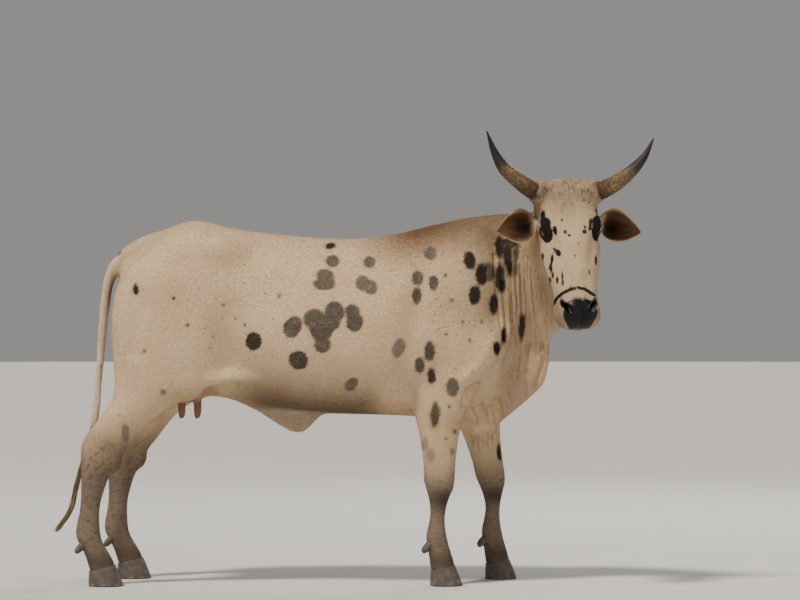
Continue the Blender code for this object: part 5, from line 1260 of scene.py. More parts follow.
# Painted shade: the underside of the belly, darker towards its lowest part
mix_in(PAINTED_BELLY_SHADE, 0.85 * ramp(low + 0.16 - Z, 0.0, 0.15) * ramp(Z, 0.52, 0.58) * ramp(-X, 0.02, 0.12)
       * ramp(X, -0.62, -0.44))
hanging = ramp(X, 0.30, 0.38) * ramp(0.78 - 0.9 * (X - 0.35) - Z, -0.25, 0.12) * ramp(Z, 0.44, 0.52) * body
mix_in(PINK, 0.65 * hanging * ramp(-abs(Y + 0.02), -0.16, -0.10))
flap = ramp(-Z, -0.615, -0.585) * ramp(Z, 0.44, 0.50) * ramp(-abs(Y), -0.08, -0.05) * ramp(X, -0.58, -0.50)
mix_in(FLAP_TONE, 0.85 * flap * ramp(-X, 0.20, 0.24))
mix_in(TAIL_GREY, 0.95 * on_tail)
leg = np.where(X < -0.3, ramp(-Z, -0.60, -0.33), ramp(-Z, -0.50, -0.29)) * (1 - on_tail)
mix_in(LEG_BROWN, 0.86 * leg)
knee_x = np.where(Y < 0, 0.0, along(FORE["step"], 0.35))
knee = np.exp(-((Z - 0.292) / 0.034) ** 2) * ramp(X - knee_x, 0.06, 0.15) * (X > -0.3)
mix_in(KNEE_BROWN, 0.80 * knee)
hock = np.exp(-((Z - 0.45) / 0.06) ** 2) * (X < -0.8)
mix_in(KNEE_BROWN, 0.35 * hock * ramp(X, -1.06, -0.98))
mix_in(KNEE_BROWN, 0.65 * np.exp(-((Z - 0.085) / 0.035) ** 2))
teats = ramp(-Z, -0.640, -0.615) * (X > -0.86) * (X < -0.62) * (abs(Y) < 0.10)
udder_mask = ramp(-Z, -0.700, -0.660) * (X > -0.86) * (X < -0.62) * (abs(Y) < 0.115)
mix_in(UDDER_SKIN, 0.85 * udder_mask)
mix_in(TEAT_SKIN, 0.9 * teats)
under_tail = np.exp(-((X + 0.978) / 0.026) ** 2 - ((Z - 0.98) / 0.062) ** 2 - (Y / 0.050) ** 4)
mix_in(VULVA_SKIN, 1.3 * under_tail)
print("broad tones mixed on corners:", len(tint))

# %% Colour the head and the ears
# The tan hair below the right ear: where it starts, is full, fades and ends, in the picture
UNDER_EAR_COLUMNS, UNDER_EAR_ROWS = (496, 508, 533, 543), (226, 236, 270, 300)


def between(values, stops):
    """1 from the second stop to the third, and 0 before the first and after the last."""
    start, full, fading, end = stops
    return ramp(values, start, full) * ramp(-values, -end, -fading)


# Painted shade: the whole head a darker cream than the body
mix_in(PAINTED_FACE_SHADE, 0.70 * ON_HEAD)
column, row = seen(SKIN_POINTS)
under_ear = between(column, UNDER_EAR_COLUMNS) * between(row, UNDER_EAR_ROWS)
mix_in(TAN, 0.42 * under_ear * ON_HEAD * (SKIN_NORMALS[:, 1] < 0.3))
mix_in(FOREHEAD, 0.70 * ramp(-U, -0.17, -0.03) * ramp(W, -0.10, -0.02) * ON_HEAD)
mix_in(DUN, 0.70 * ramp(-U, -0.07, 0.01) * ON_HEAD)
# The muzzle's tone, partly its own hair and partly painted shade
mix_in(MUZZLE_TONE_AND_SHADE, 0.8 * ramp(U, 0.33, 0.40) * ON_HEAD)
# The muzzle's sides darker, partly their own hair and partly painted shade
mix_in(LEG_BROWN, 0.45 * ramp(U, 0.36, 0.42) * ramp(OUT, 0.035, 0.070) * ON_HEAD)
PAD_CENTRE = (0.430, -0.085)
pad_angle = np.degrees(np.arctan2(W - PAD_CENTRE[1], U - PAD_CENTRE[0]))
PAD_HALF = [(-40.0, 0.010), (-24.0, 0.026), (-8.0, 0.036), (12.0, 0.044), (35.0, 0.054), (55.0, 0.058),
            (75.0, 0.056), (92.0, 0.052), (106.0, 0.048), (118.0, 0.040)]
pad_edge = np.array(along(PAD_HALF, np.clip(pad_angle, -40, 118))) - OUT
pad = ramp(pad_edge, -0.003, 0.003) * (U > 0.40) * ramp(pad_angle, -34, -24) * ramp(-pad_angle, -115, -109)
for deep in (0.0, 0.5, 1.0):
    sunk = np.array(NOSTRIL_PATH) + NOSTRIL_WAY * NOSTRIL_DEPTH * deep
    pad = np.maximum(pad, ramp(-distance(FOLDED, sunk), -0.012, -0.008))
pad *= ON_HEAD > 0.9
mix_in(BLACK, pad)
a, b, far = lid_angles(FOLDED)
lid_edge = slit_edge(a, b)
lid_ring = ramp(-lid_edge, -0.34, -0.16) * (far < 0.036) * (ON_HEAD > 0.5)
mix_in(BLACK, lid_ring)
EAR_SHARE, EAR_ACROSS, EAR_INSIDE = np.zeros(len(X)), np.zeros(len(X)), np.zeros(len(X))
head_turn = np.array(HEAD)[:3, :3]
for side in (RIGHT, LEFT):
    (run, face, across), (share, off, wide) = along_ear(SKIN_POINTS, side)
    mine = ear_part & (SIDE == side)
    EAR_SHARE = np.where(mine, share, EAR_SHARE)
    half = np.maximum(along(EAR_HALF, np.clip(share, 0, 1)), 0.004)
    EAR_ACROSS = np.where(mine, wide / half, EAR_ACROSS)
    EAR_INSIDE = np.where(mine, ramp(SKIN_NORMALS @ (head_turn @ face), 0.0, 0.3), EAR_INSIDE)
on_ear = ear_part.astype(float) * ramp(EAR_SHARE, 0.16, 0.30)
mix_in(EAR_PALE, 0.6 * on_ear)
inside = on_ear * EAR_INSIDE * ramp(-abs(EAR_ACROSS), -0.94, -0.84)
mix_in(EAR_RUST, inside)
streak = 0.5 + 0.5 * np.sin(EAR_ACROSS * 13 + 1.5 * np.sin(EAR_SHARE * 6 + SIDE))
mix_in(EAR_DARK, 0.45 * inside * streak * ramp(-EAR_SHARE, -0.95, -0.60))
mix_in(EAR_DARK, inside * np.exp(-(EAR_ACROSS / 0.5) ** 2) * ramp(-EAR_SHARE, -0.72, -0.40))
print("black nose pad on corners:", int((pad > 0.5).sum()))

# %% [markdown]
# ## Spots
#
# The spots of this breed are patches of dark skin under mixed hair, so they look blue grey, with a soft
# ragged edge. Painting them as colours on the corners would make every edge as coarse as the faces. Instead
# each corner stores how deep inside a spot it lies, in metres, with a minus outside. The material turns that
# distance into a crisp or ragged edge wherever it wants one. A second number says how dark the spot is.

# %% Place the spots
FAR_LEG_SPOT = (500, 451, 4, 9)  # on the left foreleg: column and row of its middle, width and height


def lay_over(new_depth, new_dark, mask):
    """Joins more spots to those already placed, where a mask allows it."""
    global spot_depth, spot_dark
    new_depth = np.where(mask, new_depth, -SPOT_REACH)
    closer = new_depth > spot_depth
    spot_depth, spot_dark = np.where(closer, new_depth, spot_depth), np.where(closer, new_dark, spot_dark)


PICTURE = in_picture(SKIN_POINTS)
spot_depth, spot_dark = np.full(len(X), -SPOT_REACH), np.zeros(len(X))
off_head = (ON_HEAD < 0.5) & ~ear_part
near_flesh = off_head & (Y < 0.03) & (SKIN_NORMALS[:, 1] < 0.25)
lay_over(*spot_depths(PICTURE, NEAR_SPOTS, PIXEL), near_flesh)
far_flesh = off_head & (Y > 0.0) & (SKIN_NORMALS[:, 1] > -0.1)
lay_over(*spot_depths(SKIN_POINTS[:, [0, 2]], FAR_SPOTS, 1.0), far_flesh)
facing = SKIN_NORMALS[:, 1] < -0.05
on_face = (ON_HEAD >= 0.5) & ~ear_part & (W > -0.16)
face_away = np.where(on_face, Y, 9.0)
lay_over(*spot_depths(PICTURE, FACE_SPOTS, PIXEL, FACE_BLEND, face_away), on_face)
right_half = (FOLDED * np.array((1, -1, 1))) @ head_turn.T + np.array(HEAD.translation)
right_away = np.where(on_face, right_half[:, 1], 9.0)
eye_patches = spot_depths(in_picture(right_half), EYE_PATCH, PIXEL, FACE_BLEND, right_away)
lay_over(*eye_patches, on_face & (W > -0.13))
arc = [(c * PIXEL, r * PIXEL) for c, r in MUZZLE_ARC]
lay_over(0.0055 - distance(PICTURE, arc), np.full(len(X), 0.97), (ON_HEAD > 0.9) & facing & (U > 0.34))
across, down, wide, high = FAR_LEG_SPOT
far_leg = np.exp(-((column - across) / wide) ** 2 - ((row - down) / high) ** 2) * SPOT_REACH - 0.012
far_leg = far_leg - 0.05 * ramp(SKIN_NORMALS[:, 1], -0.55, 0.05)
lay_over(far_leg, np.full(len(X), 0.85), (Y > 0.05) & (Z < 0.6))
print("spots:", len(NEAR_SPOTS) + len(FACE_SPOTS) + len(EYE_PATCH) * 2 + len(FAR_SPOTS) + 2)

# %% [markdown]
# ## The lie of the coat
#
# Hair doesn't stand straight off the skin. It grows backwards on the trunk, down the legs, outwards along the
# ears and down the face from a whorl between the eyes. Each corner stores that direction, the coat's length
# and how much of the skin it covers. Bare places, such as the nose pad, the lid margins and the udder, get
# no cover.

# %% Store direction, length and cover
lie = np.tile(np.array((-0.95, 0.0, -0.35)), (len(X), 1))


def lie_towards(way, mask):
    """Turns the lie of the coat by a mask towards one way, or a way for each corner."""
    global lie
    mask = np.clip(mask, 0, 1)[:, None]
    lie = lie * (1 - mask) + np.array(way) * mask


lie_towards((-0.15, 0.0, -1.0), ramp(-Z, -0.62, -0.45))
lie_towards((-0.45, 0.0, -0.9), 0.8 * ramp(-X, 0.72, 0.86) * ramp(-Z, -1.15, -0.95))
lie_towards((-0.30, 0.0, -0.95), 0.9 * ramp(X, 0.30, 0.42) * ramp(-Z, -1.22, -1.10) * body)
lie_towards((-0.5, 0.0, -0.86), ramp(-X, 0.96, 0.99) * ramp(-abs(Y), -0.06, -0.04))
face_down = head_turn @ np.array((1.0, 0.0, 0.0))
face_out = head_turn @ np.array((0.0, 1.0, 0.0))
face_back = head_turn @ np.array((0.0, 0.0, -1.0))
down_cheek = ramp(-W, 0.06, 0.16)[:, None]
sideways = (SIDE * OUT * 3.0)[:, None]
head_lie = face_down * 0.9 + sideways * face_out * 0.6 + face_back * 0.7 * down_cheek
head_lie = head_lie - 2.2 * face_down * (ramp(-U, -0.17, -0.09) * ramp(W, -0.08, -0.02))[:, None]
lie_towards(head_lie, ON_HEAD)
for side in (RIGHT, LEFT):
    (run, face, across), shares = along_ear(SKIN_POINTS, side)
    to_tip, to_edge = (head_turn @ run)[None] / np.linalg.norm(run), (head_turn @ across)[None]
    lie_towards(to_tip + EAR_ACROSS[:, None] * to_edge * 0.5, (ear_part & (SIDE == side)).astype(float))
lie -= SKIN_NORMALS * (lie * SKIN_NORMALS).sum(axis=1)[:, None]
lie /= np.linalg.norm(lie, axis=1)[:, None] + 1e-9

bare = np.maximum.reduce([pad, ramp(-lid_edge, -0.22, -0.10) * (far < 0.036) * (ON_HEAD > 0.5),
                          udder_mask * 0.85, teats, under_tail * 1.4])
cover = 1 - np.clip(bare, 0, 1)
length = np.full(len(X), 0.0080)
length += 0.0055 * crest + 0.0045 * ramp(-abs(Z - low), -0.06, -0.01) * ramp(Z, 0.50, 0.55)
length += 0.0085 * ramp(-U, -0.085, -0.03) * ramp(W, -0.09, -0.03) * ON_HEAD
length -= 0.0038 * ON_HEAD * ramp(U, 0.08, 0.16)
length -= 0.0030 * ramp(-Z, -0.45, -0.25)
length -= 0.0036 * on_ear * ramp(abs(EAR_ACROSS), 0.60, 0.85)
length += 0.0090 * inside * ramp(-abs(EAR_ACROSS), -0.72, -0.50) * ramp(-EAR_SHARE, -0.80, -0.60)
print("coat from", round(length.min() * 1000, 1), "to", round(length.max() * 1000, 1), "mm")

# %% Write the attributes on the skin
def write_values(mesh, name, values):
    """Stores a number or a vector for every corner of a mesh."""
    values = np.asarray(values, float)
    kind, word = ("FLOAT", "value") if values.ndim == 1 else ("FLOAT_VECTOR", "vector")
    mesh.attributes.new(name, kind, "POINT").data.foreach_set(word, values.ravel())


def write_colours(mesh, name, values):
    """Stores a colour for every corner of a mesh."""
    colours = np.ones((len(values), 4))
    colours[:, :3] = values
    mesh.attributes.new(name, "FLOAT_COLOR", "POINT").data.foreach_set("color", colours.ravel())


wet = np.clip(np.maximum(pad, lid_ring * ramp(-abs(lid_edge), -0.08, -0.02)), 0, 1)
write_colours(skin.data, "tint", tint)
for name, values in (("depth", spot_depth), ("dark", spot_dark), ("wet", wet), ("cover", cover),
                     ("long", length), ("root", SKIN_POINTS), ("lie", lie)):
    write_values(skin.data, name, values)
print("attributes:", [a.name for a in skin.data.attributes if not a.name.startswith(".")])

# %% [markdown]
# ## Materials as sums
#
# A material's nodes are easier to read as sums than as boxes and wires. The small class below holds one
# socket, and adding or multiplying it adds a Math node. Any other node comes from one method, which sets the
# node's own settings first and then its sockets. The same class serves Geometry Nodes later.

# %% Write nodes as Python
class Wire:
    """What comes out of one socket, ready to be used in a sum."""

    def __init__(self, bench, socket):
        self.bench, self.socket = bench, socket

    def sum(self, operation, *others):
        """A Math node over this socket and others."""
        return self.bench.node("ShaderNodeMath", {"operation": operation}, dict(enumerate((self, *others))))

    def __add__(self, other):
        return self.sum("ADD", other)

    def __sub__(self, other):
        return self.sum("SUBTRACT", other)

    def __rsub__(self, other):
        return self.sum("MULTIPLY_ADD", -1.0, other)

    def __mul__(self, other):
        return self.sum("MULTIPLY", other)

    __radd__, __rmul__ = __add__, __mul__

    def __truediv__(self, other):
        return self.sum("DIVIDE", other)

    def power(self, other):
        """This value raised to a power."""
        return self.sum("POWER", other)

    def ramp(self, low, high):
        """0 at low and 1 at high, with soft ends."""
        settings = {"interpolation_type": "SMOOTHSTEP"}
        return self.bench.node("ShaderNodeMapRange", settings, {0: self, 1: low, 2: high, 3: 0.0, 4: 1.0})

    def part(self, axis):
        """X, Y or Z of a vector, as 0, 1 or 2."""
        return self.bench.node("ShaderNodeSeparateXYZ", {}, {0: self}, axis)


class Bench:
    """A node tree, and the nodes that are put on it."""

    def __init__(self, tree):
        self.tree = tree

    def node(self, kind, settings=None, sockets=None, out=0):
        """The wire from a new node, with its settings and what goes into its sockets."""
        made = self.tree.nodes.new(kind)
        for name, value in (settings or {}).items():
            if name == "stops":
                ramp_stops(made.color_ramp, value)
            else:
                setattr(made, name, value)
        for place, value in (sockets or {}).items():
            if isinstance(value, Wire):
                self.tree.links.new(value.socket, made.inputs[place])
            else:
                made.inputs[place].default_value = value
        return Wire(self, made.outputs[out]) if len(made.outputs) else made

    def attribute(self, name, out="Fac"):
        """What is stored at the corners under a name."""
        return self.node("ShaderNodeAttribute", {"attribute_name": name}, out=out)

    def mix(self, share, first, second):
        """The first colour at share 0 and the second at 1."""
        return self.node("ShaderNodeMix", {"data_type": "RGBA"}, {0: share, 6: first, 7: second}, 2)

    def tinted(self, share, tone, filter_colour):
        """A tone seen through a coloured filter, by a share."""
        return self.node("ShaderNodeMix", {"data_type": "RGBA", "blend_type": "MULTIPLY"},
                         {0: share, 6: tone, 7: filter_colour}, 2)

    def stretched(self, vector, scale, middle=(0, 0, 0)):
        """A place scaled along each axis, so that a pattern read there is drawn out or pressed together."""
        return self.node("ShaderNodeMapping", {}, {"Vector": vector, "Scale": scale, "Location": middle})

    def noise(self, vector, scale, detail=3.0, rough=0.55, out="Fac"):
        """A cloudy pattern round 0.5."""
        sockets = {"Vector": vector, "Scale": scale, "Detail": detail, "Roughness": rough}
        return self.node("ShaderNodeTexNoise", {}, sockets, out)

    def cells(self, vector, scale, feature="F1"):
        """How far each place is from the nearest of many scattered points."""
        sockets = {"Vector": vector, "Scale": scale}
        return self.node("ShaderNodeTexVoronoi", {"feature": feature}, sockets, "Distance")

    def place(self):
        """The place on the object itself."""
        return self.node("ShaderNodeTexCoord", {}, {}, "Object")

    def colours(self, share, stops):
        """A colour read from a row of stops, given as (place, colour)."""
        return self.node("ShaderNodeValToRGB", {"stops": stops}, {"Fac": share})

    def bump(self, height, strength):
        """A normal tilted by a height in metres."""
        return self.node("ShaderNodeBump", {}, {"Strength": strength, "Distance": 1.0, "Height": height})


def ramp_stops(colour_ramp, stops):
    """Sets a colour ramp's stops, given as (place, colour)."""
    while len(colour_ramp.elements) < len(stops):
        colour_ramp.elements.new(1.0)
    for element, (place, colour) in zip(colour_ramp.elements, stops):
        element.position, element.color = place, (*colour, 1.0)


def new_material(name):
    """An empty material with its bench."""
    material = bpy.data.materials.new(name)
    material.use_nodes = True
    material.node_tree.nodes.clear()
    return material, Bench(material.node_tree)


def finish_material(bench, sockets):
    """Ends a material in a Principled shader with these sockets."""
    shader = bench.node("ShaderNodeBsdfPrincipled", {}, sockets)
    bench.node("ShaderNodeOutputMaterial", {}, {"Surface": shader})

# %% [markdown]
# ## The coat's material
#
# Skin and tufts share this one, so that a spot runs on from the skin into the hair over it. Everything is
# read at the hair's root: the tint, the distance into a spot, and the noise that makes the spot's edge
# ragged. A dark spot keeps some light hairs, and the cream coat has a few dark ones. The bump is noise
# stretched along the hair, which is all that short flat hair shows from a few steps away.

# %% Make the coat's material
def coat_material(name, on_tufts):
    """The hide's colours and spots, for the skin itself or for the tufts on it."""
    material, bench = new_material(name)
    root = bench.attribute("root", "Vector")
    depth, dark = bench.attribute("depth"), bench.attribute("dark")
    tone = bench.attribute("tint", "Color")
    broad = bench.noise(root, 7.0, 4.0)
    patchy = bench.noise(root, 46.0, 3.0)
    fine = bench.noise(bench.stretched(root, (220, 420, 420)), 1.0, 3.0, 0.65)
    speckle = bench.noise(bench.stretched(root, (1, 1, 1), (3.1, 1.7, 0.4)), 170.0, 2.0)
    on_head = bench.attribute("on_head")
    tone = bench.tinted(broad.ramp(0.35, 0.75) * 0.55, tone, (0.84, 0.76, 0.66, 1))
    mottle = bench.noise(bench.stretched(root, (55, 55, 120)), 1.0, 4.0, 0.7)
    tone = bench.mix(mottle.ramp(0.48, 0.62) * bench.attribute("mottled"), tone, (0.075, 0.053, 0.038, 1))
    tone = bench.tinted(patchy.ramp(0.50, 0.80) * 0.28, tone, (0.72, 0.62, 0.52, 1))
    soft = 0.0044 - on_head * 0.0030
    ragged = depth + ((patchy - 0.5) * 0.008 + (speckle - 0.5) * 0.005) * (1 - on_head * 0.40)
    spot_mask = (ragged / soft).ramp(-1.0, 1.0)
    roan = (dark + (speckle - 0.5) * 0.30 + (fine - 0.5) * 0.26 + (patchy - 0.5) * 0.16).ramp(-0.05, 1.0)
    spot_tone = bench.colours(roan, [
        (0.0, (0.42, 0.32, 0.22)), (0.45, (0.235, 0.200, 0.160)), (0.72, (0.106, 0.088, 0.070)),
        (0.90, (0.026, 0.021, 0.017)), (1.0, (0.008, 0.006, 0.005))])
    tone = bench.mix(spot_mask * (0.80 + dark * 0.20), tone, spot_tone)
    few = bench.noise(root, 3.2, 2.0)
    speck = (0.15 - bench.cells(root, 34.0)).ramp(0.0, 0.06) * few.ramp(0.53, 0.63) * (1 - spot_mask)
    tone = bench.mix(speck * 0.70, tone, (0.09, 0.065, 0.05, 1))
    freckles = (0.17 - bench.cells(root, 46.0)).ramp(0.0, 0.07) * bench.attribute("freckle")
    tone = bench.mix(freckles, tone, (0.16, 0.085, 0.045, 1))
    wet = bench.attribute("wet")
    sockets = {"Base Color": tone, "Roughness": 0.80 - wet * 0.46, "Specular IOR Level": 0.25}
    if on_tufts:
        tip, lift = bench.attribute("tip"), bench.attribute("tone")
        shade = bench.tinted(1 - (tip * 0.6 + lift * 0.4), tone, (0.90, 0.87, 0.84, 1))
        sockets["Base Color"] = bench.tinted(tip * 0.7 + lift * 0.3, shade, (1.20, 1.19, 1.17, 1))
    else:
        upright = bench.stretched(root, (900, 900, 150))
        level = bench.stretched(root, (150, 900, 600))
        on_leg = bench.attribute("upright")
        hairs = bench.noise(level, 1.0, 2.0) * (1 - on_leg) + bench.noise(upright, 1.0, 2.0) * on_leg
        pebble = bench.cells(root, 420.0, "SMOOTH_F1")
        height = (hairs * 0.0008 + patchy * 0.0008) * (1 - wet) + pebble * wet * 0.0009
        sockets["Normal"] = bench.bump(height, 0.75)
    finish_material(bench, sockets)
    return material


on_crown = ramp(-U, -0.085, -0.045) * ramp(W, -0.11, -0.04) * (1 - ear_part) * ON_HEAD
mid_brow = ramp(-U, -0.15, -0.08) * ramp(-OUT, -0.05, -0.02) * ramp(W, -0.08, -0.02) * ON_HEAD
on_shank = (0.62 * ramp(-Z, -0.54, -0.44) * ramp(Z, 0.06, 0.12) * (X < -0.3)
            + 0.45 * ramp(-Z, -0.42, -0.36) * (X > -0.3))
freckled = 0.75 * ramp(X, 0.02, 0.12) * ramp(Z, 0.62, 0.72) * body * (Y < 0.30)
write_values(skin.data, "freckle", freckled)
write_values(skin.data, "mottled", np.maximum.reduce([0.64 * on_crown, 0.42 * mid_brow, on_shank]))
write_values(skin.data, "on_head", ON_HEAD)
write_values(skin.data, "upright", np.maximum(ramp(-Z, -0.62, -0.45), ON_HEAD))
coat_on_skin = coat_material("coat_on_skin", False)
coat_on_tufts = coat_material("coat_on_tufts", True)
skin.data.materials.clear()
skin.data.materials.append(coat_on_skin)
print("coat material nodes:", len(coat_on_skin.node_tree.nodes))

# %% [markdown]
# ## Eyes
#
# A cow's eye is dark and wet: a brown iris that fills almost the whole opening, with a level pupil. The
# cornea bulges a little out of the ball, and that bulge is what catches the light. The iris and pupil are
# drawn by the direction from the ball's middle, stored at each corner.

# %% Make the eyes
def eye_material():
    """A wet ball with a brown iris and a level pupil, drawn by the direction from its middle."""
    material, bench = new_material("wet_eye")
    gaze = bench.attribute("gaze", "Vector")
    side, rise = gaze.part(0), gaze.part(1)
    pupil = (side * side * 3.2 + rise * rise * 16.0).power(0.5)
    iris = (side * side + rise * rise).power(0.5)
    streaks = bench.noise(bench.stretched(gaze, (60, 60, 4)), 1.0, 3.0)
    brown = bench.mix(streaks, (0.030, 0.013, 0.006, 1), (0.085, 0.040, 0.016, 1))
    tone = bench.mix(iris.ramp(0.50, 0.74), brown, (0.016, 0.009, 0.006, 1))
    tone = bench.mix(iris.ramp(0.82, 0.98), tone, (0.20, 0.13, 0.095, 1))
    tone = bench.mix(pupil.ramp(0.62, 0.80), (0.0015, 0.0015, 0.003, 1), tone)
    finish_material(bench, {"Base Color": tone, "Roughness": 0.08, "Coat Weight": 1.0,
                            "Coat Roughness": 0.03})
    return material


def add_eye(side):
    """An eyeball with its cornea, in the head's frame, then carried to its place."""
    bm = bmesh.new()
    bmesh.ops.create_uvsphere(bm, u_segments=64, v_segments=40, radius=1.0)
    axes = [np.array(way) * (1, side, 1) for way in (SLIT, LID_UP, LOOK)]
    middle = np.array((EYE.x, side * EYE.y, EYE.z))
    gaze = []
    for corner in bm.verts:
        a, b, c = corner.co
        bulge = 1.0 + 0.055 * math.exp(-(math.acos(max(-1, min(1, c))) / 0.52) ** 4)
        place = middle + (axes[0] * a + axes[1] * b + axes[2] * c) * (EYE_RADIUS * bulge)
        corner.co = HEAD @ Vector(place)
        gaze.append((a, b, c))
    bmesh.ops.recalc_face_normals(bm, faces=bm.faces)
    obj = new_piece("eye", bm)
    write_values(obj.data, "gaze", gaze)
    return obj


def keep_piece(obj, name, material):
    """Names a finished piece, gives it its material and puts it with the others."""
    obj.name = name
    obj.data.materials.append(material)
    pieces[name] = obj


pieces = {"skin": skin}
wet_eye = eye_material()
for side, word in SIDES:
    keep_piece(add_eye(side), f"eyeball_{word}", wet_eye)
print("eyes:", len(SIDES))

# %% [markdown]
# ## Horns
#
# The horns grow sideways out of the poll and turn up at their ends. Their root is rough, with growth rings
# and a scurfy yellow brown surface, and they are smooth and dark towards the tip. A loft along the horn's
# line gives the shape, and small rings are added to its radius near the root. Each corner keeps its share of
# the length, which the material reads for colour.

# %% Make the horns
HORN_ROWS, HORN_SIDES = 110, 36


def add_horn(side):
    """One horn, with rings at its root that fade towards the smooth tip."""
    draw = random.Random(21 + side)
    places = steps(0.0, 1.0, HORN_ROWS)
    points = [spot(HORN_LINES[side], s) for s in places]
    bumps = [draw.uniform(0.4, 1.0) for _ in range(40)]
    radii = []
    for s in places:
        ring = math.sin(s * 2 * math.pi * (13 + 5 * s)) * bumps[int(s * 39)]
        radii.append(along(HORN_RADIUS, s) * SNUG + 0.0011 * ring * float(ramp(-s, -0.62, -0.10)))
    bm = bmesh.new()
    add_tube(bm, points, radii, HORN_SIDES)
    obj = new_piece("horn", bm)
    obj.data.shade_smooth()
    grown = np.repeat(places, HORN_SIDES)
    write_values(obj.data, "grown", grown)
    angles = np.tile(np.arange(HORN_SIDES) * 2 * np.pi / HORN_SIDES, HORN_ROWS)
    write_values(obj.data, "around", np.stack([np.cos(angles), np.sin(angles), grown * 9], 1))
    return obj


def horn_material():
    """Brown, scurfy and ringed at the root, dark and smooth at the tip."""
    material, bench = new_material("cow_horn")
    grown, around = bench.attribute("grown"), bench.attribute("around", "Vector")
    coarse = bench.noise(bench.stretched(around, (1.0, 1.0, 0.7)), 1.6, 5.0, 0.6)
    flecks = bench.noise(bench.stretched(around, (4.0, 4.0, 2.6)), 2.3, 4.0, 0.7)
    fibres = bench.noise(bench.stretched(around, (14.0, 14.0, 0.8)), 2.0, 3.0, 0.6)
    rings = bench.noise(bench.stretched(around, (0.6, 0.6, 9.0)), 1.6, 3.0, 0.6)
    tone = bench.colours(grown + (coarse - 0.5) * 0.26, [
        (0.0, (0.036, 0.016, 0.007)), (0.16, (0.050, 0.024, 0.011)), (0.30, (0.082, 0.046, 0.021)),
        (0.42, (0.135, 0.090, 0.044)), (0.54, (0.110, 0.078, 0.042)), (0.63, (0.028, 0.020, 0.014)),
        (0.78, (0.010, 0.008, 0.007)), (1.0, (0.008, 0.006, 0.005))])
    root_part = 1 - grown.ramp(0.50, 0.68)
    scurf = grown.ramp(0.18, 0.44) * root_part
    tone = bench.mix(coarse.ramp(0.52, 0.64) * scurf * 0.60, tone, (0.34, 0.225, 0.085, 1))
    tone = bench.mix(flecks.ramp(0.52, 0.64) * root_part * 0.78, tone, (0.028, 0.013, 0.006, 1))
    tone = bench.mix((1 - flecks).ramp(0.56, 0.66) * scurf * 0.85, tone, (0.58, 0.44, 0.20, 1))
    tone = bench.mix(rings.ramp(0.55, 0.75) * root_part * 0.45, tone, (0.045, 0.026, 0.014, 1))
    tone = bench.mix(fibres.ramp(0.50, 0.80) * 0.25, tone, (0.025, 0.016, 0.010, 1))
    height = rings * root_part * 0.0022 + fibres * 0.0007 + flecks * root_part * 0.0012
    rough = 0.66 - grown * 0.20 + (flecks - 0.5) * 0.2
    finish_material(bench, {"Base Color": tone, "Roughness": rough, "Normal": bench.bump(height, 0.8),
                            "Specular IOR Level": 0.30})
    return material


cow_horn = horn_material()
for side, word in SIDES:
    keep_piece(add_horn(side), f"horn_sheath_{word}", cow_horn)
print("horn rows:", HORN_ROWS)

# %% [markdown]
# ## Claws
#
# Each foot has two claws side by side with a cleft between them, and two small dewclaws behind. Their horn
# grows down from the hairline in fine ridges that run level round the claw. A loft of level sections gives
# the wall, leaning forward to the toe, with the ridges in the section's size.

# %% Make the claws
CORONET, CORONET_TILT = 0.062, 0.22
CLAW_TOE, CLAW_HEEL, CLEFT, DEWCLAW_LEVEL = 0.024, 0.002, 0.0035, 0.135
CLAW_ROWS = [(0.0, 0.962), (0.05, 1.0), (0.4, 0.985), (0.75, 0.955), (1.0, 0.925)]
CLAW_FINE, CLAW_SIDES = 30, 40


def foot_middle(leg, side):
    """X and Y of the middle of a foot at the coronet, its half length and its half width."""
    shift = along(leg["step"], CORONET) if side == LEFT else 0.0
    low, high = along(leg["back"], CORONET) + shift, along(leg["front"], CORONET) + shift
    return (low + high) / 2, side * along(leg["out"], CORONET), (high - low) / 2, along(leg["half"], CORONET)


def add_claw(bm, leg, side, which):
    """One claw: flat under the sole and along the cleft, round outside, its toe ahead of the coronet."""
    x, y, length, width = foot_middle(leg, side)
    rings = []
    for t in steps(0.0, 1.0, CLAW_FINE):
        spread = along(CLAW_ROWS, t) + 0.0065 * math.sin(t * 34) * t * (1 - 0.4 * t)
        spread -= 0.05 * max(0.0, 1 - t / 0.05) ** 2
        toe, heel = length + CLAW_TOE * (1 - t), length - CLAW_HEEL * (1 - t)
        middle, reach = (toe - heel) / 2, (toe + heel) / 2
        ring = []
        for i in range(CLAW_SIDES):
            angle = math.pi * i / (CLAW_SIDES - 1)
            p = middle + reach * spread * math.copysign(abs(math.cos(angle)) ** 0.85, math.cos(angle))
            q = CLEFT / 2 + (width + 0.005 * (1 - t)) * spread * math.sin(angle) ** 0.75
            ring.append((p, q))
        ring += [(middle - reach * spread * k, CLEFT / 2) for k in (0.6, 0.2, -0.2, -0.6)]
        rings.append([Vector((x + p, y + which * q, t * (CORONET + CORONET_TILT * p))) for p, q in ring])
    add_loft(bm, rings)


def add_dewclaw(bm, leg, side, which):
    """A small blunt claw behind the fetlock, its root sunk in the flesh."""
    shift = along(leg["step"], DEWCLAW_LEVEL) if side == LEFT else 0.0
    behind = along(leg["back"], DEWCLAW_LEVEL) + shift
    middle = side * along(leg["out"], DEWCLAW_LEVEL)
    root = Vector((behind + 0.014, middle + which * 0.019, DEWCLAW_LEVEL + 0.008))
    tip = root + Vector((-0.028, which * 0.006, -0.030))
    places = steps(0.0, 1.0, 16)
    sizes = [(0.0, 0.0125), (0.55, 0.0120), (0.85, 0.0085), (0.96, 0.0045), (1.0, 0.001)]
    radii = [along(sizes, s) * SNUG + 0.0003 * math.sin(s * 30) for s in places]
    add_tube(bm, [root.lerp(tip, s) for s in places], radii, count=20)


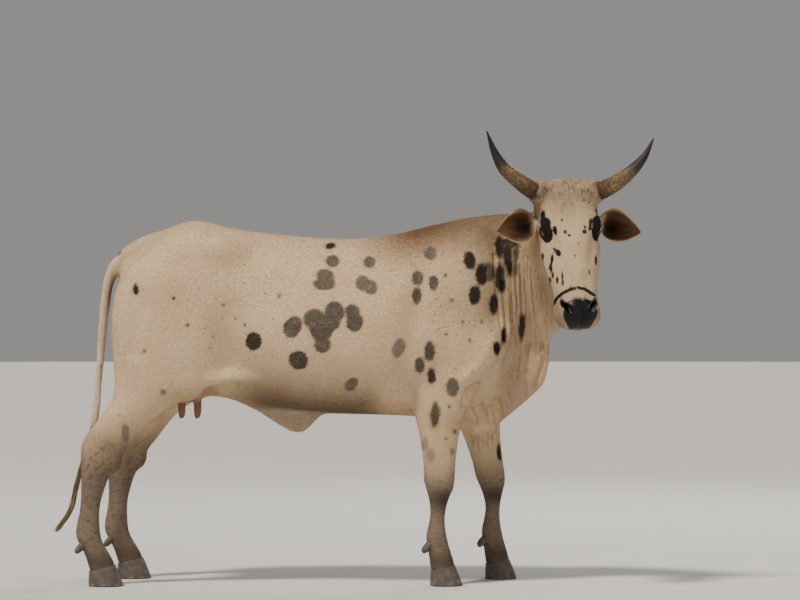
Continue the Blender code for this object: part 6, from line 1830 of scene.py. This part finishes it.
def claw_material():
    """Dark horn with level ridges, dusty towards the ground."""
    material, bench = new_material("claw_horn")
    place = bench.place()
    level = bench.noise(bench.stretched(place, (12, 12, 330)), 1.0, 3.0, 0.6)
    streaks = bench.noise(bench.stretched(place, (260, 260, 22)), 1.0, 3.0, 0.6)
    dust = bench.noise(place, 46.0, 4.0)
    tone = bench.mix(level, (0.040, 0.032, 0.028, 1), (0.115, 0.088, 0.070, 1))
    tone = bench.mix(streaks.ramp(0.50, 0.75) * 0.5, tone, (0.030, 0.023, 0.020, 1))
    low_part = 1 - place.part(2).ramp(0.0, 0.03)
    tone = bench.mix((dust.ramp(0.42, 0.70) * 0.55) * (0.35 + low_part * 0.65), tone, (0.30, 0.235, 0.175, 1))
    normal = bench.bump(level * 0.0016 + streaks * 0.0008, 0.8)
    finish_material(bench, {"Base Color": tone, "Roughness": 0.46 + dust * 0.25, "Normal": normal})
    return material


claw_horn = claw_material()
feet = []
for kind, leg in (("fore", FORE), ("hind", HIND)):
    for side, word in SIDES:
        for which, place in SIDES:
            for sort, maker in (("claw", add_claw), ("dewclaw", add_dewclaw)):
                node = f"{kind}_{word}_{sort}_{place}"
                bm = bmesh.new()
                maker(bm, leg, side, which)
                piece = new_piece("claw", bm)
                for polygon in piece.data.polygons:
                    polygon.use_smooth = len(polygon.vertices) < 5  # the ends stay flat
                keep_piece(piece, f"horn_{node}", claw_horn)
                feet.append((piece.name, node))
print("claws and dewclaws:", len(feet))

# %% [markdown]
# ## Trees that grow things
#
# A Geometry Nodes tree is written like a material. It is made once, with named inputs, and run on an object
# with other values for each piece. What it grows is kept as a plain mesh, because an exported model knows
# neither trees nor instances.

# %% Write geometry trees
def new_geometry_tree(name, inputs):
    """A geometry tree with named inputs, given as (name, kind, value)."""
    tree = bpy.data.node_groups.new(name, "GeometryNodeTree")
    tree.interface.new_socket("Geometry", in_out="INPUT", socket_type="NodeSocketGeometry")
    tree.interface.new_socket("Geometry", in_out="OUTPUT", socket_type="NodeSocketGeometry")
    sockets = {}
    for label, kind, value in inputs:
        socket = tree.interface.new_socket(label, in_out="INPUT", socket_type=kind)
        sockets[label] = (socket.identifier, value)
    bench = Bench(tree)
    entry = tree.nodes.new("NodeGroupInput")
    wires = {socket.name: Wire(bench, socket) for socket in entry.outputs if socket.name}
    return tree, bench, wires, sockets


def finish_tree(bench, grown, material):
    """Ends a geometry tree in plain faces with their material."""
    real = bench.node("GeometryNodeRealizeInstances", {}, {"Geometry": grown})
    finished = bench.node("GeometryNodeSetMaterial", {}, {"Geometry": real, "Material": material})
    bench.node("NodeGroupOutput", {}, {0: finished})


def apply_tree(obj, tree, sockets, **changes):
    """Runs a geometry tree on an object and keeps the result as a plain mesh."""
    grow = obj.modifiers.new("grow", "NODES")
    grow.node_group = tree
    for label, (identifier, value) in sockets.items():
        grow[identifier] = changes.get(label, value)
    return plain_mesh(obj)

# %% [markdown]
# ## The switch of the tail
#
# Below the hocks the tail ends in a bunch of long hair. Each strand grows from the tail's flesh, follows the
# tail down and drifts a little out of the bunch. The strands are drawn as open curves, and a Geometry Nodes
# tree runs a three-sided profile along all of them, thin at both ends. Hair curves would look finer, but an
# exported model drops them.

# %% Draw the strands of the switch
STRANDS, STRAND_STEPS = 900, 16


def strand_lines():
    """Open lines down the tail, each a list of points with its thickness."""
    draw = random.Random(12)
    lines = []
    for _ in range(STRANDS):
        start = 0.62 + 0.30 * draw.random() ** 1.3
        reach = draw.uniform(0.13, 0.26) * (1.0 if start < 0.86 else 0.75)
        end = min(start + reach, 1.0 + draw.uniform(-0.02, 0.012))
        angle = draw.uniform(0, 2 * math.pi)
        away = Vector((math.cos(angle), math.sin(angle), 0))
        drift = Vector((draw.gauss(0, 1), draw.gauss(0, 1), 0)) * 0.0042
        spread = draw.uniform(0.002, 0.013) * (0.6 + 1.6 * max(0.0, start - 0.68))
        wave, turns = draw.uniform(0.0004, 0.0018), draw.uniform(2.0, 5.0)
        skin_radius = along(TAIL_RADIUS, min(start, 0.95)) * 0.85
        line = []
        for t in steps(0.0, 1.0, STRAND_STEPS):
            s = min(start + (end - start) * t, 1.0)
            over = (start + (end - start) * t - s) * 0.9
            point = tail_point(s) + Vector((-0.5, 0, -0.86)) * over
            hug = skin_radius * (1 - t) ** 1.5
            point += away * (hug + spread * t ** 0.8 * (1 - 0.45 * t)) + drift * t * t
            point += away.cross(Vector((0, 0, 1))) * (wave * math.sin(t * turns * 3 + angle))
            line.append(point)
        lines.append(line)
    return lines


lines = strand_lines()
print("strands:", len(lines))

# %% Turn the strands into faces
STRAND_RADIUS = 0.00075


def strand_curve(lines):
    """A curve object with one open line for each strand, thin at its ends."""
    data = bpy.data.curves.new("strands", "CURVE")
    data.dimensions = "3D"
    for line in lines:
        spline = data.splines.new("POLY")
        spline.points.add(len(line) - 1)
        for k, (corner, point) in enumerate(zip(spline.points, line)):
            t = k / (len(line) - 1)
            corner.co = (*point, 1.0)
            corner.radius = 0.35 + 0.65 * math.sin(math.pi * min(1.0, 0.25 + t * 0.72))
    return new_object("switch_hair", data)


def hair_material(name, stops):
    """Long hair whose tone differs from strand to strand, darker at its root."""
    material, bench = new_material(name)
    tone_at, along_it = bench.attribute("strand"), bench.attribute("along")
    drift = bench.noise(bench.stretched(bench.place(), (40, 40, 9)), 1.0, 2.0)
    tone = bench.colours(tone_at * 0.8 + (drift - 0.5) * 0.5 + 0.1, stops)
    tone = bench.mix(along_it * 0.35, tone, (0.44, 0.31, 0.17, 1))
    finish_material(bench, {"Base Color": tone, "Roughness": 0.52, "Specular IOR Level": 0.35})
    return material


switch_hair = hair_material("switch_hair", [
    (0.0, (0.018, 0.012, 0.008)), (0.35, (0.060, 0.036, 0.020)), (0.62, (0.16, 0.098, 0.048)),
    (0.85, (0.38, 0.26, 0.13)), (1.0, (0.58, 0.44, 0.26))])
tree, bench, wires, sockets = new_geometry_tree("strand", [
    ("Radius", "NodeSocketFloat", STRAND_RADIUS), ("Sides", "NodeSocketInt", 3),
    ("Material", "NodeSocketMaterial", switch_hair)])
profile = bench.node("GeometryNodeCurvePrimitiveCircle", {},
                     {"Resolution": wires["Sides"], "Radius": wires["Radius"]})
swept = bench.node("GeometryNodeCurveToMesh", {}, {
    "Curve": wires["Geometry"], "Profile Curve": profile, "Fill Caps": True,
    "Scale": bench.node("GeometryNodeInputRadius")})
finish_tree(bench, swept, wires["Material"])
guide = strand_curve(lines)
switch_mesh = apply_tree(guide, tree, sockets)
bpy.data.objects.remove(guide)
switch = pieces["tail_hair"] = new_object("tail_hair", switch_mesh)
per_strand = len(switch_mesh.vertices) // len(lines)
shades = np.random.default_rng(5).random(len(lines))
one_strand = np.repeat(np.linspace(0, 1, STRAND_STEPS), per_strand // STRAND_STEPS)
write_values(switch_mesh, "strand", np.repeat(shades, per_strand))
write_values(switch_mesh, "along", np.tile(one_strand, len(lines)))
print("faces of the switch:", len(switch_mesh.polygons))

# %% [markdown]
# ## The coat
#
# The hair is short and lies flat, about a finger's breadth long at most. Its tufts are solid blades, because
# an exported model drops hair curves. A Geometry Nodes tree scatters points over the skin, as close as each
# place needs, and puts one of three small tufts on every point. The tuft is turned so that its blade lies
# along the stored direction and its flat side faces out. The markings come along as attributes of the points.
# The coat is made in several pieces, none of them too heavy.

# %% Make three tufts to repeat
TUFT_BLADES = {  # for each blade: where it starts, how far it leans, its length, and how high its tip stands
    "tuft_flat": [((-0.05, 0.0), -0.06, 1.0, 0.10), ((0.07, -0.08), 0.10, 0.86, 0.15)],
    "tuft_left": [((-0.04, 0.0), -0.20, 0.95, 0.12), ((0.05, -0.05), -0.04, 1.05, 0.08)],
    "tuft_open": [((-0.03, -0.04), 0.18, 0.92, 0.16), ((0.04, 0.0), 0.02, 1.02, 0.11)],
}
BLADE_HALF = 0.085


def add_tuft(name, blades, collection):
    """A tuft of curved, pointed blades that lies along +Y, one unit long."""
    corners, faces, tips = [], [], []
    for (x, y), lean, reach, rise in blades:
        first = len(corners)
        for t, half in ((0.0, 0.75), (0.5, 1.0)):
            middle = (x + lean * t * t, y + reach * t, -0.03 + rise * math.sin(t * 1.9) * 1.1)
            for sign in (-1, 1):
                corners.append((middle[0] + sign * BLADE_HALF * half, middle[1], middle[2]))
                tips.append(t)
        corners.append((x + lean, y + reach, -0.03 + rise))
        tips.append(1.0)
        faces += [tuple(first + k for k in face) for face in ((0, 1, 3), (0, 3, 2), (2, 3, 4))]
    mesh = bpy.data.meshes.new(name)
    mesh.from_pydata(corners, [], faces)
    write_values(mesh, "tip", tips)
    collection.objects.link(bpy.data.objects.new(name, mesh))


tufts = bpy.data.collections.new("tufts")
for name, blades in TUFT_BLADES.items():
    add_tuft(name, blades, tufts)
TUFT_CORNERS, TUFT_FACES = 10, 6
print("faces of a tuft:", TUFT_FACES)

# %% Grow the coat's tree
coat_tree, bench, wires, coat_inputs = new_geometry_tree("coat", [
    ("Tufts per square metre", "NodeSocketFloat", 30000.0), ("Zone", "NodeSocketInt", 0),
    ("Lift", "NodeSocketFloat", 0.10), ("Seed", "NodeSocketInt", 3),
    ("Tufts", "NodeSocketCollection", tufts), ("Material", "NodeSocketMaterial", coat_on_tufts)])


def stored(name, kind="FLOAT"):
    """An attribute of the skin, read in the tree."""
    return bench.node("GeometryNodeInputNamedAttribute", {"data_type": kind}, {"Name": name})


def drawn(low, high, seed):
    """A random number for each tuft."""
    return bench.node("FunctionNodeRandomValue", {"data_type": "FLOAT"},
                      {2: low, 3: high, "Seed": wires["Seed"] + seed}, 1)


def drawn_vector(reach, seed):
    """A random vector for each tuft."""
    return bench.node("FunctionNodeRandomValue", {"data_type": "FLOAT_VECTOR"},
                      {0: (-reach,) * 3, 1: (reach,) * 3, "Seed": wires["Seed"] + seed}, 0)


in_zone = bench.node("FunctionNodeCompare", {"data_type": "INT", "operation": "EQUAL"},
                     {2: stored("zone", "INT"), 3: wires["Zone"]})
spread = bench.node("GeometryNodeDistributePointsOnFaces", {"distribute_method": "RANDOM"}, {
    "Mesh": wires["Geometry"], "Selection": in_zone, "Seed": wires["Seed"],
    "Density": wires["Tufts per square metre"] * stored("cover")})
normal = Wire(bench, spread.socket.node.outputs["Normal"])
toned = bench.node("GeometryNodeStoreNamedAttribute", {"data_type": "FLOAT", "domain": "POINT"},
                   {"Geometry": spread, "Name": "tone", "Value": drawn(0.0, 1.0, 1)})
way = bench.node("ShaderNodeVectorMath", {"operation": "ADD"},
                 {0: stored("lie", "FLOAT_VECTOR"), 1: drawn_vector(0.22, 2)})
outward = bench.node("FunctionNodeAlignRotationToVector", {"axis": "Z"}, {"Vector": normal})
along_skin = bench.node("FunctionNodeAlignRotationToVector", {"axis": "Y", "pivot_axis": "Z"},
                        {"Rotation": outward, "Vector": way})
tilt = bench.node("ShaderNodeCombineXYZ", {},
                  {0: wires["Lift"] * drawn(0.3, 1.7, 3), 1: drawn(-0.16, 0.16, 4), 2: 0.0})
turned = bench.node("FunctionNodeRotateRotation", {"rotation_space": "LOCAL"},
                    {0: along_skin, 1: bench.node("FunctionNodeEulerToRotation", {}, {0: tilt})})
reach = stored("long") * drawn(0.72, 1.25, 5)
size = bench.node("ShaderNodeCombineXYZ", {}, {0: reach * 0.45 + 0.0030, 1: reach, 2: reach})
choice = bench.node("FunctionNodeRandomValue", {"data_type": "INT"},
                    {4: 0, 5: 2, "Seed": wires["Seed"] + 6}, 2)
shapes = bench.node("GeometryNodeCollectionInfo", {},
                    {"Collection": wires["Tufts"], "Separate Children": True, "Reset Children": True})
placed = bench.node("GeometryNodeInstanceOnPoints", {}, {
    "Points": toned, "Instance": shapes, "Pick Instance": True, "Instance Index": choice,
    "Rotation": turned, "Scale": size})
finish_tree(bench, placed, wires["Material"])
print("nodes of the coat's tree:", len(coat_tree.nodes))

# %% [markdown]
# ## Where each piece of coat grows
#
# The coat is parted into zones, so that no piece grows too heavy, and each zone gets its own closeness: the
# face has many small tufts, the flank fewer. A zone's closeness is worked out from its area.

# %% Part the skin into zones
ZONES = [  # name, the most tufts, and tufts per square metre at most
    ("coat_head", 32000, 90000), ("coat_neck", 31500, 75000), ("coat_shoulder", 30000, 60000),
    ("coat_flank", 30000, 60000), ("coat_rump", 32000, 60000), ("coat_far_front", 24000, 34000),
    ("coat_forelegs", 30000, 85000), ("coat_far_rear", 24000, 34000), ("coat_hindlegs", 32000, 85000),
]
zone = np.where(Y < 0, np.where(X > 0.06, 2, np.where(X > -0.42, 3, 4)), np.where(X > -0.36, 5, 7))
zone = np.where((X > 0.30) & (Z > 0.46), 1, zone)
zone = np.where(Z < 0.57, np.where(X > -0.3, 6, 8), zone)
zone = np.where((ON_HEAD > 0.5) | ear_part, 0, zone)
zone = np.where((X > 0.25) & (Y > 0.06) & (Z > 0.57) & (ON_HEAD < 0.5) & ~ear_part, 5, zone)
skin.data.attributes.new("zone", "INT", "POINT").data.foreach_set("value", zone.astype(np.int32))
corner_lists = read_all(skin.data.loops, "vertex_index", kind=np.int32)
first_corner = corner_lists[read_all(skin.data.polygons, "loop_start", kind=np.int32)]
areas = read_all(skin.data.polygons, "area")
zone_cover = np.bincount(zone[first_corner], areas * cover[first_corner], len(ZONES))
print("square metres of coat in each zone:", zone_cover.round(2))

# %% Grow the coat
KEPT = ("tint", "depth", "dark", "wet", "root", "tip", "tone", "freckle", "position", "mottled", "on_head",
        "sharp_face", "material_index")
HEAD_LIFT, BODY_LIFT = 0.14, 0.075
coats = []
for number, (name, most, closeness) in enumerate(ZONES):
    closeness = min(closeness, most / max(zone_cover[number], 1e-6))
    changes = {"Tufts per square metre": closeness, "Zone": number, "Seed": 3 + number,
               "Lift": HEAD_LIFT if name == "coat_head" else BODY_LIFT}
    mesh = apply_tree(skin, coat_tree, coat_inputs, **changes)
    for attribute in [a.name for a in mesh.attributes]:
        if attribute not in KEPT and not attribute.startswith("."):
            mesh.attributes.remove(mesh.attributes[attribute])
    pieces[name] = new_object(name, mesh)
    coats.append(pieces[name])
    print(name, len(mesh.polygons) // TUFT_FACES, "tufts,", len(mesh.polygons), "triangles")

# %% [markdown]
# ## A map for the coat
#
# An exported model keeps its colours in pictures, so each tuft needs a place in one. All corners of a tuft
# go to one small patch, at the place that its root has on an unwrap of the skin. Thus neighbouring tufts lie
# side by side in the picture, and their colours can't be muddled. The unwrap is made on a thinner copy of
# the skin, and each root finds its place there by the nearest face.

# %% Unwrap a thin copy of the skin
UNWRAP_FACES = 12000
thin_copy = new_object("thin_copy", skin.data.copy())
thinner = thin_copy.modifiers.new("thinner", "DECIMATE")
thinner.ratio = UNWRAP_FACES / len(skin.data.polygons)
thinner.use_collapse_triangulate = True
thin_copy.data = plain_mesh(thin_copy)
bpy.context.view_layer.objects.active = thin_copy
thin_copy.select_set(True)
bpy.ops.object.mode_set(mode="EDIT")
bpy.ops.mesh.select_all(action="SELECT")
bpy.ops.uv.smart_project(angle_limit=math.radians(66), island_margin=0.004)
bpy.ops.object.mode_set(mode="OBJECT")
flat_mesh = thin_copy.data
flat_corners = read_all(flat_mesh.loops, "vertex_index", kind=np.int32).reshape(-1, 3)
flat_uv = read_all(flat_mesh.uv_layers.active.data, "uv", 2).reshape(-1, 3, 2)
flat_points = read_points(flat_mesh)
flat_tree = BVHTree.FromPolygons(flat_points.tolist(), flat_corners.tolist())
print("faces of the unwrap:", len(flat_corners))

# %% Give each tuft its patch
PATCH, PATCH_TURN = 0.003, 0.6283  # width of a patch, and the angle between a tuft's corners on its rim


def map_places(roots):
    """Where roots fall on the unwrap: the nearest face, and the shares of its three corners there."""
    found = [flat_tree.find_nearest(root) for root in roots.tolist()]
    faces = np.array([hit[2] for hit in found])
    hits = np.array([hit[0] for hit in found])
    p, q, r = (flat_points[flat_corners[faces, k]] for k in range(3))
    side_q, side_r, off = q - p, r - p, hits - p
    qq, qr, rr = (side_q * side_q).sum(1), (side_q * side_r).sum(1), (side_r * side_r).sum(1)
    oq, orr = (off * side_q).sum(1), (off * side_r).sum(1)
    under = np.maximum(qq * rr - qr * qr, 1e-18)
    share_q, share_r = (rr * oq - qr * orr) / under, (qq * orr - qr * oq) / under
    shares = np.stack([1 - share_q - share_r, share_q, share_r])[:, :, None]
    uv = flat_uv[faces]
    return uv[:, 0] * shares[0] + uv[:, 1] * shares[1] + uv[:, 2] * shares[2]


angles = [k * PATCH_TURN for k in range(TUFT_CORNERS)]
patch = [(math.cos(angle) * PATCH / 2, math.sin(angle) * PATCH / 2) for angle in angles]
for piece in coats:
    mesh = piece.data
    roots = read_all(mesh.attributes["root"].data, "vector", 3).reshape(-1, TUFT_CORNERS, 3)
    places = map_places(roots[:, 0])
    corner_uv = (places[:, None, :] + np.array(patch)[None]).reshape(-1, 2)
    corner_of = read_all(mesh.loops, "vertex_index", kind=np.int32)
    mesh.uv_layers.new(name="OFBake").data.foreach_set("uv", corner_uv[corner_of].ravel())
bpy.data.objects.remove(thin_copy)
for tuft in list(tufts.objects):
    bpy.data.objects.remove(tuft)
bpy.data.collections.remove(tufts)
print("mapped pieces of coat:", len(coats))

# %% [markdown]
# ## Floor and light
#
# The photograph was taken in the open under a high sun. Here a sun lamp above and to the left stands for it,
# wide enough for soft shadows. Two large lamps, to the right and behind, and the pale world fill them.

# %% Set the stage
def floor_material():
    """Pale, with a faint grain."""
    material, bench = new_material("pale_floor")
    tone = bench.mix(bench.noise(bench.place(), 3.0, 3.0), (0.56, 0.55, 0.53, 1), (0.60, 0.59, 0.57, 1))
    finish_material(bench, {"Base Color": tone, "Roughness": 0.9})
    return material


floor_mesh = bmesh.new()
bmesh.ops.create_circle(floor_mesh, cap_ends=True, radius=60.0, segments=96)
floor = new_piece("floor", floor_mesh)
floor.data.materials.append(floor_material())


def add_lamp(name, kind, place, aim, power, size, colour):
    """A lamp that looks at a point; size is in metres for an area lamp and in degrees for a sun."""
    data = bpy.data.lights.new(name, kind)
    data.energy, data.color = power, colour
    if kind == "SUN":
        data.angle = math.radians(size)
    else:
        data.size = size
    lamp = new_object(name, data)
    lamp.location = place
    lamp.rotation_euler = (Vector(aim) - Vector(place)).to_track_quat("-Z", "Y").to_euler()


add_lamp("key", "SUN", (-2.6, -3.0, 7.0), (0, 0, 0.8), 3.8, 9, (1.0, 0.94, 0.84))
add_lamp("fill", "AREA", (4.2, -4.6, 2.6), (0, 0, 0.9), 70.0, 3.5, (1.0, 0.96, 0.90))
add_lamp("back", "AREA", (2.5, 5.0, 4.5), (0, 0, 0.9), 160.0, 2.5, (1.0, 1.0, 1.0))
world = bpy.data.worlds.new("studio")
bpy.context.scene.world = world
world.use_nodes = True
backdrop = world.node_tree.nodes["Background"]
backdrop.inputs["Color"].default_value = (0.84, 0.83, 0.81, 1.0)
backdrop.inputs["Strength"].default_value = 0.34
print("lamps:", len(bpy.data.lights))

# %% Hand the pieces over
FLESH = ["barrel", "chest", "rump", "neck", "dewlap", "head", "udder", "navel_flap", "tail_dock",
         "tail_shaft", "ear_right", "ear_left"]
FLESH += [f"{kind}_{part}_{word}" for kind in ("fore", "hind") for part in ("upper", "cannon", "pastern")
          for word in ("right", "left")]
for name, piece in pieces.items():
    write_points(piece.data, read_points(piece.data) + np.array(SHIFT))
    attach(piece, "root")
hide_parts(*FLESH)
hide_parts("tail_switch")
for side, word in SIDES:
    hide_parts(f"eye_{word}")
    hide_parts(f"horn_{word}")
for name, node in feet:
    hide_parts(node)
print("pieces:", len(pieces))
